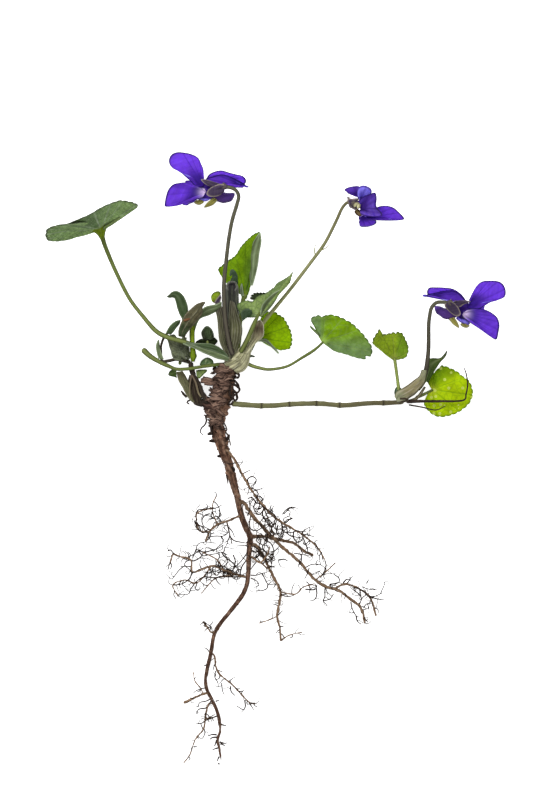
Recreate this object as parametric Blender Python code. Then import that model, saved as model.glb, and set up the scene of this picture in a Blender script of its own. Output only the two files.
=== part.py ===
"""A wood violet lifted with its roots, lying on a flat surface and seen from above.

Lengths in the tables are millimetres and MM turns them into Blender's metres. X runs to the
right, Y runs from the root tip to the blooms and Z is up, away from the surface. The origin is
the flat spot under the crown, where the leaves, the runner and the taproot meet.
"""

import math
import random
from dataclasses import dataclass, field

import bmesh
import bpy
from mathutils import Vector
from mathutils.geometry import interpolate_bezier

MM = 0.001

# Driving dimensions.
GAP = 0.3
BLADE = 0.6
STALK = 0.55
ROOTLET = 0.16

Z_AXIS = Vector((0, 0, 1))
GOLDEN_ANGLE = math.radians(137.5)

# Colour as linear red, green and blue, then roughness. Nothing on the plant is metallic.
FINISHES = {
    "root": ((0.16, 0.08, 0.045), 0.9),
    "runner": ((0.13, 0.12, 0.05), 0.7),
    "leaf": ((0.16, 0.36, 0.03), 0.55),
    "young_leaf": ((0.07, 0.16, 0.05), 0.6),
    "sheath": ((0.3, 0.3, 0.16), 0.7),
    "stalk": ((0.17, 0.18, 0.08), 0.6),
    "petal": ((0.13, 0.03, 0.5), 0.5),
    "style": ((0.75, 0.3, 0.04), 0.5),
    "withered": ((0.03, 0.022, 0.016), 0.9),
}


def smooth_path(points, steps):
    """Points along a smooth curve through the given ones, steps of them to each stretch."""
    spots = [Vector(point) for point in points]
    ends = [spots[0] * 2 - spots[1], *spots, spots[-1] * 2 - spots[-2]]
    path = []
    for index in range(1, len(ends) - 2):
        before, start, stop, after = ends[index - 1 : index + 3]
        handle_out = start + (stop - before) / 6
        handle_in = stop - (after - start) / 6
        path += interpolate_bezier(start, handle_out, handle_in, stop, steps + 1)[:-1]
    return [*path, spots[-1]]


def spread(values, count):
    """count numbers read evenly along a list of them."""
    found = []
    for index in range(count):
        place = index / max(count - 1, 1) * (len(values) - 1)
        low = min(int(place), len(values) - 2) if len(values) > 1 else 0
        high = min(low + 1, len(values) - 1)
        found.append(values[low] + (values[high] - values[low]) * (place - low))
    return found


def turned(vector, axis, angle):
    """A vector turned about an axis."""
    axis = axis.normalized()
    across = axis.cross(vector)
    along = axis * axis.dot(vector)
    return along + (vector - along) * math.cos(angle) + across * math.sin(angle)


@dataclass
class Tube:
    """A round stem or root: a curve through points, with a radius that runs through radii."""

    points: list
    radii: list
    sides: int = 6
    steps: int = 2

    def mesh(self, grow=0.0):
        """(points, faces) of the closed tube, its radius made larger by grow."""
        path = smooth_path(self.points, self.steps)
        path[0] = path[0] + (path[0] - path[1]).normalized() * grow
        path[-1] = path[-1] + (path[-1] - path[-2]).normalized() * grow
        radii = [radius + grow for radius in spread(self.radii, len(path))]
        heading = (path[1] - path[0]).normalized()
        side = heading.orthogonal().normalized()
        vertices, faces = [], []
        for index, spot in enumerate(path):
            ahead = path[min(index + 1, len(path) - 1)]
            behind = path[max(index - 1, 0)]
            heading = (ahead - behind).normalized()
            side = (side - heading * heading.dot(side)).normalized()
            other = heading.cross(side)
            for turn in range(self.sides):
                angle = math.tau * turn / self.sides
                reach = side * math.cos(angle) + other * math.sin(angle)
                vertices.append(spot + reach * radii[index])
        for ring in range(len(path) - 1):
            first = ring * self.sides
            for turn in range(self.sides):
                after = (turn + 1) % self.sides
                faces.append(
                    (
                        first + turn,
                        first + after,
                        first + self.sides + after,
                        first + self.sides + turn,
                    )
                )
        last = (len(path) - 1) * self.sides
        faces.append(tuple(reversed(range(self.sides))))
        faces.append(tuple(range(last, last + self.sides)))
        return vertices, faces


@dataclass
class Sheet:
    """A thin blade along a spine. Its width may roll like a gutter and fold at the spine.

    folds are the angles that its left and right halves rise by, seen from the side it faces.
    """

    spine: list
    facing: tuple
    roll: float = 0.0
    folds: tuple = (0.0, 0.0)
    thickness: float = BLADE

    def __post_init__(self):
        """Measures the spine once."""
        self.path = smooth_path(self.spine, 6)
        self.marks = [0.0]
        for start, stop in zip(self.path, self.path[1:]):
            self.marks.append(self.marks[-1] + (stop - start).length)
        self.length = self.marks[-1]

    def spine_at(self, along):
        """(place, heading) on the spine. It runs on straight past both ends."""
        index = 0
        while index < len(self.path) - 2 and self.marks[index + 1] < along:
            index += 1
        stretch = self.path[index + 1] - self.path[index]
        heading = stretch.normalized()
        return self.path[index] + heading * (along - self.marks[index]), heading

    def place(self, along, across, lift=0.0):
        """The point at a distance along the spine and a distance across the blade."""
        spot, heading = self.spine_at(along)
        facing = Vector(self.facing)
        facing = (facing - heading * heading.dot(facing)).normalized()
        side = heading.cross(facing)
        reach = abs(across)
        bend = math.radians(self.roll) / self.half_width
        if abs(bend) > 1e-6:
            out, up = math.sin(bend * reach) / bend, (1 - math.cos(bend * reach)) / bend
        else:
            out, up = reach, 0.0
        fold = math.radians(self.folds[0] if across < 0 else self.folds[1])
        out, up = (
            out * math.cos(fold) - up * math.sin(fold),
            out * math.sin(fold) + up * math.cos(fold),
        )
        return spot + side * math.copysign(out, across) + facing * (up + lift)

    def normal(self, along, across):
        """The direction square to the blade, on the side it faces."""
        step = 0.05
        ahead = self.place(along + step, across) - self.place(along - step, across)
        aside = self.place(along, across + step) - self.place(along, across - step)
        return ahead.cross(aside).normalized() * -1

    def shell(self, flat, triangles, rim, grow):
        """(points, faces) of the closed blade: flat's (along, across, lift) on both faces."""
        half = self.thickness / 2 + grow
        upper, lower = [], []
        for along, across, lift in flat:
            middle = self.place(along, across, lift)
            normal = self.normal(along, across)
            upper.append(middle + normal * half)
            lower.append(middle - normal * half)
        count = len(flat)
        faces = [tuple(triangle) for triangle in triangles]
        faces += [tuple(corner + count for corner in reversed(t)) for t in triangles]
        for start, stop in zip(rim, [*rim[1:], rim[0]]):
            faces.append((start, start + count, stop + count))
            faces.append((start, stop + count, stop))
        return upper + lower, faces


@dataclass
class Ribbon(Sheet):
    """A strap-shaped blade: a petal, sepal, sheath or rolled leaf."""

    half_width: float = 2.0
    foot: float = 0.4
    tip: float = 0.35
    widest: float = 0.6
    rows: int = 5
    columns: int = 4

    def width_at(self, share):
        """Half the width at a share of the length."""
        if share < self.widest:
            swell = math.sin(share / self.widest * math.pi / 2)
            return self.half_width * (self.foot + (1 - self.foot) * swell)
        fall = (share - self.widest) / (1 - self.widest)
        return self.half_width * math.sqrt(1 - fall * fall * (1 - self.tip**2))

    def mesh(self, grow=0.0):
        """(points, faces) of the closed blade, made larger by grow all round."""
        flat, triangles = [], []
        stride = self.columns + 1
        for row in range(self.rows + 1):
            share = 1 - (1 - row / self.rows) ** 1.4
            along = share * (self.length + 2 * grow) - grow
            for column in range(stride):
                aside = 2 * column / self.columns - 1
                flat.append((along, aside * (self.width_at(share) + grow), 0.0))
        for row in range(self.rows):
            for column in range(self.columns):
                corner = row * stride + column
                triangles.append((corner, corner + 1, corner + stride + 1))
                triangles.append((corner, corner + stride + 1, corner + stride))
        last = self.rows * stride
        rim = list(range(stride))
        rim += [row * stride + self.columns for row in range(1, self.rows)]
        rim += list(range(last + self.columns, last - 1, -1))
        rim += [row * stride for row in range(self.rows - 1, 0, -1)]
        return self.shell(flat, triangles, rim, grow)


@dataclass
class HeartLeaf(Sheet):
    """A heart-shaped blade with rounded teeth. Its spine starts where the stalk joins it.

    right_share is how wide the right half is, as a share of the left half.
    """

    half_width: float = 6.0
    centre: float = 0.32
    notch: float = 160.0
    sharp: float = 0.1
    teeth: int = 18
    tooth: float = 0.35
    wave: float = 0.0
    right_share: float = 1.0

    def reach(self, angle):
        """How far the outline is from the stalk's end, at an angle from the midrib."""
        ahead = self.centre * self.length
        long, wide = self.length - ahead, self.half_width
        cos, sin = math.cos(angle), math.sin(angle)
        a = (cos / long) ** 2 + (sin / wide) ** 2
        b = -2 * ahead * cos / long**2
        c = (ahead / long) ** 2 - 1
        reach = (-b + math.sqrt(b * b - 4 * a * c)) / (2 * a)
        turn = abs(math.degrees(angle))
        point = 1 - self.sharp * math.sin(math.radians(min(2 * turn, 180))) ** 2
        fade = max(0.0, (turn - self.notch + 30) / 30)
        return reach * point * math.sqrt(1 - 0.7 * fade * fade)

    def mesh(self, grow=0.0):
        """(points, faces) of the closed blade, made larger by grow all round."""
        margin = 2 * self.teeth + 1
        rings = [(0.55, 9), (1.0, margin)]
        limit = math.radians(self.notch)
        flat, starts = [(-grow, 0.0, 0.0)], []
        for share, count in rings:
            starts.append(len(flat))
            for index in range(count):
                angle = limit * (2 * index / (count - 1) - 1)
                reach = self.reach(angle) * share
                if share == 1.0:
                    reach += grow - (self.tooth if index % 2 == 0 else 0.0)
                lift = self.wave * share**2 * math.sin(3 * angle)
                across = reach * math.sin(angle)
                if across > 0:
                    across *= self.right_share
                flat.append((reach * math.cos(angle), across, lift))
        inner = rings[0][1]
        triangles = [(0, index + 2, index + 1) for index in range(inner - 1)]
        for ring in range(len(rings) - 1):
            triangles += self.zip_rings(
                starts[ring], rings[ring][1], starts[ring + 1], rings[ring + 1][1]
            )
        rim = [0, *starts]
        rim += list(range(starts[-1] + 1, starts[-1] + margin))
        rim += [start + rings[ring][1] - 1 for ring, start in list(enumerate(starts))[-2::-1]]
        return self.shell(flat, [tuple(reversed(t)) for t in triangles], rim, grow)

    @staticmethod
    def zip_rings(inner, inner_count, outer, outer_count):
        """Triangles between two rings of points that start and end on the same two rays."""
        triangles = []
        i = j = 0
        while i < inner_count - 1 or j < outer_count - 1:
            inner_next = (i + 1) / (inner_count - 1)
            outer_next = (j + 1) / (outer_count - 1)
            if outer_next <= inner_next + 1e-9 and j < outer_count - 1:
                triangles.append((inner + i, outer + j + 1, outer + j))
                j += 1
            else:
                triangles.append((inner + i, inner + i + 1, outer + j))
                i += 1
        return triangles


@dataclass
class Piece:
    """One separate solid of the plant. It stands clear of the pieces it names."""

    name: str
    finish: str
    solids: list
    clear_of: list = field(default_factory=list)
    grounded: bool = False


def new_object(name, vertices, faces):
    """An object with a closed mesh whose faces point outwards."""
    mesh = bpy.data.meshes.new(name)
    shape = bmesh.new()
    corners = [shape.verts.new(Vector(vertex) * MM) for vertex in vertices]
    for face in faces:
        shape.faces.new([corners[corner] for corner in face])
    bmesh.ops.triangulate(shape, faces=[f for f in shape.faces if len(f.verts) > 4])
    bmesh.ops.recalc_face_normals(shape, faces=shape.faces)
    shape.to_mesh(mesh)
    shape.free()
    made = bpy.data.objects.new(name, mesh)
    bpy.context.scene.collection.objects.link(made)
    return made


def combine(base, others, operation):
    """Applies one Boolean of base with all the others, and removes the others."""
    if not others:
        return base
    tools = bpy.data.collections.new("tools")
    bpy.context.scene.collection.children.link(tools)
    for other in others:
        bpy.context.scene.collection.objects.unlink(other)
        tools.objects.link(other)
    modifier = base.modifiers.new("combine", "BOOLEAN")
    modifier.operation = operation
    modifier.solver = "MANIFOLD"
    modifier.operand_type = "COLLECTION"
    modifier.collection = tools
    graph = bpy.context.evaluated_depsgraph_get()
    graph.update()
    mesh = bpy.data.meshes.new_from_object(base.evaluated_get(graph))
    base.modifiers.remove(modifier)
    base.data = mesh
    for other in others:
        bpy.data.objects.remove(other)
    bpy.data.collections.remove(tools)
    return base


def grown_solid(name, solids, grow=0.0):
    """The solids of a piece, each made larger by grow, joined in one body."""
    made = [new_object(name, *solid.mesh(grow)) for solid in solids]
    return combine(made[0], made[1:], "UNION")


def keep_largest(made):
    """Drops the loose scraps that a cut leaves."""
    shape = bmesh.new()
    shape.from_mesh(made.data)
    bodies, seen = [], set()
    for start in shape.verts:
        if start in seen:
            continue
        body, waiting = [], [start]
        seen.add(start)
        while waiting:
            vertex = waiting.pop()
            body.append(vertex)
            for edge in vertex.link_edges:
                other = edge.other_vert(vertex)
                if other not in seen:
                    seen.add(other)
                    waiting.append(other)
        bodies.append(body)
    bodies.sort(key=len)
    for body in bodies[:-1]:
        bmesh.ops.delete(shape, geom=body, context="VERTS")
    shape.to_mesh(made.data)
    shape.free()


def cut_at_surface(made):
    """Cuts off what is below the surface, which leaves a flat spot there."""
    shape = bmesh.new()
    shape.from_mesh(made.data)
    everything = [*shape.verts, *shape.edges, *shape.faces]
    cut = bmesh.ops.bisect_plane(
        shape, geom=everything, plane_co=(0, 0, 0), plane_no=(0, 0, -1), clear_outer=True
    )
    edges = [item for item in cut["geom_cut"] if isinstance(item, bmesh.types.BMEdge)]
    bmesh.ops.triangle_fill(shape, use_beauty=True, edges=edges)
    bmesh.ops.recalc_face_normals(shape, faces=shape.faces)
    shape.to_mesh(made.data)
    shape.free()


def make_materials():
    """One material for each finish."""
    made = {}
    for name, (colour, roughness) in FINISHES.items():
        material = bpy.data.materials.new(name)
        material.use_nodes = True
        shader = material.node_tree.nodes["Principled BSDF"]
        shader.inputs["Base Color"].default_value = (*colour, 1.0)
        shader.inputs["Roughness"].default_value = roughness
        shader.inputs["Metallic"].default_value = 0.0
        made[name] = material
    return made


def curled_spine(start, heading, facing, length, curl):
    """Four points along an arc that leaves start and curls towards facing by curl degrees."""
    heading = Vector(heading).normalized()
    facing = Vector(facing)
    facing = (facing - heading * heading.dot(facing)).normalized()
    turn = math.radians(curl) or 1e-4
    spine = []
    for index in range(4):
        angle = turn * index / 3
        out = heading * math.sin(angle) + facing * (1 - math.cos(angle))
        spine.append(Vector(start) + out * length / turn)
    return spine


# The rhizome and the taproot: a thick scaly crown that thins to the root's tip.
ROOT_AXIS = [
    (1.9, 9.4, 2.9),
    (1.1, 6.2, 2.5),
    (0.4, 2.5, 2.2),
    (-0.4, -1.2, 2.0),
    (-1.2, -4.5, 1.9),
    (-1.1, -8.2, 2.0),
    (-0.1, -11.8, 2.0),
    (1.1, -15.5, 2.0),
    (2.3, -18.8, 1.9),
    (3.3, -21.8, 1.9),
    (4.0, -25.0, 1.9),
    (4.8, -28.8, 1.8),
    (6.0, -32.0, 1.8),
    (7.0, -34.3, 1.7),
    (6.7, -38.8, 1.5),
    (6.5, -43.8, 1.2),
    (5.5, -48.0, 1.0),
    (2.7, -52.0, 0.9),
    (-0.5, -56.0, 0.8),
    (-2.0, -58.8, 0.8),
    (-2.8, -63.3, 0.7),
    (-3.8, -67.8, 0.6),
    (-4.0, -71.5, 0.6),
    (-2.5, -75.0, 0.6),
    (-1.0, -78.5, 0.6),
    (-0.5, -82.3, 0.6),
    (-1.1, -84.8, 0.6),
    (-0.7, -87.0, 0.6),
    (-0.2, -90.2, 0.5),
]
ROOT_RADII = [
    2.0, 2.3, 2.55, 2.6, 2.1, 1.85, 1.65, 1.5, 1.3, 1.1, 0.95, 0.85, 0.9, 0.85, 0.62,
    0.62, 0.68, 0.62, 0.6, 0.6, 0.55, 0.52, 0.5, 0.5, 0.45, 0.45, 0.38, 0.36, 0.22,
]  # fmt: skip
SCALES = 48
SCALE_TOP, SCALE_FOOT = 8.6, -17.0


def root_scales():
    """Shaggy stubs of old leaf bases, set round the rhizome by the golden angle."""
    scales = []
    chance = random.Random(11)
    centres = smooth_path(ROOT_AXIS[:9], 8)
    for index in range(SCALES):
        share = (index / SCALES) ** 1.7
        height = SCALE_TOP + (SCALE_FOOT - SCALE_TOP) * share
        centre = min(centres, key=lambda spot: abs(spot.y - height))
        angle = GOLDEN_ANGLE * index
        out = Vector((math.cos(angle), 0, 0.62 * math.sin(angle)))
        reach = 5.2 if height > 1 else 4.3 if height > -4 else 2.0
        reach *= chance.uniform(0.75, 1.1)
        rise = chance.uniform(-1.9, 1.9)
        root = centre + out * 0.8
        middle = centre + out * 0.66 * reach + Vector((0, rise * 0.15, 0))
        end = centre + out * reach + Vector((0, rise, 0))
        stout = 1.15 - 0.65 * share
        scales.append(Tube([root, middle, end], [stout, stout * 0.8, 0.25], 4, 1))
    return scales


# Where a short rootlet leaves the taproot, and which way it goes in the plane of the surface.
TAPROOT_TUFT = [
    ((-1.1, -84.6), (-0.9, 0.6)), ((-0.8, -86.0), (-1.0, -0.1)), ((-0.9, -85.2), (1.0, 0.5)),
    ((-0.7, -87.2), (0.9, 0.3)), ((-0.4, -89.0), (-0.9, -0.5)), ((-0.3, -90.0), (0.6, -0.8)),
    ((-3.9, -69.0), (-1.0, -0.1)), ((-2.7, -63.0), (-0.9, 0.8)),
    ((3.2, -51.4), (0.9, -0.5)), ((-3.4, -66.0), (-1.0, 0.2)),
    ((-2.7, -4.2), (-0.7, -1.0)), ((-1.9, -8.0), (-0.8, -1.0)), ((0.9, -12.4), (0.9, -0.6)),
]  # fmt: skip


def taproot_rootlets():
    """The short rootlets on the taproot itself."""
    made = []
    for (x, y), (out_x, out_y) in TAPROOT_TUFT:
        centre = min(smooth_path(ROOT_AXIS, 4), key=lambda spot: abs(spot.y - y))
        start = Vector((x, y, centre.z))
        out = Vector((out_x, out_y, 0)).normalized()
        bend = turned(out, Z_AXIS, -0.5)
        length = 4.2 if y > -20 else 2.2
        way = [start, start + out * length * 0.6, start + out * length * 0.6 + bend * length * 0.4]
        made.append(Tube(way, [0.22, 0.16], 3, 1))
    return made


@dataclass
class RootSpray:
    """A side root, its own forks and the rootlets along them."""

    name: str
    runs: list
    radii: list
    rootlets: int
    reach: float
    seed: int
    band: tuple
    sides: int = 5

    def wander(self, start, heading, length, chance):
        """A rootlet's crooked way out from start, kept between the band's two heights."""
        low, high = self.band
        spots, spot = [start], start.copy()
        for _ in range(2):
            heading = turned(heading, Z_AXIS, chance.gauss(0.0, 0.6))
            spot = spot + heading * (length / 2)
            spot.z = min(high, max(low, spot.z + chance.uniform(-0.5, 0.5)))
            spots.append(spot.copy())
        return spots

    def solids(self):
        """The runs and their rootlets as tubes."""
        chance = random.Random(self.seed)
        tubes = []
        for run, radii in zip(self.runs, self.radii):
            tubes.append(Tube(run, radii, self.sides, 1))
        lengths = [
            sum((Vector(b) - Vector(a)).length for a, b in zip(run, run[1:]))
            for run in self.runs
        ]
        for number, (run, length) in enumerate(zip(self.runs, lengths)):
            path = smooth_path(run, 4)
            count = round(self.rootlets * length / sum(lengths))
            for index in range(count):
                share = (index + chance.uniform(0.3, 0.9)) / max(count, 1)
                share = 0.12 + 0.86 * share if number == 0 else share
                at = min(int(share * (len(path) - 1)), len(path) - 2)
                heading = (path[at + 1] - path[at]).normalized()
                side = 1 if (index + number) % 2 else -1
                angle = side * math.radians(chance.uniform(35, 85))
                out = turned(heading, Z_AXIS, angle)
                reach = self.reach * chance.uniform(0.55, 1.0) * (1.1 - 0.5 * share)
                way = self.wander(path[at], out, reach, chance)
                tubes.append(Tube(way, [ROOTLET, ROOTLET * 0.7], 3, 1))
        return tubes


SPRAYS = [
    RootSpray(
        "root_upper_right",
        [
            [(1.2, -12.6, 3.3), (3.1, -14.8, 4.7), (5.0, -18.5, 5.5), (7.6, -22.8, 5.6),
             (10.2, -26.3, 5.5),
             (13.8, -29.8, 5.4), (17.8, -32.2, 5.3), (20.9, -34.2, 5.2), (24.0, -37.0, 5.0),
             (25.7, -40.0, 4.8)],
            [(10.2, -26.3, 5.5), (12.0, -31.0, 5.8), (13.2, -35.0, 5.6)],
        ],
        [[0.36, 0.3, 0.28, 0.2], [0.2, 0.16]],
        16, 4.0, 3, (4.7, 6.8),
    ),
    RootSpray(
        "root_long_right",
        [
            [(5.4, -25.6, 2.7), (7.6, -28.8, 3.0), (10.7, -32.3, 3.2), (14.8, -36.5, 3.2),
             (19.4, -40.5, 3.1), (22.9, -44.6, 2.9), (26.0, -46.7, 2.6), (29.0, -47.5, 2.4),
             (32.1, -49.8, 2.0), (34.2, -51.3, 1.8), (35.2, -53.3, 1.4), (35.7, -55.8, 1.0)],
            [(28.0, -47.2, 2.5), (31.1, -46.0, 2.4), (35.2, -47.7, 2.0), (37.4, -50.2, 1.6),
             (38.5, -54.0, 1.0)],
            [(23.4, -45.0, 2.9), (26.3, -42.6, 3.0), (28.4, -40.6, 2.8)],
        ],
        [[0.46, 0.42, 0.4, 0.3], [0.28, 0.24], [0.2, 0.16]],
        14, 3.4, 5, (1.0, 4.0),
    ),
    RootSpray(
        "root_stub_right",
        [
            [(8.2, -34.1, 1.2), (11.0, -34.2, 1.0), (13.8, -34.9, 0.9), (17.8, -35.7, 0.9),
             (20.4, -37.7, 0.8), (22.9, -38.9, 0.8)],
        ],
        [[0.44, 0.42, 0.34, 0.36]],
        3, 2.6, 8, (0.4, 1.6),
    ),
    RootSpray(
        "root_middle",
        [
            [(8.1, -36.2, 1.3), (9.2, -37.2, 1.1), (11.0, -40.5, 0.9), (12.7, -43.9, 0.8),
             (14.5, -47.7, 0.7), (14.3, -50.7, 0.6), (13.8, -54.0, 0.6), (14.5, -57.3, 0.6),
             (14.6, -60.3, 0.5)],
            [(14.6, -60.2, 0.5), (16.8, -58.8, 0.5), (20.1, -58.0, 0.4)],
            [(13.9, -54.0, 0.6), (11.6, -55.0, 0.5), (9.2, -55.8, 0.4)],
            [(14.4, -47.9, 0.7), (18.3, -48.5, 0.8), (20.3, -46.8, 0.8), (23.2, -45.9, 0.7)],
        ],
        [[0.42, 0.36, 0.3, 0.22], [0.18, 0.14], [0.16, 0.14], [0.18, 0.15]],
        12, 3.2, 13, (0.35, 1.5),
    ),
    RootSpray(
        "root_cluster",
        [
            [(7.9, -39.5, 2.3), (9.6, -40.6, 2.6), (11.2, -38.8, 2.5), (12.0, -36.6, 2.4)],
            [(9.6, -40.6, 2.6), (11.6, -42.3, 2.4)],
        ],
        [[0.26, 0.2], [0.2, 0.16]],
        9, 3.6, 21, (1.9, 2.5),
    ),
    RootSpray(
        "root_upper_left",
        [
            [(3.6, -29.3, 2.2), (1.5, -30.2, 2.5), (-1.1, -31.1, 2.6), (-3.1, -32.9, 2.6),
             (-4.1, -35.4, 2.4)],
            [(-1.1, -31.1, 2.6), (-2.2, -28.4, 3.0), (-2.3, -26.0, 3.3), (-1.3, -23.9, 3.4)],
            [(-3.1, -32.9, 2.6), (-5.7, -32.6, 3.0), (-6.4, -28.8, 3.2), (-4.6, -27.5, 3.2),
             (-2.4, -27.2, 3.3)],
            [(1.2, -30.3, 2.5), (1.8, -33.0, 2.8), (2.6, -36.0, 2.9)],
        ],
        [[0.34, 0.24], [0.2, 0.14], [0.22, 0.14], [0.18, 0.14]],
        14, 3.4, 34, (1.4, 4.2),
    ),
    RootSpray(
        "root_lower_left",
        [
            [(5.7, -44.2, 1.3), (3.5, -43.6, 1.5), (0.5, -42.5, 1.8), (-2.6, -41.5, 1.8),
             (-7.2, -43.0, 1.6), (-7.8, -40.0, 1.5), (-10.2, -39.2, 1.2), (-12.3, -38.5, 1.0)],
            [(-12.3, -38.5, 1.0), (-12.9, -40.5, 0.8), (-13.4, -41.6, 0.5)],
            [(0.5, -42.5, 1.8), (-1.4, -39.8, 2.0), (-5.0, -38.0, 1.8)],
            [(-2.6, -41.5, 1.8), (-6.1, -45.6, 1.2), (-9.4, -45.0, 0.9), (-12.3, -46.3, 0.6),
             (-10.8, -49.2, 0.5)],
            [(3.5, -43.6, 1.5), (-1.6, -44.6, 0.9), (-5.2, -48.4, 0.7)],
        ],
        [[0.3, 0.2], [0.18, 0.14], [0.2, 0.15], [0.2, 0.14], [0.2, 0.14]],
        16, 3.8, 55, (0.35, 2.6),
    ),
    RootSpray(
        "root_low_left",
        [
            [(-4.4, -73.4, 0.9), (-6.2, -74.1, 0.8), (-9.6, -75.8, 0.6)],
            [(-4.7, -73.5, 0.9), (-5.4, -72.0, 0.9), (-6.8, -70.2, 0.8), (-7.2, -68.0, 0.7)],
        ],
        [[0.34, 0.3, 0.36], [0.17, 0.14]],
        3, 1.6, 5, (0.35, 1.2),
    ),
    RootSpray(
        "root_low_left_long",
        [
            [(-3.3, -75.9, 0.7), (-3.8, -77.4, 0.7), (-4.2, -79.8, 0.7), (-4.7, -82.4, 0.6),
             (-6.7, -84.9, 0.5), (-8.0, -88.5, 0.5), (-9.6, -90.8, 0.4)],
            [(-4.6, -79.9, 0.7), (-3.1, -79.4, 0.7), (-1.9, -79.3, 0.7)],
        ],
        [[0.22, 0.16], [0.16, 0.14]],
        7, 2.2, 2, (0.35, 1.2),
    ),
    RootSpray(
        "root_low_right",
        [
            [(-1.9, -64.0, 0.8), (-1.6, -66.5, 0.9), (-0.5, -68.6, 0.8), (2.5, -71.1, 0.7),
             (5.6, -74.4, 0.6), (7.1, -75.7, 0.5), (8.7, -76.0, 0.4)],
        ],
        [[0.26, 0.24, 0.2, 0.16]],
        9, 2.4, 4, (0.35, 1.4),
    ),
    RootSpray(
        "root_low_tuft",
        [
            [(-2.8, -58.0, 1.0), (-3.8, -56.6, 1.1), (-4.9, -55.3, 1.0)],
        ],
        [[0.24, 0.18]],
        4, 1.8, 9, (0.4, 1.6),
    ),
]  # fmt: skip


@dataclass
class Petal:
    """One petal of a bloom: its spine as offsets from the throat, and how wide it is."""

    spine: list
    facing: tuple
    half_width: float = 3.0
    roll: float = 22.0
    tip: float = 0.45
    widest: float = 0.68

    def ribbon(self, throat):
        """The petal as a blade that starts in the throat."""
        spine = [Vector(throat) + Vector(offset) for offset in self.spine]
        return Ribbon(
            spine,
            self.facing,
            roll=self.roll,
            half_width=self.half_width,
            foot=0.26,
            tip=self.tip,
            widest=self.widest,
            rows=4,
        )


@dataclass
class Bloom:
    """A violet bloom: five petals and a spur, five sepals on the stalk, and the style."""

    name: str
    stalk: list
    throat: tuple
    mouth: tuple
    petals: list
    spur: list
    sepals: list
    socket: str
    bracts: list = field(default_factory=list)

    def corolla(self):
        """The petals, joined in the throat that runs back into the spur."""
        throat = Vector(self.throat)
        front = throat + Vector(self.mouth).normalized() * 1.0
        spur = Tube([front, throat, *self.spur], [1.0, 1.6, 1.3, 1.35, 1.2, 0.6], 6, 1)
        return [spur, *(petal.ribbon(self.throat) for petal in self.petals)]

    def calyx(self):
        """The stalk with its hooked end, the cup that the petals sit in, and the sepals."""
        cup = Vector(self.stalk[-1])
        along = (cup - Vector(self.stalk[-2])).normalized()
        solids = [
            Tube(self.stalk, [STALK + 0.08, STALK, STALK, STALK - 0.08], 6, 1),
            Tube([cup - along * 0.8, cup, cup + along * 1.2], [0.5, 1.0, 0.8], 6, 1),
        ]
        for heading, facing, length, half_width in self.sepals:
            spine = curled_spine(cup, heading, facing, length, 12)
            blade = Ribbon(spine, facing, roll=20, half_width=half_width)
            blade.foot, blade.tip, blade.widest = 0.7, 0.35, 0.4
            blade.rows, blade.columns = 2, 2
            solids.append(blade)
        for way in self.bracts:
            solids.append(Tube(way, [0.3, 0.26, 0.2], 4, 1))
        return solids

    def style(self):
        """The small hooked style with its ring of anthers, in the throat's mouth."""
        ahead = Vector(self.mouth).normalized()
        start = Vector(self.throat) + ahead * 1.2
        return [Tube([start, start + ahead * 1.0, start + ahead * 1.9], [0.5, 0.4, 0.3], 5, 1)]

    def pieces(self):
        """The bloom's separate solids."""
        corolla = self.name + "_corolla"
        return [
            Piece(corolla, "petal", self.corolla()),
            Piece(self.name + "_stalk_and_calyx", "stalk", self.calyx(), [corolla, self.socket]),
            Piece(self.name + "_style", "style", self.style(), [corolla]),
        ]


LEFT_BLOOM = Bloom(
    "left_flower",
    stalk=[
        (2.8, 11.2, 6.6), (2.1, 13.0, 7.0), (1.0, 18.75, 7.6), (0.55, 24.5, 8.1),
        (0.5, 29.0, 8.6), (1.1, 35.0, 9.3), (1.7, 40.0, 9.9), (2.5, 44.5, 10.5),
        (3.7, 48.6, 11.2), (4.4, 50.7, 11.6), (3.9, 52.2, 11.9), (2.6, 53.0, 12.1),
        (0.8, 53.3, 12.1),
    ],
    throat=(-4.6, 53.2, 9.9),
    mouth=(-0.75, 0.05, -0.65),
    petals=[
        Petal([(-0.4, 1.0, 0.0), (-3.1, 3.4, -0.4), (-5.6, 5.7, -1.2), (-7.7, 7.6, -2.2)],
              (-0.25, -0.1, 0.96), 3.2),
        Petal([(-0.2, -1.2, -0.1), (-3.2, -1.8, 0.9), (-6.4, -2.6, 1.4), (-9.3, -3.4, 1.5)],
              (-0.1, 0.45, 0.88), 2.7, tip=0.75, widest=0.8),
        Petal([(0.2, 1.1, 0.3), (3.4, 2.3, 1.1), (7.0, 2.3, 1.6), (10.2, 1.1, 1.6)],
              (0.0, 0.72, 0.68), 2.6, roll=40.0),
        Petal([(0.5, 0.9, 0.7), (3.6, 1.6, 1.2), (7.4, 1.2, 1.4), (11.0, -0.4, 1.3)],
              (0.1, 0.97, 0.2), 2.1, roll=24.0, tip=0.3),
        Petal([(-0.2, -0.6, -0.4), (-2.0, -1.0, -2.8), (-4.0, -1.3, -5.9), (-6.0, -1.6, -9.3)],
              (-0.85, 0.1, 0.5), 3.4),
    ],
    spur=[(-2.2, 52.0, 9.3), (0.2, 50.7, 8.9), (2.2, 50.3, 8.8), (3.3, 50.9, 8.8)],
    sepals=[
        ((-4.4, -2.2, 0.3), (0.1, -0.3, 0.95), 4.7, 1.15),
        ((-5.6, 1.9, -0.2), (0.0, 0.5, 0.85), 6.0, 0.8),
        ((-3.0, -5.4, -1.4), (0.0, -0.2, 0.95), 6.2, 1.1),
        ((-2.2, 1.6, -3.6), (0.5, 0.5, -0.7), 3.6, 0.9),
        ((-5.8, -4.6, -0.9), (0.2, -0.6, 0.75), 7.4, 0.9),
    ],
    socket="leaf_base",
)  # fmt: skip

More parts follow.
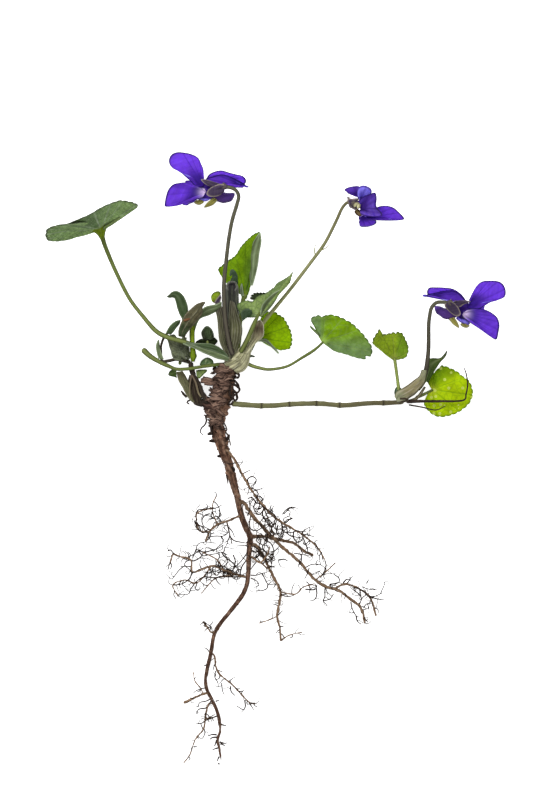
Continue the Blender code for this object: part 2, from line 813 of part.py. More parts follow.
RUNNER_BLOOM = Bloom(
    "runner_flower",
    stalk=[
        (49.8, 4.8, 2.7), (50.8, 6.8, 3.5), (51.4, 10.4, 5.2), (51.9, 14.0, 6.9),
        (52.1, 18.6, 9.2), (51.8, 21.4, 10.6), (52.2, 23.2, 11.4), (53.4, 24.3, 11.9),
        (55.2, 24.6, 12.1), (57.3, 24.3, 12.1),
    ],
    throat=(60.6, 23.3, 9.9),
    mouth=(0.75, -0.1, -0.65),
    petals=[
        Petal([(0.4, 0.9, 0.0), (3.7, 2.6, -0.5), (7.0, 3.9, -1.3), (10.2, 5.0, -2.3)],
              (0.25, -0.1, 0.96), 3.2),
        Petal([(0.4, -1.0, -0.1), (2.9, -2.4, 0.9), (5.7, -4.3, 1.4), (8.4, -6.2, 1.5)],
              (0.1, 0.45, 0.88), 2.8, tip=0.75, widest=0.8),
        Petal([(-0.2, 1.1, 0.3), (-3.4, 2.9, 1.1), (-7.0, 3.7, 1.6), (-10.0, 3.2, 1.6)],
              (0.1, 0.72, 0.68), 2.4, roll=40.0),
        Petal([(-0.5, 1.0, 0.7), (-3.8, 2.5, 1.2), (-7.4, 3.0, 1.4), (-11.0, 2.4, 1.3)],
              (-0.1, 0.97, 0.2), 2.1, roll=24.0, tip=0.3),
        Petal([(0.2, -0.6, -0.4), (1.9, -1.2, -2.8), (3.6, -1.9, -5.9), (5.2, -2.6, -9.3)],
              (0.85, 0.1, 0.5), 3.4),
    ],
    spur=[(58.4, 22.3, 9.3), (55.8, 21.6, 8.9), (54.0, 21.9, 8.8), (53.2, 22.9, 8.8)],
    sepals=[
        ((2.8, -3.8, 0.3), (-0.1, -0.3, 0.95), 4.7, 1.15),
        ((5.0, 0.2, -0.2), (0.0, 0.5, 0.85), 5.4, 0.8),
        ((0.6, -5.8, -1.4), (0.0, -0.2, 0.95), 6.2, 1.1),
        ((2.2, 1.2, -3.6), (-0.5, 0.5, -0.7), 3.6, 0.9),
        ((4.2, -6.0, -0.9), (-0.2, -0.6, 0.75), 7.4, 0.9),
    ],
    socket="runner_crown",
)  # fmt: skip

MIDDLE_BLOOM = Bloom(
    "middle_flower",
    stalk=[
        (5.4, 11.4, 3.7), (7.9, 15.8, 3.9), (10.4, 19.4, 4.2), (13.9, 23.75, 5.0),
        (17.2, 27.8, 6.1), (22.0, 34.1, 7.6), (25.6, 39.0, 8.8), (28.4, 44.4, 10.0),
        (29.9, 47.7, 10.9), (31.2, 49.2, 11.3), (32.3, 49.2, 11.4),
    ],
    throat=(34.7, 47.8, 9.3),
    mouth=(0.75, -0.35, -0.5),
    petals=[
        Petal([(0.0, 0.4, -0.1), (0.3, 2.4, -0.8), (-1.1, 4.2, -1.4), (-4.1, 4.6, -1.8)],
              (0.15, 0.1, 0.98), 1.3, roll=10.0),
        Petal([(0.1, 0.6, 0.3), (0.4, 2.2, 1.9), (0.7, 3.9, 3.8), (0.6, 5.0, 6.2)],
              (0.3, -0.8, 0.5), 2.0, roll=30.0),
        Petal([(0.3, -0.2, 0.4), (1.9, 0.4, 2.6), (2.9, 1.3, 4.9), (3.3, 2.3, 7.4)],
              (-0.5, -0.64, 0.53), 2.9, roll=-24.0, tip=0.6),
        Petal([(0.4, -0.9, -0.2), (3.8, -1.2, -0.9), (7.3, -1.7, -1.4), (10.5, -2.8, -1.8)],
              (0.0, 0.35, 0.94), 1.95, tip=0.3, widest=0.55),
        Petal([(0.2, -1.1, -0.5), (1.0, -2.3, -3.2), (1.7, -3.1, -6.0), (2.2, -3.6, -9.0)],
              (0.5, -0.75, 0.3), 2.5),
    ],
    spur=[(33.6, 48.4, 8.8), (32.6, 49.2, 8.5), (31.9, 50.0, 8.4)],
    sepals=[
        ((1.8, 1.5, 0.3), (-0.3, 0.5, 0.8), 2.9, 0.9),
        ((2.3, -1.4, 0.2), (0.0, 0.0, 1.0), 3.2, 0.9),
        ((1.3, -3.8, -0.9), (-0.3, 0.0, 0.95), 4.2, 0.8),
        ((-0.8, 1.6, -2.4), (-0.7, 0.4, -0.6), 2.8, 0.8),
        ((-0.6, -1.9, -2.6), (-0.9, -0.2, -0.3), 3.2, 0.8),
    ],
    socket="leaf_base",
    bracts=[
        [(23.3, 35.9, 8.1), (23.1, 37.6, 8.8), (23.6, 39.2, 9.2)],
        [(24.4, 37.2, 8.4), (26.0, 38.0, 9.4), (27.3, 39.6, 10.0)],
    ],
)  # fmt: skip


def leaf(name, stalk, radii, heading, facing, length, clear_of, curl=0.0, **blade):
    """A leaf: its stalk, and a heart-shaped blade that grows from the stalk's end."""
    junction = Vector(stalk[-1])
    spine = curled_spine(junction, heading, facing, length, curl)
    midrib = [junction + (spine[1] - junction) * share for share in (0.5, 1.2)]
    stem = Tube([*stalk, *midrib], [*radii, radii[-1] * 0.8, 0.3], 6, 1)
    return Piece(name, "leaf", [HeartLeaf(spine, facing, **blade), stem], clear_of)


def leaf_pieces():
    """The five large leaves of the main plant and the two of the runner's plantlet."""
    base = ["leaf_base", "rhizome_and_taproot"]
    young = ["runner_crown", "runner"]
    return [
        leaf(
            "leaf_left",
            [(0.7, 10.2, 5.8), (-1.5, 11.5, 6.9), (-4.0, 12.6, 7.5), (-6.8, 13.5, 7.6),
             (-9.8, 14.6, 7.5), (-13.8, 15.75, 7.3), (-16.6, 17.35, 7.2), (-19.6, 20.75, 7.0),
             (-23.0, 25.2, 6.8), (-26.0, 31.2, 6.5), (-28.6, 37.2, 6.1), (-29.7, 40.4, 5.9),
             (-30.2, 42.6, 5.8)],
            [1.1, 1.2, 1.25, 1.1, 0.75, 0.6, 0.5, 0.5, 0.5, 0.5, 0.55, 0.9],
            (-0.08, 0.17, 0.98), (-0.31, 0.95, -0.15), 16.6, base,
            half_width=11.4, folds=(10.0, 12.0), teeth=22, centre=0.3, right_share=1.3,
        ),
        leaf(
            "leaf_back",
            [(3.6, 11.0, 2.2), (4.3, 15.0, 1.9), (4.6, 20.0, 1.8), (4.75, 26.5, 2.0)],
            [0.6, 0.5, 0.5],
            (0.28, 0.96, 0.02), (0.0, 0.0, 1.0), 16.0, base,
            half_width=7.0, folds=(4.0, 68.0), teeth=18, centre=0.28, sharp=0.42, wave=0.3,
            notch=125.0, right_share=0.5,
        ),
        leaf(
            "leaf_folded",
            [(4.6, 11.8, 5.9), (6.4, 15.2, 7.4), (8.5, 20.0, 8.8), (10.2, 24.2, 9.6)],
            [0.65, 0.55, 0.55],
            (0.7, 0.69, 0.04), (-0.2, 0.2, -0.95), 11.2, base,
            half_width=5.0, folds=(66.0, 52.0), teeth=14, centre=0.2, sharp=0.2, notch=165.0,
        ),
        leaf(
            "leaf_round",
            [(5.4, 9.9, 1.9), (7.2, 12.6, 1.3), (8.6, 15.6, 1.2)],
            [0.55, 0.45, 0.45],
            (0.84, -0.54, 0.02), (0.0, 0.0, 1.0), 9.0, base,
            half_width=7.6, folds=(4.0, 78.0), teeth=15, centre=0.34, notch=120.0,
            right_share=0.3,
        ),
        leaf(
            "leaf_low_right",
            [(5.4, 9.6, 3.2), (7.4, 8.6, 3.3), (9.4, 8.0, 3.4), (12.0, 7.65, 3.7),
             (16.2, 8.4, 4.6), (19.9, 10.5, 5.6), (23.2, 12.6, 6.6), (25.0, 14.25, 7.1)],
            [0.6, 0.5, 0.45, 0.45, 0.7],
            (0.97, -0.24, 0.04), (0.0, -0.1, -1.0), 12.4, base,
            half_width=7.1, folds=(68.0, -6.0), teeth=17, centre=0.32, wave=0.25,
        ),
        leaf(
            "runner_leaf_upright",
            [(44.2, 2.0, 2.4), (44.0, 4.0, 2.9), (43.6, 7.0, 3.2), (43.25, 10.0, 3.2)],
            [0.5, 0.42, 0.42, 0.5],
            (-0.47, 0.88, 0.1), (0.0, 0.0, 1.0), 8.4, young,
            half_width=5.2, folds=(58.0, 6.0), teeth=13, centre=0.38, tooth=0.3, wave=0.4,
            notch=118.0,
        ),
        leaf(
            "runner_leaf_round",
            [(48.4, 0.6, 1.3), (50.2, 1.3, 0.8), (52.5, 2.2, 0.6)],
            [0.42, 0.38, 0.38],
            (1.0, -0.01, 0.02), (0.0, 0.0, 1.0), 10.3, young,
            half_width=6.6, folds=(3.0, 3.0), teeth=19, centre=0.3, tooth=0.32, notch=150.0,
        ),
    ]  # fmt: skip


LEAF_BASES = [
    Tube([(2.1, 9.0, 3.0), (3.2, 11.0, 3.8), (4.6, 13.4, 4.4)], [2.5, 2.4, 1.9, 1.0], 8, 2),
    Tube([(3.4, 9.6, 3.6), (6.0, 10.2, 3.9), (7.7, 10.5, 3.9)], [1.2, 0.8, 0.35], 5, 1),
]
SIDE_SHOOT = [
    Tube([(-2.6, -0.8, 2.6), (-4.0, 0.6, 2.8), (-5.2, 3.0, 3.2), (-6.6, 6.4, 4.0),
          (-7.1, 9.4, 4.4)], [0.8, 0.7, 0.62, 0.7, 0.6], 6, 2),
    Tube([(-3.4, -0.6, 2.4), (-6.2, 0.3, 2.2), (-8.5, 3.0, 2.0), (-10.4, 6.9, 2.0)],
         [0.9, 1.3, 1.4, 0.6], 6, 2),
    Tube([(-8.3, 2.4, 1.8), (-9.4, 1.6, 1.6), (-10.0, 0.4, 1.5)], [0.6, 0.4, 0.25], 4, 1),
    Tube([(-7.8, -0.6, 1.5), (-7.6, 3.0, 3.3), (-7.1, 6.2, 4.0)], [0.3, 0.3, 0.35], 4, 1),
]  # fmt: skip
RUNNER = [
    (4.6, -0.8, 2.4), (10.6, -1.4, 1.9), (17.8, -1.0, 1.5), (24.5, -0.9, 1.3),
    (30.2, -1.3, 1.2), (36.5, -0.8, 1.2), (41.2, -0.7, 1.2), (45.5, -0.5, 1.2),
]  # fmt: skip
RUNNER_JOINTS = (10.8, 17.8, 24.6, 30.4, 41.4)
RUNNER_CROWN = [(44.0, 1.3, 1.9), (46.1, 1.8, 2.1), (48.3, 3.4, 2.4), (50.0, 5.3, 2.8)]


def runner_joints():
    """The swollen joints along the runner, each a short thicker length of it."""
    path = smooth_path(RUNNER, 6)
    joints = []
    for mark in RUNNER_JOINTS:
        centre = min(path, key=lambda spot: abs(spot.x - mark))
        half = Vector((0.7, 0, 0))
        joints.append(Tube([centre - half, centre, centre + half], [0.6, 1.0, 0.6], 6, 1))
    return joints


def rolled(name, finish, spine, facing, half_width, roll, clear_of, extra=(), **shape):
    """A small rolled or gutter-shaped leaf or sheath."""
    blade = Ribbon(spine, facing, roll=roll, half_width=half_width, **shape)
    return Piece(name, finish, [blade, *extra], clear_of)


def small_pieces():
    """The sheaths, the young and withered leaves, and the side shoot that carries them."""
    base = ["leaf_base"]
    root = ["rhizome_and_taproot"]
    shoot = ["side_shoot"]
    return [
        Piece("leaf_base", "sheath", LEAF_BASES, root),
        Piece("side_shoot", "sheath", SIDE_SHOOT, root),
        rolled("sheath_centre_left", "sheath",
               [(0.9, 12.6, 5.2), (0.1, 15.0, 5.4), (-0.3, 18.6, 5.5), (-0.3, 22.8, 5.5)],
               (-0.3, 0, 1), 1.6, 55, base, tip=0.2, widest=0.45),
        rolled("sheath_centre_right", "sheath",
               [(3.5, 13.2, 6.0), (3.7, 16.0, 6.3), (3.9, 20.0, 6.4), (3.7, 24.6, 6.4)],
               (0.3, 0, 1), 1.6, 45, base, tip=0.2, widest=0.4),
        rolled("sheath_right", "sheath",
               [(5.4, 11.8, 5.2), (6.9, 13.8, 5.6), (8.2, 16.2, 5.9), (9.6, 19.4, 5.9)],
               (0.3, -0.3, 1), 1.5, 45, [*base, "leaf_folded"], tip=0.5, widest=0.75),
        rolled("leaf_rolled_centre", "young_leaf",
               [(2.2, 12.6, 3.9), (2.8, 17.0, 4.2), (3.1, 22.0, 4.3), (3.2, 26.6, 4.5),
                (2.4, 29.2, 4.5), (1.2, 28.6, 4.3)],
               (0.6, 0, 0.8), 1.5, 110, base, tip=0.4, widest=0.75, rows=8),
        rolled("old_leaf_arched", "young_leaf",
               [(-0.6, 23.9, 4.6), (-3.6, 22.4, 4.9), (-6.2, 20.2, 5.0), (-7.4, 17.2, 4.9),
                (-7.6, 14.0, 4.6), (-7.7, 11.0, 4.5)],
               (0.2, 0.3, -1), 0.95, 70, shoot, tip=0.5, widest=0.3, rows=7, columns=2),
        rolled("old_leaf_tip", "withered",
               [(-4.5, 24.4, 7.3), (-6.6, 23.3, 7.6), (-8.6, 21.6, 7.8), (-9.6, 19.2, 7.8),
                (-10.0, 17.2, 7.6), (-9.7, 15.9, 7.3)],
               (0.3, -0.4, -1), 1.5, 75, ["leaf_left"], tip=0.5, widest=0.5, rows=7),
        rolled("young_leaf_hooked", "young_leaf",
               [(-9.9, 20.4, 2.9), (-9.2, 22.8, 3.0), (-9.8, 25.6, 3.2), (-11.4, 27.0, 3.2),
                (-12.8, 26.3, 3.1), (-13.6, 25.8, 3.0)],
               (-0.8, -0.3, 0.5), 1.25, 80, [], tip=0.35, widest=0.4, rows=7,
               extra=[Tube([(-9.9, 21.0, 2.9), (-9.6, 16.0, 2.4), (-10.0, 12.0, 1.6),
                            (-10.6, 8.8, 1.4)], [0.45, 0.4], 5, 1)]),
        rolled("young_leaf_rolled", "young_leaf",
               [(-14.0, 16.1, 4.4), (-12.8, 18.0, 5.0), (-10.4, 19.8, 5.3)],
               (0.5, -0.6, 0.6), 0.95, 80, [], tip=0.5, widest=0.5, rows=4, columns=2,
               extra=[Tube([(-13.6, 16.7, 4.5), (-15.4, 14.6, 3.4), (-16.0, 12.0, 2.5),
                            (-15.2, 9.8, 2.1), (-13.4, 9.5, 1.8), (-11.9, 9.3, 1.6)],
                           [0.42, 0.42, 0.3], 5, 1)]),
        Piece("cut_stalk", "leaf",
              [Tube([(-20.3, 13.25, 5.4), (-18.0, 10.75, 5.4), (-14.3, 8.5, 5.5),
                     (-11.3, 7.5, 5.6), (-8.25, 7.9, 5.7), (-5.2, 8.5, 5.5),
                     (-1.3, 9.0, 4.9), (1.4, 8.9, 3.9)],
                    [0.8, 0.5, 0.45, 0.45, 0.5], 6, 1)], [*base, *root, *shoot]),
        rolled("young_leaf_bud", "young_leaf",
               [(-3.7, 14.4, 2.9), (-3.7, 16.4, 2.9), (-3.8, 18.6, 2.8)],
               (0, 0, 1), 1.6, 50, [], tip=0.25, widest=0.4, rows=4,
               extra=[Tube([(-3.7, 14.8, 2.9), (-3.0, 12.6, 2.8), (-0.6, 10.8, 2.8)],
                           [0.42, 0.42], 5, 1)]),
        rolled("withered_bud_scales", "withered",
               [(-6.6, 14.2, 1.4), (-4.7, 15.0, 1.5), (-2.7, 15.1, 1.5), (-1.2, 14.5, 1.4)],
               (0, 0, 1), 0.9, 40, [], tip=0.3, widest=0.5, columns=2),
        rolled("young_leaf_crumpled", "young_leaf",
               [(-10.2, 9.7, 2.9), (-10.4, 12.0, 3.2), (-11.0, 14.7, 3.4)],
               (0.2, 0, 1), 2.3, 40, ["side_shoot", "old_leaf_arched", "young_leaf_hooked"],
               tip=0.5, widest=0.5),
        rolled("young_leaf_small", "leaf",
               [(-1.2, 23.4, 2.9), (-1.7, 24.6, 2.8), (-2.7, 26.4, 2.7)],
               (0, 0, 1), 1.2, 30, [], tip=0.4, widest=0.6, rows=3,
               extra=[Tube([(-1.3, 23.8, 2.9), (-0.6, 19.0, 2.9), (0.7, 13.4, 2.9)],
                           [0.4, 0.35], 5, 1)]),
        rolled("runner_leaf_folded", "leaf",
               [(50.6, 4.7, 1.9), (51.6, 7.2, 2.4), (53.4, 9.6, 2.9), (56.3, 12.4, 3.2)],
               (-0.3, 0.2, 1), 1.7, 55, ["runner_crown"], foot=0.5, tip=0.1, widest=0.45,
               rows=6,
               extra=[Tube([(51.0, 5.2, 1.9), (50.0, 3.6, 1.5), (49.0, 2.4, 1.4)],
                           [0.38, 0.34], 5, 1)]),
    ]  # fmt: skip


def plant_pieces():
    """Every separate solid of the plant. A piece comes after the ones it stands clear of."""
    core = "rhizome_and_taproot"
    taproot = [Tube(ROOT_AXIS, ROOT_RADII, 8, 1), *root_scales(), *taproot_rootlets()]
    pieces = [Piece(core, "root", taproot, grounded=True)]
    for spray in SPRAYS:
        pieces.append(Piece(spray.name, "root", spray.solids(), [core]))
    pieces += leaf_pieces() + small_pieces()
    for bloom in (LEFT_BLOOM, MIDDLE_BLOOM, RUNNER_BLOOM):
        pieces += bloom.pieces()
    pieces += [
        Piece("runner", "runner",
              [Tube(RUNNER, [0.75, 0.7, 0.7, 0.65], 6, 2), *runner_joints()], [core]),
        Piece("runner_crown", "sheath",
              [Tube(RUNNER_CROWN, [1.0, 1.4, 1.3, 0.9], 7, 2)], ["runner"]),
        Piece("runner_root_long", "root",
              [Tube([(46.6, -0.4, 2.2), (50.0, -0.3, 2.7), (54.5, -0.3, 2.9), (60.2, -0.1, 2.8),
                     (61.0, 1.6, 2.8), (61.4, 3.9, 2.8), (61.1, 6.2, 2.8), (60.5, 8.1, 2.8)],
                    [0.45, 0.4, 0.3, 0.22, 0.2, 0.16], 5, 2)], ["runner"]),
        Piece("runner_root_short", "root",
              [Tube([(46.6, -1.2, 2.3), (50.0, -1.8, 2.6), (53.4, -2.5, 2.6), (55.8, -1.5, 2.6)],
                    [0.25, 0.2, 0.16], 4, 2)], ["runner"]),
    ]  # fmt: skip
    return pieces


def main():
    """Clears the scene and makes the plant."""
    for old in list(bpy.data.objects):
        bpy.data.objects.remove(old)
    materials = make_materials()
    plant = bpy.data.objects.new("wood_violet", None)
    bpy.context.scene.collection.objects.link(plant)
    pieces = plant_pieces()
    by_name = {piece.name: piece for piece in pieces}
    for piece in pieces:
        made = grown_solid(piece.name, piece.solids)
        for other in piece.clear_of:
            sleeve = grown_solid("sleeve", by_name[other].solids, GAP)
            combine(made, [sleeve], "DIFFERENCE")
        keep_largest(made)
        if piece.grounded:
            cut_at_surface(made)
        made.name = piece.name
        made.data.name = piece.name
        made.data.materials.clear()
        made.data.materials.append(materials[piece.finish])
        made.data.shade_smooth()
        made.data.set_sharp_from_angle(angle=math.radians(50))
        made.parent = plant


main()
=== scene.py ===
"""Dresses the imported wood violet: its leaves, blooms, roots and sheaths as fine meshes.

Lengths in the tables are millimetres and MM turns them into Blender's metres. X runs to the
right, Y runs from the root tip to the blooms and Z is up, away from the surface that the plant
lies on. The origin is the flat spot under the crown.
"""

import logging
import math
import random
from bisect import bisect_right
from collections.abc import Callable, Iterable, Sequence
from dataclasses import dataclass, field
from enum import Enum
from functools import cache

import bpy
from mathutils import Matrix, Vector, noise
from mathutils.geometry import interpolate_bezier


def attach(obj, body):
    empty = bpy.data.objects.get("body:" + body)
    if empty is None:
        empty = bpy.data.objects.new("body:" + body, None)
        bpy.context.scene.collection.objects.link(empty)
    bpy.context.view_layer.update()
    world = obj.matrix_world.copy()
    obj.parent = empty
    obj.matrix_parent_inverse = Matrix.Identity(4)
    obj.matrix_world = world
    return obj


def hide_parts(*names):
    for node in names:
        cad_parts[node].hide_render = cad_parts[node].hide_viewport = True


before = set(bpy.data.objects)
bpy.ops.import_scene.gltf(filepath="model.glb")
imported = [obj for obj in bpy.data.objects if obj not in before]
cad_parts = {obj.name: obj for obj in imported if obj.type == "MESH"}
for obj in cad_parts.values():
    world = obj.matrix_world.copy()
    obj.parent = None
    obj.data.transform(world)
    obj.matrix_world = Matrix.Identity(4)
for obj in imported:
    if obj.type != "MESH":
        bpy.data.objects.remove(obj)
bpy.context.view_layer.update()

log = logging.getLogger("wood_violet")

MM = 0.001
BODY = "root"
MERGE = 1e-6
Z_AXIS = Vector((0, 0, 1))
GOLDEN_ANGLE = math.radians(137.5)
SMOOTH_ANGLE = math.radians(50)
CHART_MM = 10.0
NO_VEIN = 99.0
SPINE_POINTS = 4
MARKS = ("vein", "edge", "patch", "tone")

NUMBER, VECTOR, COLOUR = "NodeSocketFloat", "NodeSocketVector", "NodeSocketColor"
# How sharply the painted shade deepens as a surface turns upright.
SIDE_SHADE_POWER = 1.6
CLOUD_DETAIL = 4.0
MOTTLE_MIDDLE, MOTTLE_GAIN = 0.5, 4.0
STREAK_DETAIL, STREAK_ROUGHNESS = 3.0, 0.6
STREAK_LOW, STREAK_HIGH = 0.36, 0.64

Point = tuple[float, float, float]
Colour = tuple[float, float, float]
Marks = tuple[float, float, float, float]
RimPoint = tuple[float, float, float, float]


class Slot(Enum):
    """The record's material slots."""

    ROOT = "root"
    RUNNER = "runner"
    LEAF = "leaf"
    YOUNG_LEAF = "young_leaf"
    SHEATH = "sheath"
    STALK = "stalk"
    PETAL = "petal"
    STYLE = "style"
    WITHERED = "withered"


class Tip(Enum):
    """How a strap-shaped blade narrows to its end: two powers of its falling width."""

    ROUND = (2.0, 2.0)
    BLUNT = (3.4, 2.8)
    POINTED = (1.35, 1.15)


def smooth_path(points: Sequence[Point], steps: int) -> list[Vector]:
    """Reads a smooth curve through the given points.

    Args:
        points: The points the curve runs through.
        steps: How many places are read in each stretch.

    Returns:
        The places along the curve, its end included.
    """
    spots = [Vector(point) for point in points]
    ends = [spots[0] * 2 - spots[1], *spots, spots[-1] * 2 - spots[-2]]
    path: list[Vector] = []
    for index in range(1, len(ends) - 2):
        before, start, stop, after = ends[index - 1 : index + 3]
        handle_out = start + (stop - before) / 6
        handle_in = stop - (after - start) / 6
        path += interpolate_bezier(start, handle_out, handle_in, stop, steps + 1)[:-1]
    return [*path, spots[-1]]


def read_along(values: Sequence[float], share: float) -> float:
    """Reads a list of numbers at a share of its length.

    Args:
        values: The numbers.
        share: 0 at the first number and 1 at the last.

    Returns:
        The number there, blended from its two neighbours.
    """
    place = min(max(share, 0.0), 1.0) * (len(values) - 1)
    low = min(int(place), max(len(values) - 2, 0))
    high = min(low + 1, len(values) - 1)
    return values[low] + (values[high] - values[low]) * (place - low)


def turned(vector: Vector, axis: Vector, angle: float) -> Vector:
    """Turns a vector about an axis.

    Args:
        vector: What is turned.
        axis: The line it turns about.
        angle: How far, in radians.

    Returns:
        The turned vector.
    """
    axis = axis.normalized()
    along = axis * axis.dot(vector)
    across = axis.cross(vector)
    return along + (vector - along) * math.cos(angle) + across * math.sin(angle)


def ramp(value: float, low: float, high: float) -> float:
    """Rises smoothly from 0 to 1.

    Args:
        value: Where it is read.
        low: Where it starts to rise. It may lie above high, and then it falls instead.
        high: Where it ends.

    Returns:
        A number from 0 to 1.
    """
    share = min(max((value - low) / (high - low), 0.0), 1.0)
    return share * share * (3 - 2 * share)


def curled_spine(
    start: Point, heading: Point, facing: Point, length: float, curl: float
) -> list[Point]:
    """Lays points along an arc that curls towards the side it faces.

    Args:
        start: Where the arc starts.
        heading: The direction it leaves in.
        facing: The side it curls to.
        length: Its length.
        curl: How far it turns in all, in degrees.

    Returns:
        The points.
    """
    ahead = Vector(heading).normalized()
    square = Vector(facing)
    square = (square - ahead * ahead.dot(square)).normalized()
    turn = math.radians(curl)
    spine = []
    for index in range(SPINE_POINTS):
        angle = turn * index / (SPINE_POINTS - 1)
        out = ahead * math.sin(angle) + square * (1 - math.cos(angle))
        spine.append(tuple(Vector(start) + out * length / turn))
    return spine


class Track:
    """A smooth line through points that is read by the distance along it."""

    STEPS = 14

    def __init__(self, points: Sequence[Point]) -> None:
        """Measures the line.

        Args:
            points: The points it runs through.
        """
        self.path = smooth_path(points, self.STEPS)
        self.marks = [0.0]
        for start, stop in zip(self.path, self.path[1:]):
            self.marks.append(self.marks[-1] + (stop - start).length)
        self.length = self.marks[-1]
        self.headings = []
        for index in range(len(self.path)):
            ahead = self.path[min(index + 1, len(self.path) - 1)]
            behind = self.path[max(index - 1, 0)]
            self.headings.append((ahead - behind).normalized())

    def find(self, along: float) -> tuple[int, float]:
        """Finds the stretch of the line that holds a distance.

        Args:
            along: The distance from the line's start.

        Returns:
            The stretch's number and the share of it passed, past 0 or 1 beyond the line's ends.
        """
        index = min(max(bisect_right(self.marks, along) - 1, 0), len(self.path) - 2)
        stretch = self.marks[index + 1] - self.marks[index]
        return index, (along - self.marks[index]) / stretch

    def at(self, along: float) -> tuple[Vector, Vector]:
        """Reads the line, which runs on straight past both its ends.

        Args:
            along: The distance from its start.

        Returns:
            The place there and the heading.
        """
        index, share = self.find(along)
        spot = self.path[index].lerp(self.path[index + 1], share)
        blend = min(max(share, 0.0), 1.0)
        heading = self.headings[index].lerp(self.headings[index + 1], blend).normalized()
        return spot, heading

    def station(self, along: float) -> float:
        """Counts the given points passed at a distance along the line."""
        index, share = self.find(along)
        return (index + min(max(share, 0), 1)) / self.STEPS

    def point(self, station: float) -> Vector:
        """The place at a count of the given points, kept just short of the line's end."""
        place = min(max(station * self.STEPS, 0.0), len(self.path) - 1.001)
        return self.path[int(place)].lerp(self.path[int(place) + 1], place - int(place))


class Wiring:
    """Adds nodes to one node tree, with their inputs joined or set."""

    def __init__(self, tree: bpy.types.NodeTree) -> None:
        """Keeps the tree."""
        self.tree = tree

    def node(self, kind: str, inputs: dict | None = None, **settings: object) -> bpy.types.Node:
        """Adds one node.

        Args:
            kind: The node's type.
            inputs: A socket to join to, or a value to set, for each named input.
            **settings: The node's own properties.

        Returns:
            The node.
        """
        made = self.tree.nodes.new(kind)
        for name, value in settings.items():
            setattr(made, name, value)
        for name, value in (inputs or {}).items():
            if isinstance(value, bpy.types.NodeSocket):
                self.tree.links.new(value, made.inputs[name])
            elif made.inputs[name].type == "RGBA":
                made.inputs[name].default_value = (*value, 1.0)
            else:
                made.inputs[name].default_value = value
        return made

    def maths(self, operation: str, first: object, second: object = 0.0) -> bpy.types.NodeSocket:
        """Adds a Math node and gives its result."""
        made = self.node("ShaderNodeMath", {0: first, 1: second}, operation=operation)
        return made.outputs[0]

    def times(self, first: object, second: object) -> bpy.types.NodeSocket:
        """Multiplies two numbers."""
        return self.maths("MULTIPLY", first, second)

    def mix(self, factor: object, first: object, second: object) -> bpy.types.NodeSocket:
        """Adds a colour mix and gives its result."""
        made = self.node("ShaderNodeMix", {0: factor, 6: first, 7: second}, data_type="RGBA")
        return made.outputs[2]

    def scaled(self, colour: object, level: object) -> bpy.types.NodeSocket:
        """Makes a colour lighter or darker."""
        made = self.node("ShaderNodeVectorMath", {0: colour, "Scale": level}, operation="SCALE")
        return made.outputs[0]

    def span(self, value: object, low: float, high: float) -> bpy.types.NodeSocket:
        """Adds a Map Range node from low and high to 0 and 1."""
        made = self.node("ShaderNodeMapRange", {0: value, 1: low, 2: high})
        return made.outputs[0]

    def mark(self, name: str) -> bpy.types.NodeSocket:
        """Reads one of the marks that the meshes carry."""
        return self.node("ShaderNodeAttribute", attribute_name=name).outputs["Fac"]

    def effect(self, group: bpy.types.NodeTree, inputs: dict) -> bpy.types.NodeSocket:
        """Places a shared effect and gives its first output."""
        return self.node("ShaderNodeGroup", inputs, node_tree=group).outputs[0]

    def paint_side_shade(self, colour: object, share: float) -> bpy.types.NodeSocket:
        """Darkens a colour on the sides that face neither up nor down, as painted shade.

        Args:
            colour: The colour, as a socket.
            share: How much of it is taken away where the surface stands upright.

        Returns:
            The socket of the darkened colour.
        """
        facing = self.node("ShaderNodeNewGeometry").outputs["Normal"]
        parts = self.node("ShaderNodeSeparateXYZ", {0: facing})
        steepness = self.maths("SUBTRACT", 1.0, self.maths("ABSOLUTE", parts.outputs["Z"]))
        bent = self.maths("POWER", steepness, SIDE_SHADE_POWER)
        return self.scaled(colour, self.maths("SUBTRACT", 1.0, self.times(bent, share)))


def new_group(
    name: str, inputs: dict[str, str], output: dict[str, str]
) -> tuple[Wiring, bpy.types.bpy_prop_collection]:
    """Starts a node group.

    Args:
        name: The group's name.
        inputs: The kind of each input socket, by name.
        output: The name and the kind of its output socket.

    Returns:
        The wiring of the group, and the sockets that its inputs arrive at.
    """
    tree = bpy.data.node_groups.new(name, "ShaderNodeTree")
    for sockets, way in ((inputs, "INPUT"), (output, "OUTPUT")):
        for label, kind in sockets.items():
            tree.interface.new_socket(name=label, in_out=way, socket_type=kind)
    wiring = Wiring(tree)
    return wiring, wiring.node("NodeGroupInput").outputs


@cache
def mottle_effect() -> bpy.types.NodeTree:
    """Makes the lighter and darker cloudy spots.

    Returns:
        The node group, which is made once and shared.
    """
    inputs = {"Vector": VECTOR, "Scale": NUMBER, "Amount": NUMBER, "Colour": COLOUR}
    wiring, given = new_group("mottle", inputs, {"Colour": COLOUR})
    cloud = wiring.node(
        "ShaderNodeTexNoise",
        {"Vector": given["Vector"], "Scale": given["Scale"], "Detail": CLOUD_DETAIL},
    )
    centred = wiring.maths("SUBTRACT", cloud.outputs["Fac"], MOTTLE_MIDDLE)
    swing = wiring.times(wiring.times(centred, MOTTLE_GAIN), given["Amount"])
    colour = wiring.scaled(given["Colour"], wiring.maths("ADD", swing, 1.0))
    wiring.node("NodeGroupOutput", {"Colour": colour})
    return wiring.tree


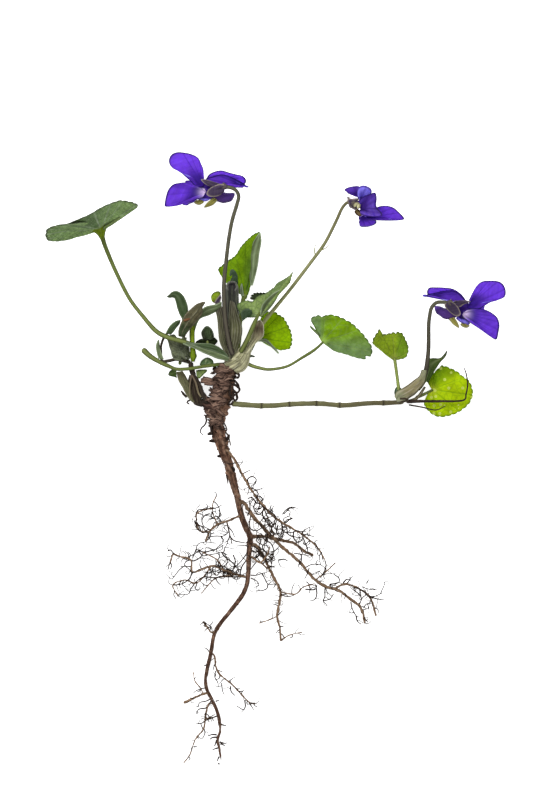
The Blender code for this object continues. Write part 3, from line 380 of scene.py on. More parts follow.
@cache
def streak_effect() -> bpy.types.NodeTree:
    """Makes the long streaks that run along a piece's own map.

    Returns:
        The node group, which is made once and shared.
    """
    inputs = {"Vector": VECTOR, "Across": NUMBER, "Along": NUMBER}
    wiring, given = new_group("streaks", inputs, {"Mask": NUMBER})
    parts = wiring.node("ShaderNodeSeparateXYZ", {0: given["Vector"]})
    across = wiring.times(parts.outputs["X"], given["Across"])
    along = wiring.times(parts.outputs["Y"], given["Along"])
    spot = wiring.node("ShaderNodeCombineXYZ", {"X": across, "Y": along})
    cloud = wiring.node(
        "ShaderNodeTexNoise",
        {
            "Vector": spot.outputs[0],
            "Scale": 1.0,
            "Detail": STREAK_DETAIL,
            "Roughness": STREAK_ROUGHNESS,
        },
    )
    mask = wiring.span(cloud.outputs["Fac"], STREAK_LOW, STREAK_HIGH)
    wiring.node("NodeGroupOutput", {"Mask": mask})
    return wiring.tree


@cache
def net_effect() -> bpy.types.NodeTree:
    """Makes the fine net of veins between the larger ones.

    Returns:
        The node group, which is made once and shared.
    """
    inputs = {"Vector": VECTOR, "Scale": NUMBER, "Width": NUMBER}
    wiring, given = new_group("net", inputs, {"Mask": NUMBER})
    cells = wiring.node(
        "ShaderNodeTexVoronoi",
        {"Vector": given["Vector"], "Scale": given["Scale"]},
        feature="DISTANCE_TO_EDGE",
        voronoi_dimensions="2D",
    )
    share = wiring.maths("DIVIDE", cells.outputs["Distance"], given["Width"])
    mask = wiring.maths("SUBTRACT", 1.0, wiring.maths("MINIMUM", share, 1.0))
    wiring.node("NodeGroupOutput", {"Mask": mask})
    return wiring.tree


@dataclass(frozen=True)
class Finish:
    """The look of one kind of skin or bark, made from nodes when it is first needed."""

    name: str

    def shader(self, wiring: Wiring) -> bpy.types.NodeSocket:
        """Wires the finish and gives the socket of its shader."""
        raise NotImplementedError

    def material(self) -> bpy.types.Material:
        """Makes the finish's material, or gives the one that was made before.

        Returns:
            The material.
        """
        if self.name in bpy.data.materials:
            return bpy.data.materials[self.name]
        made = bpy.data.materials.new(self.name)
        made.use_nodes = True
        made.node_tree.nodes.clear()
        wiring = Wiring(made.node_tree)
        wiring.node("ShaderNodeOutputMaterial", {"Surface": self.shader(wiring)})
        return made


@dataclass(frozen=True)
class SkinFinish(Finish):
    """The living skin of a leaf, petal, sheath or stalk, which lets some light through.

    The colours are linear red, green and blue. The vein, edge, patch and tone colours show
    where the mesh has those marks, and the streak colour runs along the piece. A share is how
    much of a colour shows, and a height is how far its marks stand up in the relief.
    """

    colour: Colour
    vein: Colour
    patch: Colour
    edge: Colour
    tone: Colour | None = None
    streak: Colour | None = None
    net: Colour | None = None
    specks: Colour | None = None
    vein_share: float = 0.8
    vein_height: float = 0.6
    edge_share: float = 0.8
    tone_share: float = 0.88
    streak_share: float = 0.5
    streak_height: float = 0.5
    streak_across: float = 26.0
    streak_along: float = 2.0
    net_share: float = 0.35
    net_height: float = 0.35
    net_scale: float = 9.0
    net_width: float = 0.16
    speck_share: float = 0.7
    speck_scale: float = 620.0
    speck_size: float = 0.24
    mottle: float = 0.14
    mottle_scale: float = 420.0
    # How much painted shade darkens the sides that face neither up nor down.
    side_shade: float = 0.25
    roughness: float = 0.55
    specular: float = 0.06
    glow: float = 0.3
    glow_gain: float = 1.5
    relief: float = 0.12
    relief_gain: float = 5.0

    def layers(
        self, wiring: Wiring, chart: bpy.types.NodeSocket, place: bpy.types.NodeSocket
    ) -> tuple[object, object]:
        """Lays the streaks, veins and the other marks over the ground colour.

        Args:
            wiring: The wiring of the material.
            chart: The piece's own flat map.
            place: The place on the piece.

        Returns:
            The sockets of the colour and of the relief's height.
        """
        colour: object = self.colour
        height = wiring.times(wiring.mark("vein"), self.vein_height)
        if self.streak is not None:
            inputs = {"Vector": chart, "Across": self.streak_across, "Along": self.streak_along}
            mask = wiring.effect(streak_effect(), inputs)
            colour = wiring.mix(wiring.times(mask, self.streak_share), colour, self.streak)
            height = wiring.maths("ADD", height, wiring.times(mask, self.streak_height))
        if self.tone is not None:
            share = wiring.times(wiring.mark("tone"), self.tone_share)
            colour = wiring.mix(share, colour, self.tone)
        if self.net is not None:
            inputs = {"Vector": chart, "Scale": self.net_scale, "Width": self.net_width}
            mask = wiring.effect(net_effect(), inputs)
            colour = wiring.mix(wiring.times(mask, self.net_share), colour, self.net)
            height = wiring.maths("ADD", height, wiring.times(mask, self.net_height))
        vein = wiring.times(wiring.mark("vein"), self.vein_share)
        colour = wiring.mix(vein, colour, self.vein)
        colour = wiring.mix(wiring.mark("patch"), colour, self.patch)
        edge = wiring.times(wiring.mark("edge"), self.edge_share)
        colour = wiring.mix(edge, colour, self.edge)
        if self.specks is not None:
            dots = wiring.node(
                "ShaderNodeTexVoronoi", {"Vector": place, "Scale": self.speck_scale}
            )
            near = wiring.maths("LESS_THAN", dots.outputs["Distance"], self.speck_size)
            colour = wiring.mix(wiring.times(near, self.speck_share), colour, self.specks)
        return colour, height

    def shader(self, wiring: Wiring) -> bpy.types.NodeSocket:
        """Wires the skin and the light that comes through it.

        Args:
            wiring: The wiring of the material.

        Returns:
            The socket of the finished shader.
        """
        spots = wiring.node("ShaderNodeTexCoord").outputs
        colour, height = self.layers(wiring, spots["UV"], spots["Object"])
        inputs = {
            "Vector": spots["Object"],
            "Scale": self.mottle_scale,
            "Amount": self.mottle,
            "Colour": colour,
        }
        # Painted shade on the sides that face neither up nor down.
        colour = wiring.paint_side_shade(wiring.effect(mottle_effect(), inputs), self.side_shade)
        strength = self.relief * self.relief_gain
        bump = wiring.node(
            "ShaderNodeBump",
            {"Height": height, "Strength": strength, "Distance": self.relief * MM},
        )
        skin = wiring.node(
            "ShaderNodeBsdfPrincipled",
            {
                "Base Color": colour,
                "Roughness": self.roughness,
                "Specular IOR Level": self.specular,
                "Normal": bump.outputs["Normal"],
            },
        )
        lit = wiring.scaled(colour, self.glow_gain)
        through = wiring.node("ShaderNodeBsdfTranslucent", {"Color": lit})
        both = wiring.node(
            "ShaderNodeMixShader",
            {0: self.glow, 1: skin.outputs[0], 2: through.outputs[0]},
        )
        return both.outputs[0]


@dataclass(frozen=True)
class BarkFinish(Finish):
    """Root bark and dead scales: dull, fibrous, and darker in its hollows.

    The patch mark picks between the dark and the light colour, from one flake to the next, and
    pale crumbs show where the cloud is thick.
    """

    dark: Colour
    light: Colour
    pale: Colour
    patch_share: float = 0.0
    pale_share: float = 0.35
    crumbs: tuple[float, float] = (0.5, 0.68)
    across: float = 22.0
    along: float = 3.0
    spots_scale: float = 900.0
    mottle: float = 0.3
    mottle_share: float = 0.45
    # How much painted shade darkens the sides that face neither up nor down.
    side_shade: float = 0.65
    roughness: float = 0.85
    specular: float = 0.1
    relief: float = 0.25
    relief_strength: float = 0.8

    def shader(self, wiring: Wiring) -> bpy.types.NodeSocket:
        """Wires the bark.

        Args:
            wiring: The wiring of the material.

        Returns:
            The socket of the finished shader.
        """
        spots = wiring.node("ShaderNodeTexCoord").outputs
        inputs = {"Vector": spots["UV"], "Across": self.across, "Along": self.along}
        fibres = wiring.effect(streak_effect(), inputs)
        cloud = wiring.node(
            "ShaderNodeTexNoise",
            {"Vector": spots["Object"], "Scale": self.spots_scale, "Detail": CLOUD_DETAIL},
        ).outputs["Fac"]
        patch = wiring.times(wiring.mark("patch"), self.patch_share)
        own = wiring.times(fibres, 1 - self.patch_share)
        colour = wiring.mix(wiring.maths("ADD", patch, own), self.dark, self.light)
        crumbs = wiring.times(wiring.span(cloud, *self.crumbs), self.pale_share)
        colour = wiring.mix(crumbs, colour, self.pale)
        inputs = {
            "Vector": spots["Object"],
            "Scale": self.spots_scale * self.mottle_share,
            "Amount": self.mottle,
            "Colour": colour,
        }
        # Painted shade on the sides that face neither up nor down.
        colour = wiring.paint_side_shade(wiring.effect(mottle_effect(), inputs), self.side_shade)
        bump = wiring.node(
            "ShaderNodeBump",
            {
                "Height": wiring.maths("ADD", fibres, cloud),
                "Strength": self.relief_strength,
                "Distance": self.relief * MM,
            },
        )
        bark = wiring.node(
            "ShaderNodeBsdfPrincipled",
            {
                "Base Color": colour,
                "Roughness": self.roughness,
                "Specular IOR Level": self.specular,
                "Normal": bump.outputs["Normal"],
            },
        )
        return bark.outputs[0]


LEAF_BRIGHT = SkinFinish(
    "leaf_bright",
    colour=(0.174, 0.314, 0.002), vein=(0.2, 0.33, 0.03), patch=(0.28, 0.4, 0.03),
    edge=(0.03, 0.07, 0.01), tone=(0.055, 0.12, 0.03), net=(0.09, 0.198, 0.002), net_share=0.55,
    mottle=0.34,
)  # fmt: skip
LEAF_LIME = SkinFinish(
    "leaf_lime",
    colour=(0.175, 0.31, 0.002), vein=(0.28, 0.4, 0.12), patch=(0.25, 0.36, 0.08),
    edge=(0.03, 0.06, 0.02), tone=(0.15, 0.235, 0.1), net=(0.11, 0.22, 0.01), net_share=0.4,
    mottle=0.34,
)  # fmt: skip
LEAF_GOLDEN = SkinFinish(
    "leaf_golden",
    colour=(0.5, 0.66, 0.003), vein=(0.26, 0.42, 0.01), patch=(0.5, 0.55, 0.04),
    edge=(0.1, 0.2, 0.01), tone=(0.12, 0.26, 0.001), net=(0.3, 0.48, 0.003), net_share=0.55,
    net_scale=7.0, specks=(0.75, 0.82, 0.2), mottle=0.24, glow=0.4,
)  # fmt: skip
LEAF_OLIVE = SkinFinish(
    "leaf_olive",
    colour=(0.253, 0.366, 0.013), vein=(0.3, 0.37, 0.06), patch=(0.26, 0.3, 0.05),
    edge=(0.06, 0.08, 0.02), tone=(0.14, 0.27, 0.01), net=(0.12, 0.18, 0.01), net_share=0.5,
    mottle=0.24,
)  # fmt: skip
LEAF_DEEP = SkinFinish(
    "leaf_deep",
    colour=(0.06, 0.1, 0.02), vein=(0.17, 0.22, 0.09), patch=(0.14, 0.19, 0.06),
    edge=(0.025, 0.045, 0.015), tone=(0.06, 0.04, 0.02), net=(0.035, 0.06, 0.015),
    net_share=0.5, mottle=0.22, glow=0.1,
)  # fmt: skip
LEAF_UNDER = SkinFinish(
    "leaf_under",
    colour=(0.218, 0.308, 0.09), vein=(0.391, 0.459, 0.25), patch=(0.24, 0.31, 0.12),
    edge=(0.05, 0.08, 0.03), tone=(0.05, 0.1, 0.045), net=(0.11, 0.17, 0.05),
    net_share=0.5, mottle=0.22, roughness=0.7, glow=0.15, relief=0.25,
)  # fmt: skip
# Its tone colour is painted shade: it darkens leaf_left where the rims' tones are set, above and
# along the lobe.
LEAF_UNDER_GREEN = SkinFinish(
    "leaf_under_green",
    colour=(0.33, 0.5, 0.17), vein=(0.42, 0.52, 0.34), patch=(0.26, 0.37, 0.06),
    edge=(0.05, 0.055, 0.04), net=(0.1, 0.175, 0.05), net_share=0.75, vein_share=0.9,
    net_scale=11.0, tone=(0.085, 0.15, 0.05), streak=(0.12, 0.21, 0.06), streak_across=15.0,
    streak_share=0.7, mottle=0.3, roughness=0.7, glow=0.15, relief=0.25,
)  # fmt: skip
LEAF_GREY = SkinFinish(
    "leaf_grey",
    colour=(0.125, 0.16, 0.072), vein=(0.24, 0.31, 0.17), patch=(0.1, 0.14, 0.06),
    edge=(0.32, 0.39, 0.25), tone=(0.081, 0.11, 0.057), streak=(0.045, 0.065, 0.03),
    streak_across=16.0, mottle=0.24, roughness=0.7, glow=0.1, relief=0.2,
)  # fmt: skip
# A leaf's underside darkened as it lies in deep shade: painted shade.
LEAF_TEAL_SHADE = SkinFinish(
    "leaf_teal_shade",
    colour=(0.022, 0.042, 0.018), vein=(0.12, 0.18, 0.12), patch=(0.05, 0.08, 0.04),
    edge=(0.07, 0.1, 0.06), streak=(0.06, 0.09, 0.05), streak_across=12.0, glow=0.05,
)  # fmt: skip
LEAF_NIGHT = SkinFinish(
    "leaf_night",
    colour=(0.016, 0.024, 0.008), vein=(0.03, 0.05, 0.015), patch=(0.03, 0.02, 0.02),
    edge=(0.01, 0.012, 0.006), streak=(0.03, 0.045, 0.015), glow=0.0,
)  # fmt: skip
# The four stalk finishes below: their vein colour is the painted highlight along the upper side
# of a stalk.
STALK_LIME = SkinFinish(
    "stalk_lime",
    colour=(0.19, 0.25, 0.05), vein=(0.32, 0.38, 0.12), patch=(0.2, 0.25, 0.06),
    edge=(0.1, 0.13, 0.03), streak=(0.11, 0.16, 0.03), mottle=0.15, side_shade=0.5, glow=0.1,
)  # fmt: skip
STALK_GREEN = SkinFinish(
    "stalk_green",
    colour=(0.06, 0.07, 0.02), vein=(0.22, 0.26, 0.08), patch=(0.1, 0.13, 0.03),
    edge=(0.1, 0.13, 0.03), streak=(0.09, 0.11, 0.03), mottle=0.15, side_shade=0.6, glow=0.0,
)  # fmt: skip
STALK_DUSKY = SkinFinish(
    "stalk_dusky",
    colour=(0.032, 0.022, 0.022), vein=(0.1, 0.09, 0.065), patch=(0.09, 0.088, 0.055),
    edge=(0.1, 0.13, 0.03), streak=(0.064, 0.048, 0.041), mottle=0.15, side_shade=0.6, glow=0.0,
)  # fmt: skip
STALK_TAN = SkinFinish(
    "stalk_tan",
    colour=(0.31, 0.33, 0.1), vein=(0.36, 0.38, 0.2), patch=(0.13, 0.12, 0.06),
    edge=(0.1, 0.13, 0.03), streak=(0.36, 0.38, 0.17), mottle=0.15, side_shade=0.6, glow=0.0,
)  # fmt: skip
LEAF_SUNNY = SkinFinish(
    "leaf_sunny",
    colour=(0.33, 0.54, 0.001), vein=(0.16, 0.3, 0.01), patch=(0.16, 0.3, 0.02),
    edge=(0.04, 0.1, 0.01), net=(0.2, 0.37, 0.001), net_share=0.55, mottle=0.18, glow=0.4,
)  # fmt: skip
DOWNY_GREEN = SkinFinish(
    "downy_green",
    colour=(0.143, 0.161, 0.091), vein=(0.17, 0.19, 0.13), patch=(0.1, 0.13, 0.03),
    edge=(0.2, 0.22, 0.15), tone=(0.053, 0.063, 0.035), net=(0.255, 0.266, 0.182),
    net_share=0.5, net_scale=14.0, mottle=0.4, roughness=0.8, glow=0.1, relief=0.3,
)  # fmt: skip
SHOOT_PALE = SkinFinish(
    "shoot_pale",
    colour=(0.12, 0.085, 0.06), vein=(0.26, 0.2, 0.14), patch=(0.2, 0.17, 0.1),
    edge=(0.1, 0.08, 0.05), mottle=0.2, side_shade=0.6, glow=0.0,
)  # fmt: skip
SHEATH_TAN = SkinFinish(
    "sheath_tan",
    colour=(0.26, 0.23, 0.12), vein=(0.34, 0.3, 0.22), patch=(0.2, 0.22, 0.09),
    edge=(0.07, 0.06, 0.03), tone=(0.24, 0.27, 0.16), streak=(0.13, 0.11, 0.06),
    streak_across=30.0, mottle=0.2, side_shade=0.5, glow=0.1,
)  # fmt: skip
RUST = SkinFinish(
    "rust",
    colour=(0.3, 0.13, 0.04), vein=(0.2, 0.08, 0.03), patch=(0.2, 0.08, 0.03),
    edge=(0.1, 0.05, 0.03), mottle=0.4, glow=0.0,
)  # fmt: skip
PETAL_MAUVE = SkinFinish(
    "petal_mauve",
    colour=(0.1, 0.045, 0.46), vein=(0.05, 0.014, 0.2), patch=(0.3, 0.24, 0.6),
    edge=(0.02, 0.006, 0.1), tone=(0.02, 0.006, 0.14), streak=(0.19, 0.1, 0.52),
    streak_across=14.0, streak_share=0.7, vein_share=0.5, mottle=0.24, roughness=0.6,
    glow=0.15, relief=0.2,
)  # fmt: skip
CREAM = SkinFinish(
    "cream",
    colour=(0.5, 0.49, 0.27), vein=(0.3, 0.26, 0.14), patch=(0.5, 0.4, 0.2),
    edge=(0.2, 0.17, 0.12), mottle=0.3, glow=0.1,
)  # fmt: skip
OLIVE_SEPAL = SkinFinish(
    "olive_sepal",
    colour=(0.15, 0.1, 0.045), vein=(0.24, 0.18, 0.08), patch=(0.1, 0.06, 0.03),
    edge=(0.06, 0.03, 0.02), mottle=0.3, glow=0.1,
)  # fmt: skip
PETAL_DEEP = SkinFinish(
    "petal_deep",
    colour=(0.125, 0.032, 0.56), vein=(0.05, 0.012, 0.28), patch=(0.85, 0.68, 0.95),
    edge=(0.006, 0.002, 0.05), tone=(0.014, 0.005, 0.14), streak=(0.17, 0.06, 0.66),
    streak_across=16.0, streak_share=0.6, vein_share=0.45, edge_share=0.9, mottle=0.2,
    roughness=0.6, glow=0.16,
)  # fmt: skip
# The petal colour darkened for petal pieces in shade, such as the throat and the hidden petal's
# back: painted shade.
PETAL_SHADE = SkinFinish(
    "petal_shade",
    colour=(0.1, 0.036, 0.42), vein=(0.02, 0.005, 0.1), patch=(0.3, 0.24, 0.6),
    edge=(0.02, 0.006, 0.1), tone=(0.03, 0.009, 0.16), streak=(0.14, 0.065, 0.48),
    streak_across=8.0, vein_share=0.6, mottle=0.24, roughness=0.6, glow=0.12,
)  # fmt: skip
PETAL_LIGHT = SkinFinish(
    "petal_light",
    colour=(0.25, 0.2, 0.84), vein=(0.07, 0.04, 0.36), patch=(0.4, 0.34, 0.7),
    edge=(0.04, 0.015, 0.2), tone=(0.05, 0.025, 0.36), streak=(0.34, 0.3, 0.95),
    streak_across=12.0, vein_share=0.5, mottle=0.2, roughness=0.6, glow=0.2,
)  # fmt: skip
SPUR_PLUM = SkinFinish(
    "spur_plum",
    colour=(0.052, 0.022, 0.1), vein=(0.03, 0.01, 0.06), patch=(0.09, 0.04, 0.26),
    edge=(0.04, 0.015, 0.1), streak=(0.08, 0.036, 0.14), mottle=0.2, side_shade=0.8, glow=0.1,
    roughness=0.5,
)  # fmt: skip
SEPAL_PLUM = SkinFinish(
    "sepal_plum",
    colour=(0.036, 0.022, 0.054), vein=(0.06, 0.045, 0.07), patch=(0.14, 0.12, 0.08),
    edge=(0.3, 0.25, 0.2), streak=(0.07, 0.055, 0.085), edge_share=0.7, mottle=0.2,
    side_shade=0.4, glow=0.0,
)  # fmt: skip
SEPAL_GREEN = SkinFinish(
    "sepal_green",
    colour=(0.27, 0.24, 0.05), vein=(0.1, 0.1, 0.03), patch=(0.07, 0.05, 0.05),
    edge=(0.3, 0.28, 0.14), streak=(0.28, 0.27, 0.1), streak_across=18.0, glow=0.2,
)  # fmt: skip
STYLE_ORANGE = SkinFinish(
    "style_orange",
    colour=(0.6, 0.24, 0.03), vein=(0.5, 0.2, 0.03), patch=(0.6, 0.3, 0.05),
    edge=(0.5, 0.2, 0.03), glow=0.1,
)  # fmt: skip
SHEATH_PAPER = SkinFinish(
    "sheath_paper",
    colour=(0.12, 0.125, 0.055), vein=(0.32, 0.31, 0.22), patch=(0.09, 0.07, 0.05),
    edge=(0.3, 0.3, 0.2), tone=(0.06, 0.045, 0.04), streak=(0.04, 0.04, 0.022),
    streak_share=0.7, roughness=0.7, mottle=0.4, mottle_scale=260.0,
    streak_across=24.0, glow=0.15, relief=0.2,
)  # fmt: skip
SHEATH_PALE = SkinFinish(
    "sheath_pale",
    colour=(0.6, 0.58, 0.37), vein=(0.2, 0.18, 0.11), patch=(0.25, 0.3, 0.08),
    edge=(0.56, 0.54, 0.38), tone=(0.07, 0.03, 0.02), streak=(0.15, 0.15, 0.06),
    streak_share=0.75, roughness=0.7, streak_across=20.0, mottle=0.3, glow=0.1, relief=0.25,
)  # fmt: skip
SHOOT_BROWN = SkinFinish(
    "shoot_brown",
    colour=(0.18, 0.18, 0.085), vein=(0.15, 0.14, 0.08), patch=(0.11, 0.11, 0.055),
    edge=(0.2, 0.18, 0.1), streak=(0.045, 0.035, 0.025), streak_share=0.75, roughness=0.7,
    glow=0.0, relief=0.25,
)  # fmt: skip
# Its vein colour is also the painted highlight along the rolled young leaf's stalk.
SHOOT_DARK = SkinFinish(
    "shoot_dark",
    colour=(0.026, 0.018, 0.015), vein=(0.09, 0.075, 0.045), patch=(0.05, 0.04, 0.03),
    edge=(0.1, 0.08, 0.05), streak=(0.055, 0.04, 0.027), streak_share=0.6, roughness=0.8,
    glow=0.0, relief=0.25,
)  # fmt: skip
YOUNG_GREEN = SkinFinish(
    "young_green",
    colour=(0.045, 0.075, 0.028), vein=(0.1, 0.14, 0.07), patch=(0.04, 0.05, 0.03),
    edge=(0.16, 0.2, 0.12), tone=(0.03, 0.03, 0.02), streak=(0.08, 0.12, 0.05),
    roughness=0.75, glow=0.1, relief=0.25,
)  # fmt: skip
YOUNG_DUSK = SkinFinish(
    "young_dusk",
    colour=(0.075, 0.085, 0.055), vein=(0.14, 0.15, 0.11), patch=(0.04, 0.035, 0.05),
    edge=(0.2, 0.2, 0.17), tone=(0.03, 0.026, 0.034), streak=(0.035, 0.035, 0.026),
    streak_share=0.8, roughness=0.75, glow=0.05, relief=0.25,
)  # fmt: skip
DOWNY_BROWN = SkinFinish(
    "downy_brown",
    colour=(0.1, 0.09, 0.047), vein=(0.2, 0.19, 0.12), patch=(0.05, 0.03, 0.02),
    edge=(0.16, 0.13, 0.09), tone=(0.03, 0.05, 0.02), streak=(0.07, 0.065, 0.04),
    roughness=0.85, mottle=0.4, mottle_scale=900.0, glow=0.05, relief=0.3,
)  # fmt: skip
RUNNER_OLIVE = SkinFinish(
    "runner_olive",
    colour=(0.14, 0.145, 0.064), vein=(0.16, 0.16, 0.09), patch=(0.1, 0.085, 0.045),
    edge=(0.03, 0.022, 0.015), streak=(0.22, 0.21, 0.105), streak_across=20.0, edge_share=1.0,
    roughness=0.6, glow=0.0, relief=0.2,
)  # fmt: skip
BARK_RED = BarkFinish(
    "bark_red", dark=(0.07, 0.036, 0.025), light=(0.27, 0.145, 0.092), pale=(0.56, 0.38, 0.27),
    patch_share=0.35, across=30.0,
)  # fmt: skip
SCAR_BROWN = SkinFinish(
    "scar_brown",
    colour=(0.11, 0.06, 0.045), vein=(0.03, 0.016, 0.014), patch=(0.05, 0.03, 0.02),
    edge=(0.016, 0.009, 0.008), tone=(0.42, 0.27, 0.2), streak=(0.068, 0.036, 0.03),
    streak_across=30.0, streak_along=4.0, edge_share=0.75, roughness=0.85, glow=0.0,
    relief=0.3, mottle=0.35,
)  # fmt: skip
BARK_BROWN = BarkFinish(
    "bark_brown", dark=(0.065, 0.038, 0.023), light=(0.3, 0.19, 0.115), pale=(0.5, 0.36, 0.25)
)
ROOTLET_DARK = BarkFinish(
    "rootlet_dark", dark=(0.014, 0.009, 0.008), light=(0.06, 0.04, 0.03),
    pale=(0.15, 0.105, 0.075), pale_share=0.12, side_shade=0.4,
)  # fmt: skip
FLAKE_DARK = BarkFinish(
    "flake_dark", dark=(0.018, 0.009, 0.008), light=(0.15, 0.082, 0.058),
    pale=(0.3, 0.2, 0.15), patch_share=0.85,
)  # fmt: skip


def deselect_all() -> None:
    """Leaves nothing selected, so that an operator acts only on what it is meant for."""
    bpy.ops.object.select_all(action="DESELECT")


def merge_doubles(made: bpy.types.Object) -> None:
    """Merges the points of a mesh that lie on each other, in edit mode.

    Args:
        made: The object of the mesh.
    """
    deselect_all()
    made.select_set(True)
    bpy.context.view_layer.objects.active = made
    bpy.ops.object.mode_set(mode="EDIT")
    bpy.ops.mesh.select_all(action="SELECT")
    bpy.ops.mesh.remove_doubles(threshold=MERGE)
    bpy.ops.object.mode_set(mode="OBJECT")


def joined(name: str, parts: Sequence[bpy.types.Object]) -> bpy.types.Object:
    """Joins meshes into one piece and lays on the surface what would reach below it.

    Args:
        name: The piece's name.
        parts: The meshes.

    Returns:
        The piece.
    """
    deselect_all()
    for part in parts:
        part.select_set(True)
    bpy.context.view_layer.objects.active = parts[0]
    if len(parts) > 1:
        bpy.ops.object.join()
    piece = bpy.context.view_layer.objects.active
    piece.name = name
    piece.data.name = name
    for corner in piece.data.vertices:
        corner.co.z = max(corner.co.z, 0.0)
    return piece


def seat(piece: bpy.types.Object, slot: Slot, *nodes: str) -> None:
    """Tells the frame what a piece rides on and which solids it stands for.

    Args:
        piece: The finished piece.
        slot: Not used.
        *nodes: The solids that it replaces.
    """
    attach(piece, BODY)
    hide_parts(*nodes)
    log.info("%s: %d faces, for %s", piece.name, len(piece.data.polygons), ", ".join(nodes))


class Surface:
    """A skin that is read by two shares, across and along it, and modelled from a grid."""

    columns: int
    rows: int

    def spot(self, across: float, along: float) -> Vector:
        """The place in millimetres at two shares from 0 to 1."""
        raise NotImplementedError

    def chart(self, across: float, along: float) -> tuple[float, float]:
        """Where that place lies on the piece's own flat map."""
        raise NotImplementedError

    def marks(self, across: float, along: float) -> Marks:
        """How much of the vein, edge, patch and second colours shows there."""
        raise NotImplementedError

    def model(self, name: str, finishes: Sequence[Finish], wall: float = 0.0) -> bpy.types.Object:
        """Models the skin: a grid is shaped, its poles are merged, and it gets its wall.

        Args:
            name: The object's name.
            finishes: The finish of the side it faces and, where it differs, of the back.
            wall: The thickness in millimetres, or 0 for a skin that closes on itself.

        Returns:
            The object.
        """
        deselect_all()
        bpy.ops.mesh.primitive_grid_add(
            x_subdivisions=self.columns, y_subdivisions=self.rows, size=2, calc_uvs=True
        )
        made = bpy.context.object
        made.name = name
        mesh = made.data
        shares = [((point.co.x + 1) / 2, (point.co.y + 1) / 2) for point in mesh.vertices]
        for point, share in zip(mesh.vertices, shares):
            point.co = self.spot(*share) * MM
        for corner in mesh.uv_layers.active.data:
            corner.uv = self.chart(*corner.uv)
        for mark, values in zip(MARKS, zip(*(self.marks(*share) for share in shares))):
            attribute = mesh.attributes.new(mark, "FLOAT", "POINT")
            attribute.data.foreach_set("value", values)
        for finish in finishes:
            mesh.materials.append(finish.material())
        merge_doubles(made)
        if wall:
            modifier = made.modifiers.new("wall", "SOLIDIFY")
            modifier.thickness = wall * MM
            modifier.offset = 0.0
            modifier.material_offset = len(finishes) - 1
            bpy.ops.object.modifier_apply(modifier=modifier.name)
        bpy.ops.object.shade_smooth_by_angle(angle=SMOOTH_ANGLE)
        return made


@dataclass
class Stem(Surface):
    """A round stem or root along a smooth line, closed at both ends.

    joints are distances along it. Each swells the stem by joint_swell, within joint_reach to
    both sides, and is coloured within joint_shade. The paler band on the upper side is a painted
    highlight: it starts where the skin's slope is highlight_from and is full at highlight_full.
    """

    points: Sequence[Point]
    radii: Sequence[float]
    columns: int = 12
    spacing: float = 0.4
    rough: float = 0.0
    lump: float = 0.8
    flute: float = 0.0
    flutes: int = 5
    highlight_stripe: float = 0.0
    seed: float = 0.0
    joints: Sequence[float] = ()
    joint_swell: float = 0.16
    joint_reach: float = 0.4
    joint_shade: float = 0.22
    highlight_from: float = 0.72
    highlight_full: float = 0.98
    least_rings: int = 4
    cap_rings: int = 4
    cap_share: float = 0.25
    grain_share: float = 0.5
    grain_scale: float = 2.3

    def __post_init__(self) -> None:
        """Reads the line and works out the rings round it."""
        track = Track(self.points)
        count = max(self.least_rings, round(track.length / self.spacing))
        ends = min(max(self.radii), track.length * self.cap_share)
        steps = range(self.cap_rings)
        alongs = [
            ends * (1 - math.cos(math.pi / 2 * step / self.cap_rings)) for step in steps
        ]
        alongs += [
            ends + (track.length - 2 * ends) * step / count for step in range(count + 1)
        ]
        alongs += [track.length - along for along in reversed(alongs[: self.cap_rings])]
        self.alongs = alongs
        self.length = track.length
        self.rows = len(alongs) - 1
        self.rings = []
        side = None
        for along in alongs:
            spot, heading = track.at(along)
            side = heading.orthogonal() if side is None else side - heading * heading.dot(side)
            side = side.normalized()
            near = min(along, track.length - along)
            cap = math.sqrt(max(0.0, 1 - (1 - min(near / ends, 1.0)) ** 2))
            radius = read_along(self.radii, along / track.length) * cap
            for joint in self.joints:
                swell = math.exp(-(((along - joint) / self.joint_reach) ** 2))
                radius *= 1 + self.joint_swell * swell
            self.rings.append((spot, side, heading.cross(side), radius))

    def spot(self, across: float, along: float) -> Vector:
        """Finds a place on the bark or skin.

        Args:
            across: The share of the way round.
            along: The share of the rings passed.

        Returns:
            The place in millimetres, with the roughness and the flutes.
        """
        centre, side, other, radius = self.rings[round(along * self.rows)]
        angle = math.tau * round(across * self.columns) / self.columns
        out = side * math.cos(angle) + other * math.sin(angle)
        if self.rough:
            where = (centre + out * radius) * self.lump + Vector((self.seed, 0, 0))
            grain = self.grain_share * noise.noise(where * self.grain_scale)
            radius *= 1 + self.rough * (noise.noise(where) + grain)
        if self.flute:
            radius *= 1 + self.flute * math.cos(self.flutes * angle)
        return centre + out * radius

    def chart(self, across: float, along: float) -> tuple[float, float]:
        """Where that place lies on the piece's own flat map."""
        girth = math.tau * max(self.radii)
        return across * girth / CHART_MM, self.alongs[round(along * self.rows)] / CHART_MM

    def marks(self, across: float, along: float) -> Marks:
        """Marks the painted highlight along the top as a vein, the joints as an edge, and the far
        end.

        Args:
            across: The share of the way round.
            along: The share of the rings passed.

        Returns:
            The marks there.
        """
        _, side, other, _ = self.rings[round(along * self.rows)]
        angle = math.tau * across
        up = (side * math.cos(angle) + other * math.sin(angle)).z
        # Painted highlight: a paler band where the skin faces up.
        highlight_stripe = self.highlight_stripe * ramp(up, self.highlight_from, self.highlight_full)
        distance = self.alongs[round(along * self.rows)]
        nearness = [((distance - place) / self.joint_shade) ** 2 for place in self.joints]
        joint = max((math.exp(-near) for near in nearness), default=0.0)
        return highlight_stripe, joint, distance / self.length, 0.0


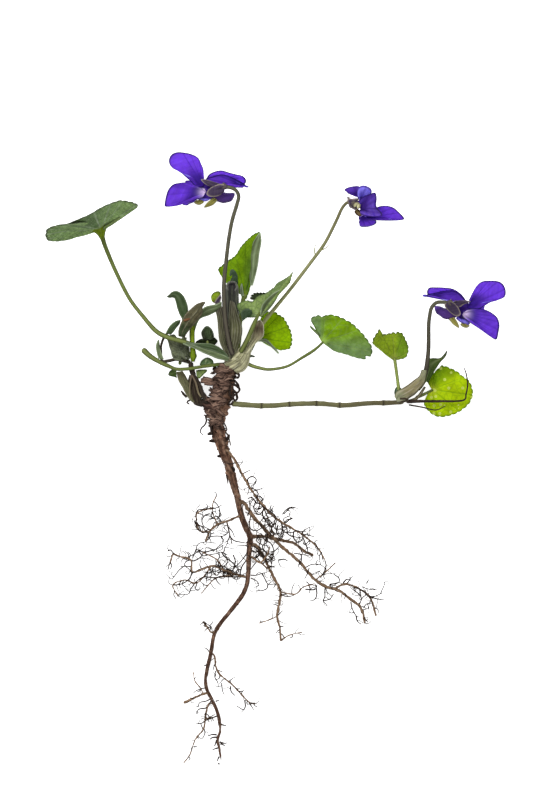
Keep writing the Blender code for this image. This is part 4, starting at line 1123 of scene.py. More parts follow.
@dataclass
class Ribbon(Surface):
    """A strap-shaped blade along a spine: a hidden petal, a sepal or a scale.

    Its width rolls like a gutter, by roll degrees from the spine to the side. foot is its width
    at the spine's start as a share of the widest, which lies at a share of the length.
    """

    spine: Sequence[Point]
    facing: Point
    half_width: float
    roll: float
    foot: float
    widest: float = 0.6
    tip: Tip = Tip.ROUND
    ruffle: float = 0.0
    waves: float = 3.0
    wave_slant: float = 1.4
    veins: int = 0
    patch_end: float = 0.0
    columns: int = 20
    rows: int = 32
    seed: float = 0.0

    def __post_init__(self) -> None:
        """Measures the spine."""
        self.track = Track(self.spine)
        self.length = self.track.length

    def place(self, along: float, across: float, lift: float) -> Vector:
        """Finds a point of the rolled blade.

        Args:
            along: The distance along the spine.
            across: The distance from the spine, positive on the right half.
            lift: The height above the blade.

        Returns:
            The point, in millimetres.
        """
        spot, heading = self.track.at(along)
        facing = Vector(self.facing)
        facing = (facing - heading * heading.dot(facing)).normalized()
        side = heading.cross(facing)
        bend = math.radians(self.roll) / self.half_width
        turn = bend * abs(across)
        out, up = math.sin(turn) / bend, (1 - math.cos(turn)) / bend
        return spot + side * math.copysign(out, across) + facing * (up + lift)

    def width_at(self, share: float) -> float:
        """Reads half the width.

        Args:
            share: The share of the length.

        Returns:
            Half the width there, in millimetres.
        """
        if share < self.widest:
            swell = math.sin(share / self.widest * math.pi / 2)
            return self.half_width * (self.foot + (1 - self.foot) * swell)
        fall = (share - self.widest) / (1 - self.widest)
        power, root = self.tip.value
        return self.half_width * max(0.0, 1 - fall**power) ** (1 / root)

    def spot(self, across: float, along: float) -> Vector:
        """Finds a place on the blade, with its ruffled margins.

        Args:
            across: The share of the way from the left margin to the right.
            along: The share of the rows passed, which stand closer near the tip.

        Returns:
            The place in millimetres.
        """
        share = math.sin(along * math.pi / 2)
        aside = 2 * across - 1
        distance = share * self.length
        cloud = noise.noise(Vector((aside * 1.3, distance * 0.25, self.seed)))
        wave = math.sin(self.waves * math.tau * share + self.seed + self.wave_slant * aside)
        lift = self.ruffle * abs(aside) ** 2 * wave + 0.5 * self.ruffle * cloud
        return self.place(distance, aside * self.width_at(share), lift)

    def chart(self, across: float, along: float) -> tuple[float, float]:
        """Where that place lies on the piece's own flat map."""
        share = math.sin(along * math.pi / 2)
        return (2 * across - 1) * self.half_width / CHART_MM, share * self.length / CHART_MM

    def marks(self, across: float, along: float) -> Marks:
        """Marks the veins that fan out from the foot, the margin, and the foot's colour.

        Args:
            across: The share of the way from the left margin to the right.
            along: The share of the rows passed.

        Returns:
            The marks there.
        """
        share = math.sin(along * math.pi / 2)
        aside = 2 * across - 1
        vein = 0.0
        if self.veins:
            line = abs(math.sin(self.veins * math.pi * aside * (0.8 + 0.2 * share)))
            vein = (1 - line) ** 3 * ramp(share, 0.95, 0.4)
        edge = max(abs(aside) ** 8, ramp(share, 0.93, 1.0))
        patch = ramp(share, self.patch_end, self.patch_end * 0.35) if self.patch_end else 0.0
        return vein, edge, patch, 0.0


@dataclass
class Fan(Surface):
    """A thin blade that spreads from one point to a rim through given points.

    The rim runs clockwise as the camera above sees it. A rim point is a place and a tone, which
    is how much of the finish's second colour shows on the way out to it. rays are the rim
    points, counted from 0, that the main veins run to. branches is the way between two side
    veins, and vein_slant is how far they run outwards for each millimetre aside. The margin's
    colour starts and is full at the distances of margin, and the foot's shade at the shares of
    foot_shade.
    """

    apex: Point
    rim: Sequence[RimPoint]
    rays: Sequence[float] = ()
    teeth: int = 0
    tooth: float = 0.28
    dome: float = 0.0
    ruffle: float = 0.35
    quilt: float = 0.14
    vein_width: float = 0.12
    branches: float = 1.3
    patch: float = 1.2
    tone_end: float = 9.0
    shade: float = 0.0
    rows: int = 24
    seed: float = 0.0
    spacing: float = 0.4
    tooth_columns: int = 6
    notch_power: float = 0.55
    crowding: float = 1.35
    vein_slant: float = 0.8
    margin: tuple[float, float] = (0.6, 0.14)
    foot_shade: tuple[float, float] = (0.64, 0.2)

    def __post_init__(self) -> None:
        """Reads the way out to the rim, its slope and its nearest vein for each column."""
        track = Track([point[:3] for point in self.rim])
        tones = [point[3] for point in self.rim]
        ends = [track.point(ray) for ray in self.rays]
        self.columns = max(self.teeth * self.tooth_columns, round(track.length / self.spacing))
        self.spokes = []
        turn = 0.0
        for column in range(self.columns + 1):
            along = track.length * column / self.columns
            spot, _ = track.at(along)
            out = spot - Vector(self.apex)
            square = Vector()
            for step in range(-3, 4):
                near, ahead = track.at(along + step * track.length / self.columns)
                square += ahead.cross(near - Vector(self.apex))
            if self.spokes:
                turn += out.angle(self.spokes[-1][0], 0.0)
            tone = read_along(tones, track.station(along) / (len(tones) - 1))
            away = min(((spot - end).length for end in ends), default=NO_VEIN)
            self.spokes.append((out, square.normalized(), turn, tone, away))

    def way_out(self, along: float) -> float:
        """The share of the way to the rim at a share of the rows, which crowd near the rim."""
        return 1 - max(0.0, 1 - along) ** self.crowding

    def spoke(self, across: float, along: float) -> tuple[float, float, float]:
        """Reads the blade's growth from its foot.

        Args:
            across: The share of the way round the rim.
            along: The share of the rows passed.

        Returns:
            The share of the way out, and how near a main and a side vein are, from 0 to 1.
        """
        out, _, _, _, away = self.spokes[round(across * self.columns)]
        share = self.way_out(along)
        if self.teeth:
            scallop = 1 - abs(math.sin(math.pi * self.teeth * across)) ** self.notch_power
            share -= self.tooth * scallop * share**9 / max(out.length, self.tooth * 2)
        aside, ahead = share * away, share * out.length
        main = math.exp(-((aside / (self.vein_width * (1.7 - share))) ** 2))
        side = 0.0
        if self.branches:
            cycle = (ahead - self.vein_slant * aside) / self.branches
            line = abs(cycle - math.floor(cycle) - 0.5) * 2
            side = max(0.0, 1 - (1 - line) * 3.5) ** 1.5 * ramp(aside, 0.0, 0.3)
        return share, main, side

    def spot(self, across: float, along: float) -> Vector:
        """Finds a place on the blade, which is quilted between its sunken veins.

        Args:
            across: The share of the way round the rim.
            along: The share of the rows passed.

        Returns:
            The place in millimetres.
        """
        out, square, turn, _, _ = self.spokes[round(across * self.columns)]
        share, main, side = self.spoke(across, along)
        cloud = noise.noise(Vector((turn * 1.7, share * 2.2, self.seed)))
        lift = self.dome * math.sin(math.pi * share) + self.ruffle * cloud * share
        rib = (0.6 - main - 0.4 * side) * ramp(share, 1.0, 0.85) * ramp(share, 0.0, 0.2)
        return Vector(self.apex) + out * share + square * (lift + self.quilt * rib)

    def chart(self, across: float, along: float) -> tuple[float, float]:
        """Finds a place on the blade's flat map, on which the blade is spread like a hand fan.

        Args:
            across: The share of the way round the rim.
            along: The share of the rows passed.

        Returns:
            The two measures on the map.
        """
        out, _, turn, _, _ = self.spokes[round(across * self.columns)]
        reach = out.length * self.way_out(along) / CHART_MM
        return reach * math.sin(turn), reach * math.cos(turn)

    def marks(self, across: float, along: float) -> Marks:
        """Marks the veins, the margin, the place round the foot, and the second colour.

        Args:
            across: The share of the way round the rim.
            along: The share of the rows passed.

        Returns:
            The marks there.
        """
        out, _, _, tone, _ = self.spokes[round(across * self.columns)]
        share, main, side = self.spoke(across, along)
        edge = ramp((1 - share) * out.length, *self.margin)
        patch = 0.9 * math.exp(-((share * out.length / self.patch) ** 2)) if self.patch else 0.0
        tone *= ramp(share, self.tone_end, self.tone_end * 0.55)
        tone = min(1.0, tone + self.shade * ramp(share, *self.foot_shade))
        return max(main, 0.5 * side), edge, patch, tone


@dataclass
class Strip(Surface):
    """A thin strap between two edges through given points, bowed up between them.

    Left and right are as the camera above sees them on the way along the strap. tones are the
    shares of the finish's second colour, read along it. Where the strap is narrower than
    full_width, it bows and ruffles less. The margin's colour starts and is full at the
    distances of margin.
    """

    left: Sequence[Point]
    right: Sequence[Point]
    bow: float = 0.35
    veins: float = 1.0
    tones: Sequence[float] = (0.0,)
    ruffle: float = 0.25
    columns: int = 14
    seed: float = 0.0
    spacing: float = 0.28
    least_rows: int = 14
    full_width: float = 1.2
    vein_power: int = 14
    margin: tuple[float, float] = (0.3, 0.08)

    def __post_init__(self) -> None:
        """Measures both edges."""
        self.sides = Track(self.left), Track(self.right)
        self.length = sum(side.length for side in self.sides) / 2
        self.rows = max(self.least_rows, round(self.length / self.spacing))

    def edges(self, along: float) -> tuple[Vector, Vector, float]:
        """Finds the two edges of the strap.

        Args:
            along: The share of the length.

        Returns:
            The place on the left edge, that on the right edge, and the width between them.
        """
        left, right = (side.at(side.length * along)[0] for side in self.sides)
        return left, right, (right - left).length

    def spot(self, across: float, along: float) -> Vector:
        """Finds a place on the strap, with its bow and its ruffles.

        Args:
            across: The share of the way from the left edge to the right.
            along: The share of the length.

        Returns:
            The place in millimetres.
        """
        left, right, width = self.edges(along)
        fullness = min(1.0, width / self.full_width)
        arch = math.sqrt(max(0.0, 1 - (2 * across - 1) ** 2)) * fullness
        cloud = noise.noise(Vector((across * 2.5, along * self.length * 0.5, self.seed)))
        fine = noise.noise(Vector((across * 9.0, along * self.length * 0.7, self.seed)))
        lift = self.bow * arch + self.ruffle * (cloud + 0.35 * fine) * fullness
        return left.lerp(right, across) + Z_AXIS * lift

    def chart(self, across: float, along: float) -> tuple[float, float]:
        """Where that place lies on the piece's own flat map."""
        _, _, width = self.edges(along)
        return (across - 0.5) * width / CHART_MM, along * self.length / CHART_MM

    def marks(self, across: float, along: float) -> Marks:
        """Marks the veins along the strap, its margins, and the second colour.

        Args:
            across: The share of the way from the left edge to the right.
            along: The share of the length.

        Returns:
            The marks there.
        """
        _, _, width = self.edges(along)
        line = abs(math.cos(math.pi * self.veins * (across - 0.5)))
        vein = line**self.vein_power if self.veins else 0.0
        edge = ramp(min(across, 1 - across) * width, *self.margin)
        return vein, edge, 0.0, read_along(self.tones, along)


@dataclass
class Threads:
    """Many fine round threads in one mesh: rootlets, fibres and hairs."""

    ways: list[tuple[list[Vector], list[float]]] = field(default_factory=list)

    def add(self, points: Sequence[Point], radii: Sequence[float], steps: int = 3) -> None:
        """Adds one thread along a smooth line.

        Args:
            points: The points that the line runs through.
            radii: The thread's radii, read along it.
            steps: How finely each stretch is read.
        """
        path = smooth_path(points, steps)
        widths = [read_along(radii, index / (len(path) - 1)) for index in range(len(path))]
        self.ways.append((path, widths))

    def model(self, name: str, finish: Finish) -> bpy.types.Object:
        """Models the threads as bevelled curves, turned into one mesh.

        Args:
            name: The object's name.
            finish: The threads' finish.

        Returns:
            The object.
        """
        deselect_all()
        bpy.ops.curve.primitive_nurbs_path_add()
        curve = bpy.context.object.data
        curve.splines.clear()
        curve.bevel_depth = MM
        curve.bevel_resolution = 0
        curve.use_fill_caps = True
        for path, widths in self.ways:
            spline = curve.splines.new("POLY")
            spline.points.add(len(path) - 1)
            for point, spot, width in zip(spline.points, path, widths):
                point.co = (*(spot * MM), 1.0)
                point.radius = width
        bpy.ops.object.convert(target="MESH")
        made = bpy.context.object
        made.name = name
        made.data.materials.clear()
        made.data.materials.append(finish.material())
        merge_doubles(made)
        bpy.ops.object.shade_smooth_by_angle(angle=SMOOTH_ANGLE)
        return made


# The rhizome and the taproot: a thick scaly crown that thins to the root's tip.
ROOT_AXIS = [
    (1.9, 9.4, 2.9), (1.1, 6.2, 2.5), (0.4, 2.5, 2.2), (-0.4, -1.2, 2.0), (-1.2, -4.5, 1.9),
    (-0.9, -8.2, 2.0), (0.2, -11.8, 2.0), (1.4, -15.5, 2.0), (2.3, -18.8, 1.9),
    (3.2, -21.8, 1.9), (4.0, -25.0, 1.9), (4.8, -28.8, 1.8), (6.0, -32.0, 1.8),
    (7.0, -34.3, 1.7), (6.7, -38.8, 1.5), (6.5, -43.8, 1.2), (5.5, -48.0, 1.0),
    (2.7, -52.0, 0.9), (-0.5, -56.0, 0.8), (-2.0, -58.8, 0.8), (-2.8, -63.3, 0.7),
    (-3.8, -67.8, 0.6), (-4.0, -71.5, 0.6), (-2.5, -75.0, 0.6), (-1.0, -78.5, 0.6),
    (-0.5, -82.3, 0.6), (-1.1, -84.8, 0.6), (-0.7, -87.0, 0.6), (-0.2, -90.2, 0.5),
]  # fmt: skip
ROOT_RADII = [
    2.0, 2.2, 2.2, 2.3, 1.8, 1.5, 1.3, 1.05, 0.95, 0.75, 0.72, 0.66, 0.62, 0.6, 0.52, 0.5,
    0.48, 0.46, 0.44, 0.42, 0.4, 0.38, 0.37, 0.36, 0.35, 0.34, 0.32, 0.3, 0.2,
]  # fmt: skip
TIP_SPURS = [
    [(-0.4, -81.0), (1.1, -81.5)], [(-1.6, -75.3), (-0.7, -75.1)],
    [(-1.3, -83.7), (-2.4, -83.6), (-3.6, -84.0)], [(-1.3, -84.3), (-2.4, -84.4), (-3.1, -84.9)],
    [(-1.3, -85.0), (-1.9, -86.6)], [(-0.8, -86.9), (-2.4, -87.4)],
    [(-0.6, -85.5), (0.6, -85.8), (1.3, -85.7)], [(-0.4, -85.9), (0.8, -86.4)],
    [(-0.7, -89.1), (-1.3, -90.4)], [(-1.1, -90.9), (-0.4, -91.0)],
]  # fmt: skip
TIP_LEVEL = 0.6

# Heights along Y: the scars of old leaves run down the crown from FOLD_TOP to FOLD_FOOT, the
# flakes from FLAKE_TOP to FLAKE_FOOT, and the root's centre line starts ROOT_START above them.
ROOT_LENGTH = 102.0
ROOT_START = 1.2
FOLD_SEED, FLAKE_SEED, FIBRE_SEED = 11, 23, 47
FOLDS = 54
FOLD_POINTS = 6
FOLD_TOP, FOLD_FOOT = 8.2, -6.5
FOLD_MIDDLES = [0.6, 0.75, 0.6, 0.1, -0.2, -0.6, -1.4, -1.8, -2.0, -1.8, -1.6, -1.3]
FOLD_REACHES = [3.3, 3.1, 2.8, 2.4, 2.35, 2.5, 2.9, 3.0, 2.9, 2.7, 2.2, 1.75]
FLAKES = 250
FLAKE_TOP, FLAKE_FOOT = 9.0, -15.0
SCAR_WALL, BRANCH_SCAR_WALL, FLAKE_WALL = 0.3, 0.4, 0.16
FLAKE_SPINE = [(0, 0, 0), (0, 0.45, 0.12), (0, 0.9, 0.1), (0, 1.3, -0.1)]
BRANCH_FOLDS = [
    ([(-5.2, 5.2, 3.0), (-3.9, 5.6, 3.4), (-2.4, 5.2, 3.6)],
     [(-5.3, 4.4, 2.9), (-3.8, 4.3, 3.3), (-2.2, 4.1, 3.6)]),
    ([(-4.2, 4.9, 3.2), (-2.6, 4.6, 3.6), (-1.4, 4.8, 3.8)],
     [(-4.4, 3.9, 3.0), (-2.7, 3.7, 3.5), (-1.3, 3.9, 3.8)]),
    ([(-4.6, 5.9, 3.0), (-4.2, 5.4, 3.3)], [(-4.9, 5.4, 3.0), (-4.5, 5.0, 3.3)]),
]  # fmt: skip
WIRES = [
    [(2.6, 4.0, 4.2), (3.7, 3.5, 4.2), (4.4, 2.6, 4.0), (3.8, 1.8, 3.9), (3.1, 2.2, 4.2),
     (2.5, 3.1, 4.3)],
    [(2.1, 3.6, 4.0), (1.95, 2.2, 4.2), (2.0, 1.2, 4.2), (2.5, 0.75, 4.0), (3.1, 1.2, 3.9),
     (3.9, 1.8, 3.8)],
    [(2.9, 2.2, 3.8), (2.7, 0.9, 3.8), (1.95, -0.3, 3.8), (1.7, -1.1, 3.6), (2.3, -1.0, 3.4),
     (2.8, -0.2, 3.3)],
    [(3.6, 1.6, 3.8), (3.8, 0.4, 3.5), (3.3, -0.1, 3.3), (2.6, 0.5, 3.5)],
    [(1.8, 4.8, 4.2), (3.0, 4.9, 4.2), (3.9, 4.0, 4.0), (4.3, 3.0, 3.9)],
    [(3.2, 6.8, 3.6), (4.2, 6.4, 3.6), (4.0, 5.6, 3.6), (3.0, 5.8, 3.8)],
]  # fmt: skip
CURLED_ROOTLET = [
    (-4.1, -4.0, 2.2), (-3.9, -5.2, 2.1), (-4.3, -6.2, 2.0), (-5.1, -7.0, 1.9),
    (-5.4, -8.0, 1.8), (-4.7, -8.7, 1.4),
]  # fmt: skip
DARK_STUBS = [
    [(-2.2, -8.1, 2.4), (-3.0, -8.4, 2.4), (-3.6, -8.6, 2.3)],
    [(-1.7, -10.2, 2.2), (-2.5, -10.2, 2.2), (-3.2, -10.3, 2.1)],
    [(-2.3, -5.6, 3.2), (-2.6, -7.0, 3.2), (-2.5, -8.6, 3.0)],
    [(1.0, -9.8, 2.2), (1.5, -9.5, 2.2), (1.8, -8.6, 2.1)],
    [(2.4, -16.8, 2.4), (2.9, -17.4, 2.3), (2.8, -18.2, 2.2)],
    [(0.4, -14.0, 2.2), (-0.5, -14.0, 2.3), (-1.2, -14.1, 2.2)],
]  # fmt: skip
FILAMENTS = [
    [(0.5, -5.6, 2.4), (1.2, -7.2, 2.5), (0.9, -8.0, 2.4), (1.5, -8.8, 2.3), (1.9, -10.2, 2.2),
     (2.2, -11.4, 2.0)],
    [(1.0, -16.6, 2.1), (1.15, -18.8, 2.0), (1.5, -21.0, 1.9)],
    [(0.1, -12.0, 2.1), (-0.5, -12.3, 2.0), (-0.9, -12.2, 1.9)],
]  # fmt: skip


# The radii of each kind of thread, from where it starts to its end.
WIRE_RADII = [0.3, 0.34, 0.26, 0.32, 0.2]
CURL_RADII = [0.24, 0.22, 0.18, 0.12]
STUB_RADII = [0.5, 0.45, 0.25]
FILAMENT_RADII = [0.14, 0.22, 0.12]
SPUR_RADII = [0.22, 0.17, 0.12]
FIBRE_RADII = [0.04, 0.07, 0.04]
ROOTLET_RADII = [0.16, 0.13, 0.09]
FINE_ROOTLET_RADII = [0.1, 0.085, 0.05]


@dataclass
class Rhizome:
    """The scaly crown, the taproot below it, and the dead stubs and fibres round them.

    The crown is the axis up to crown_points. Loose fibres lie on the stretch fibre_reach of the
    axis, and the bark darkens between the two distances of pale_until below the origin.
    """

    axis: Sequence[Point] = field(default_factory=lambda: ROOT_AXIS)
    radii: Sequence[float] = field(default_factory=lambda: ROOT_RADII)
    crown_points: int = 11
    fibres: int = 230
    fibre_reach: tuple[float, float] = (14.0, 92.0)
    pale_until: tuple[float, float] = (40.0, 85.0)

    def __post_init__(self) -> None:
        """Reads the centre line of the crown."""
        self.centres = smooth_path(self.axis[: self.crown_points], 8)

    def centre_at(self, height: float) -> Vector:
        """The centre of the crown nearest to a height along Y."""
        return min(self.centres, key=lambda spot: abs(spot.y - height))

    def girth_at(self, height: float) -> float:
        """The rhizome's radius at a height along Y."""
        return read_along(self.radii, (FOLD_TOP + ROOT_START - height) / ROOT_LENGTH)

    def folds(self) -> list[bpy.types.Object]:
        """Models the wavy scars of old leaves, one over the next down the crown.

        Returns:
            The scars.
        """
        chance = random.Random(FOLD_SEED)
        made = []
        for index in range(FOLDS):
            share = index / (FOLDS - 1)
            height = FOLD_TOP + (FOLD_FOOT - FOLD_TOP) * share
            middle, reach = (read_along(row, share) for row in (FOLD_MIDDLES, FOLD_REACHES))
            spread = chance.uniform(0.4, 0.95)
            middle += reach * (1 - spread) * chance.uniform(-1, 1)
            reach *= spread
            level = self.centre_at(height).z
            girth = self.girth_at(height)
            tall = chance.uniform(0.4, 0.8)
            slant = chance.gauss(0, 0.6)
            rise = chance.uniform(0.3, 0.8)
            upper, lower = [], []
            for step in range(FOLD_POINTS):
                aside = -1 + 2 * step / (FOLD_POINTS - 1)
                lift = level + (girth + rise) * math.sqrt(1.02 - aside**2 * spread)
                wave = height + slant * aside + chance.gauss(0, 0.22)
                taper = tall * math.sqrt(1.05 - aside**2)
                upper.append((middle + aside * reach, wave + taper * 0.6, lift - 0.25))
                lower.append((middle + aside * reach, wave - taper * 0.6, lift))
            fold = Strip(
                upper, lower, bow=0.4, veins=2, ruffle=0.5, columns=10, seed=float(index),
                tones=[chance.uniform(0, 1) for _ in range(4)],
            )  # fmt: skip
            made.append(fold.model("fold", [SCAR_BROWN], SCAR_WALL))
        for upper, lower in BRANCH_FOLDS:
            fold = Strip(upper, lower, bow=0.5, veins=2, ruffle=0.4, tones=(0.5,))
            made.append(fold.model("fold", [SCAR_BROWN], BRANCH_SCAR_WALL))
        return made

    def flake(self) -> bpy.types.Object:
        """Models one dead scale: a small curled plate with a torn end.

        Returns:
            The scale, at the origin.
        """
        blade = Ribbon(
            FLAKE_SPINE, (0, 0, 1), half_width=0.8, roll=-48, foot=0.8, tip=Tip.BLUNT,
            ruffle=0.25, columns=4, rows=3,
        )  # fmt: skip
        return blade.model("flake", [FLAKE_DARK], FLAKE_WALL)

    def flakes(self) -> list[bpy.types.Object]:
        """Lays the scales on the crown's sides, each its own copy of the flake.

        Returns:
            The scales.
        """
        chance = random.Random(FLAKE_SEED)
        pattern = self.flake()
        made = []
        for index in range(FLAKES):
            share = index / FLAKES
            height = FLAKE_TOP + (FLAKE_FOOT - FLAKE_TOP) * share
            fold_share = min(max((height - FOLD_TOP) / (FOLD_FOOT - FOLD_TOP), 0.0), 1.0)
            reach = read_along(FOLD_REACHES, fold_share)
            middle = read_along(FOLD_MIDDLES, fold_share)
            if height < FOLD_FOOT:
                reach = self.girth_at(height) * 1.15
                middle = self.centre_at(height).x
            angle = GOLDEN_ANGLE * index + chance.gauss(0, 0.4)
            out = Vector((math.cos(angle), 0.0, 0.7 * math.sin(angle)))
            level = self.centre_at(height).z
            centre = Vector((middle, height, level))
            depth = 0.84 * reach * chance.uniform(0.7, 1.0)
            rise = chance.uniform(-0.4, 1.0)
            ahead = (out + Vector((0, rise, 0))).normalized()
            wide = Vector((0, 1, 0)).cross(out).normalized()
            wide = (wide - ahead * ahead.dot(wide)).normalized()
            turn = Matrix((wide, ahead, wide.cross(ahead))).transposed()
            size = chance.uniform(0.5, 1.05) * (1 - 0.45 * share)
            place = Matrix.Translation((centre + out * depth) * MM) @ turn.to_4x4()
            place = place @ Matrix.Rotation(chance.gauss(0, 0.5), 4, "Y")
            place = place @ Matrix.Diagonal((size * chance.uniform(0.8, 1.4), size, size, 1))
            copy = pattern.copy()
            copy.data = pattern.data.copy()
            copy.data.transform(place)
            tone = max(0.0, min(1.0, chance.gauss(0.3, 0.33)))
            values = [tone] * len(copy.data.vertices)
            copy.data.attributes["patch"].data.foreach_set("value", values)
            bpy.context.scene.collection.objects.link(copy)
            made.append(copy)
        bpy.data.objects.remove(pattern)
        return made

    def tangle(self) -> Threads:
        """Lays the wiry dead threads round the crown and the short rootlets on the taproot.

        Returns:
            The threads.
        """
        threads = Threads()
        for way in WIRES:
            threads.add(way, WIRE_RADII, 6)
        threads.add(CURLED_ROOTLET, CURL_RADII, 6)
        for way in DARK_STUBS:
            threads.add(way, STUB_RADII, 5)
        for way in FILAMENTS:
            threads.add(way, FILAMENT_RADII, 5)
        for spur in TIP_SPURS:
            threads.add([(x, y, TIP_LEVEL) for x, y in spur], SPUR_RADII)
        return threads

    def bark_fibres(self) -> Threads:
        """Lays loose fibres along the taproot.

        Returns:
            The threads.
        """
        chance = random.Random(FIBRE_SEED)
        track = Track(self.axis)
        threads = Threads()
        for _ in range(self.fibres):
            start = chance.uniform(*self.fibre_reach)
            angle = chance.uniform(-0.1, math.pi + 0.1)
            way = []
            for step in range(5):
                along = start + step * chance.uniform(0.9, 1.6)
                spot, heading = track.at(along)
                side = heading.cross(Z_AXIS).normalized()
                radius = read_along(self.radii, along / track.length) * 1.04
                reach = side * math.cos(angle) + Z_AXIS * math.sin(angle)
                way.append(spot + reach * (radius + chance.uniform(-0.02, 0.07)))
                angle += chance.gauss(0, 0.16)
            threads.add(way, FIBRE_RADII)
        return threads

    def build(self) -> None:
        """Models the crown and root and seats them."""
        core = Stem(
            self.axis, self.radii, columns=30, spacing=0.28, rough=0.42, lump=0.9, flute=0.05
        )
        taproot = core.model("taproot", [BARK_RED])
        lightness = [
            1 - ramp(-spot.co.y / MM, *self.pale_until) for spot in taproot.data.vertices
        ]
        taproot.data.attributes["patch"].data.foreach_set("value", lightness)
        parts = [taproot]
        parts += self.folds()
        parts += self.flakes()
        parts.append(self.tangle().model("tangle", ROOTLET_DARK))
        parts.append(self.bark_fibres().model("fibres", BARK_RED))
        seat(joined("violet_rhizome", parts), Slot.ROOT, "rhizome_and_taproot")


@dataclass
class RootSpray:
    """A side root, its own forks and the rootlets along them.

    runs are the root and its forks, net is the net of crooked rootlets as the camera sees it,
    and band is the lowest and the highest place of a rootlet. reach is a rootlet's length. It
    leaves its root at one of fork_angles, in degrees, and then turns by turn, in radians, and
    rises by rise. The root itself is bare up to the share bare_foot. extra is how many finer
    rootlets grow on fine_span of root. They leave at one of curl_angles, curl by curl, in
    radians, and rise by drift.
    """

    name: str
    runs: list[list[Point]]
    radii: list[list[float]]
    rootlets: int
    reach: float
    seed: int
    band: tuple[float, float]
    net: list[list[tuple[float, float]]]
    extra: int = 5
    fine_span: float = 13.0
    fine_seed: int = 100
    net_seed: int = 200
    bare_foot: float = 0.12
    rooted: float = 0.86
    turn: float = 0.6
    rise: float = 0.5
    fork_angles: tuple[float, float] = (35, 85)
    curl_angles: tuple[float, float] = (30, 100)
    curl: float = 0.5
    drift: float = 0.3
    net_radii: tuple[float, float] = (0.13, 0.19)

    def kept_in_band(self, height: float) -> float:
        """The height, held between the band's lowest and highest."""
        low, high = self.band
        return min(high, max(low, height))

    def wander(
        self, start: Vector, heading: Vector, length: float, chance: random.Random
    ) -> list[Vector]:
        """Draws a rootlet's crooked way out.

        Args:
            start: Where it leaves the root.
            heading: The direction it leaves in.
            length: Its length.
            chance: Where its random turns are drawn from.

        Returns:
            The places on its way, kept between the band's two heights.
        """
        spots, spot = [start], start.copy()
        for _ in range(2):
            heading = turned(heading, Z_AXIS, chance.gauss(0.0, self.turn))
            spot = spot + heading * (length / 2)
            spot.z = self.kept_in_band(spot.z + chance.uniform(-self.rise, self.rise))
            spots.append(spot.copy())
        return spots

    def main_rootlets(self, threads: Threads) -> None:
        """Adds the rootlets that the solid has, at the same places.

        Args:
            threads: The threads that they are added to.
        """
        chance = random.Random(self.seed)
        lengths = [
            sum((Vector(b) - Vector(a)).length for a, b in zip(run, run[1:]))
            for run in self.runs
        ]
        for number, (run, length) in enumerate(zip(self.runs, lengths)):
            path = smooth_path(run, 4)
            count = round(self.rootlets * length / sum(lengths))
            for index in range(count):
                share = (index + chance.uniform(0.3, 0.9)) / max(count, 1)
                share = self.bare_foot + self.rooted * share if number == 0 else share
                at = min(int(share * (len(path) - 1)), len(path) - 2)
                heading = (path[at + 1] - path[at]).normalized()
                side = 1 if (index + number) % 2 else -1
                angle = side * math.radians(chance.uniform(*self.fork_angles))
                out = turned(heading, Z_AXIS, angle)
                reach = self.reach * chance.uniform(0.55, 1.0) * (1.1 - 0.5 * share)
                way = self.wander(path[at], out, reach, chance)
                threads.add(way, ROOTLET_RADII, 4)

    def net_threads(self, threads: Threads) -> list[list[Vector]]:
        """Adds the net of crooked rootlets.

        Args:
            threads: The threads that they are added to.

        Returns:
            The rootlets' ways.
        """
        chance = random.Random(self.seed + self.net_seed)
        ways = []
        for wire in self.net:
            height = chance.uniform(*self.band)
            ways.append([])
            for x, y in wire:
                height = self.kept_in_band(height + chance.gauss(0, self.drift))
                ways[-1].append(Vector((x, y, height)))
            thickness = chance.uniform(*self.net_radii)
            threads.add(ways[-1], [thickness, 0.9 * thickness, 0.6 * thickness], 5)
        return ways

    def fine_rootlets(self, threads: Threads, ways: Sequence[Sequence[Point]]) -> None:
        """Adds the finer curled rootlets along the whole length.

        Args:
            threads: The threads that they are added to.
            ways: The lines that they spring from.
        """
        chance = random.Random(self.seed + self.fine_seed)
        for way in ways:
            path = smooth_path(way, 6)
            total = sum((b - a).length for a, b in zip(path, path[1:]))
            for _ in range(round(total * self.extra / self.fine_span)):
                at = chance.randrange(len(path) - 1)
                heading = (path[at + 1] - path[at]).normalized()
                side = chance.choice((-1, 1))
                angle = side * math.radians(chance.uniform(*self.curl_angles))
                heading = turned(heading, Z_AXIS, angle)
                spot = path[at].copy()
                curl = chance.gauss(0, self.curl)
                line = [spot.copy()]
                for _ in range(5):
                    heading = turned(heading, Z_AXIS, curl + chance.gauss(0, self.curl))
                    spot = spot + heading * self.reach * chance.uniform(0.1, 0.24)
                    spot.z = self.kept_in_band(spot.z + chance.gauss(0, self.drift))
                    line.append(spot.copy())
                threads.add(line, FINE_ROOTLET_RADII)

    def build(self) -> None:
        """Models the spray, joined to the taproot where it starts there, and seats it."""
        threads = Threads()
        self.main_rootlets(threads)
        ways = self.net_threads(threads)
        self.fine_rootlets(threads, self.runs + ways)
        start = Vector(self.runs[0][0])
        foot = min(smooth_path(ROOT_AXIS, 4), key=lambda spot: (spot - start).length)
        parts = []
        for number, (run, radii) in enumerate(zip(self.runs, self.radii)):
            run = run if number else [foot, *run]
            root = Stem(
                run, radii, columns=10, spacing=0.3, rough=0.55, lump=1.2, seed=float(number)
            )
            parts.append(root.model("run", [BARK_BROWN]))
        parts.append(threads.model("rootlets", ROOTLET_DARK))
        seat(joined("violet_" + self.name, parts), Slot.ROOT, self.name)


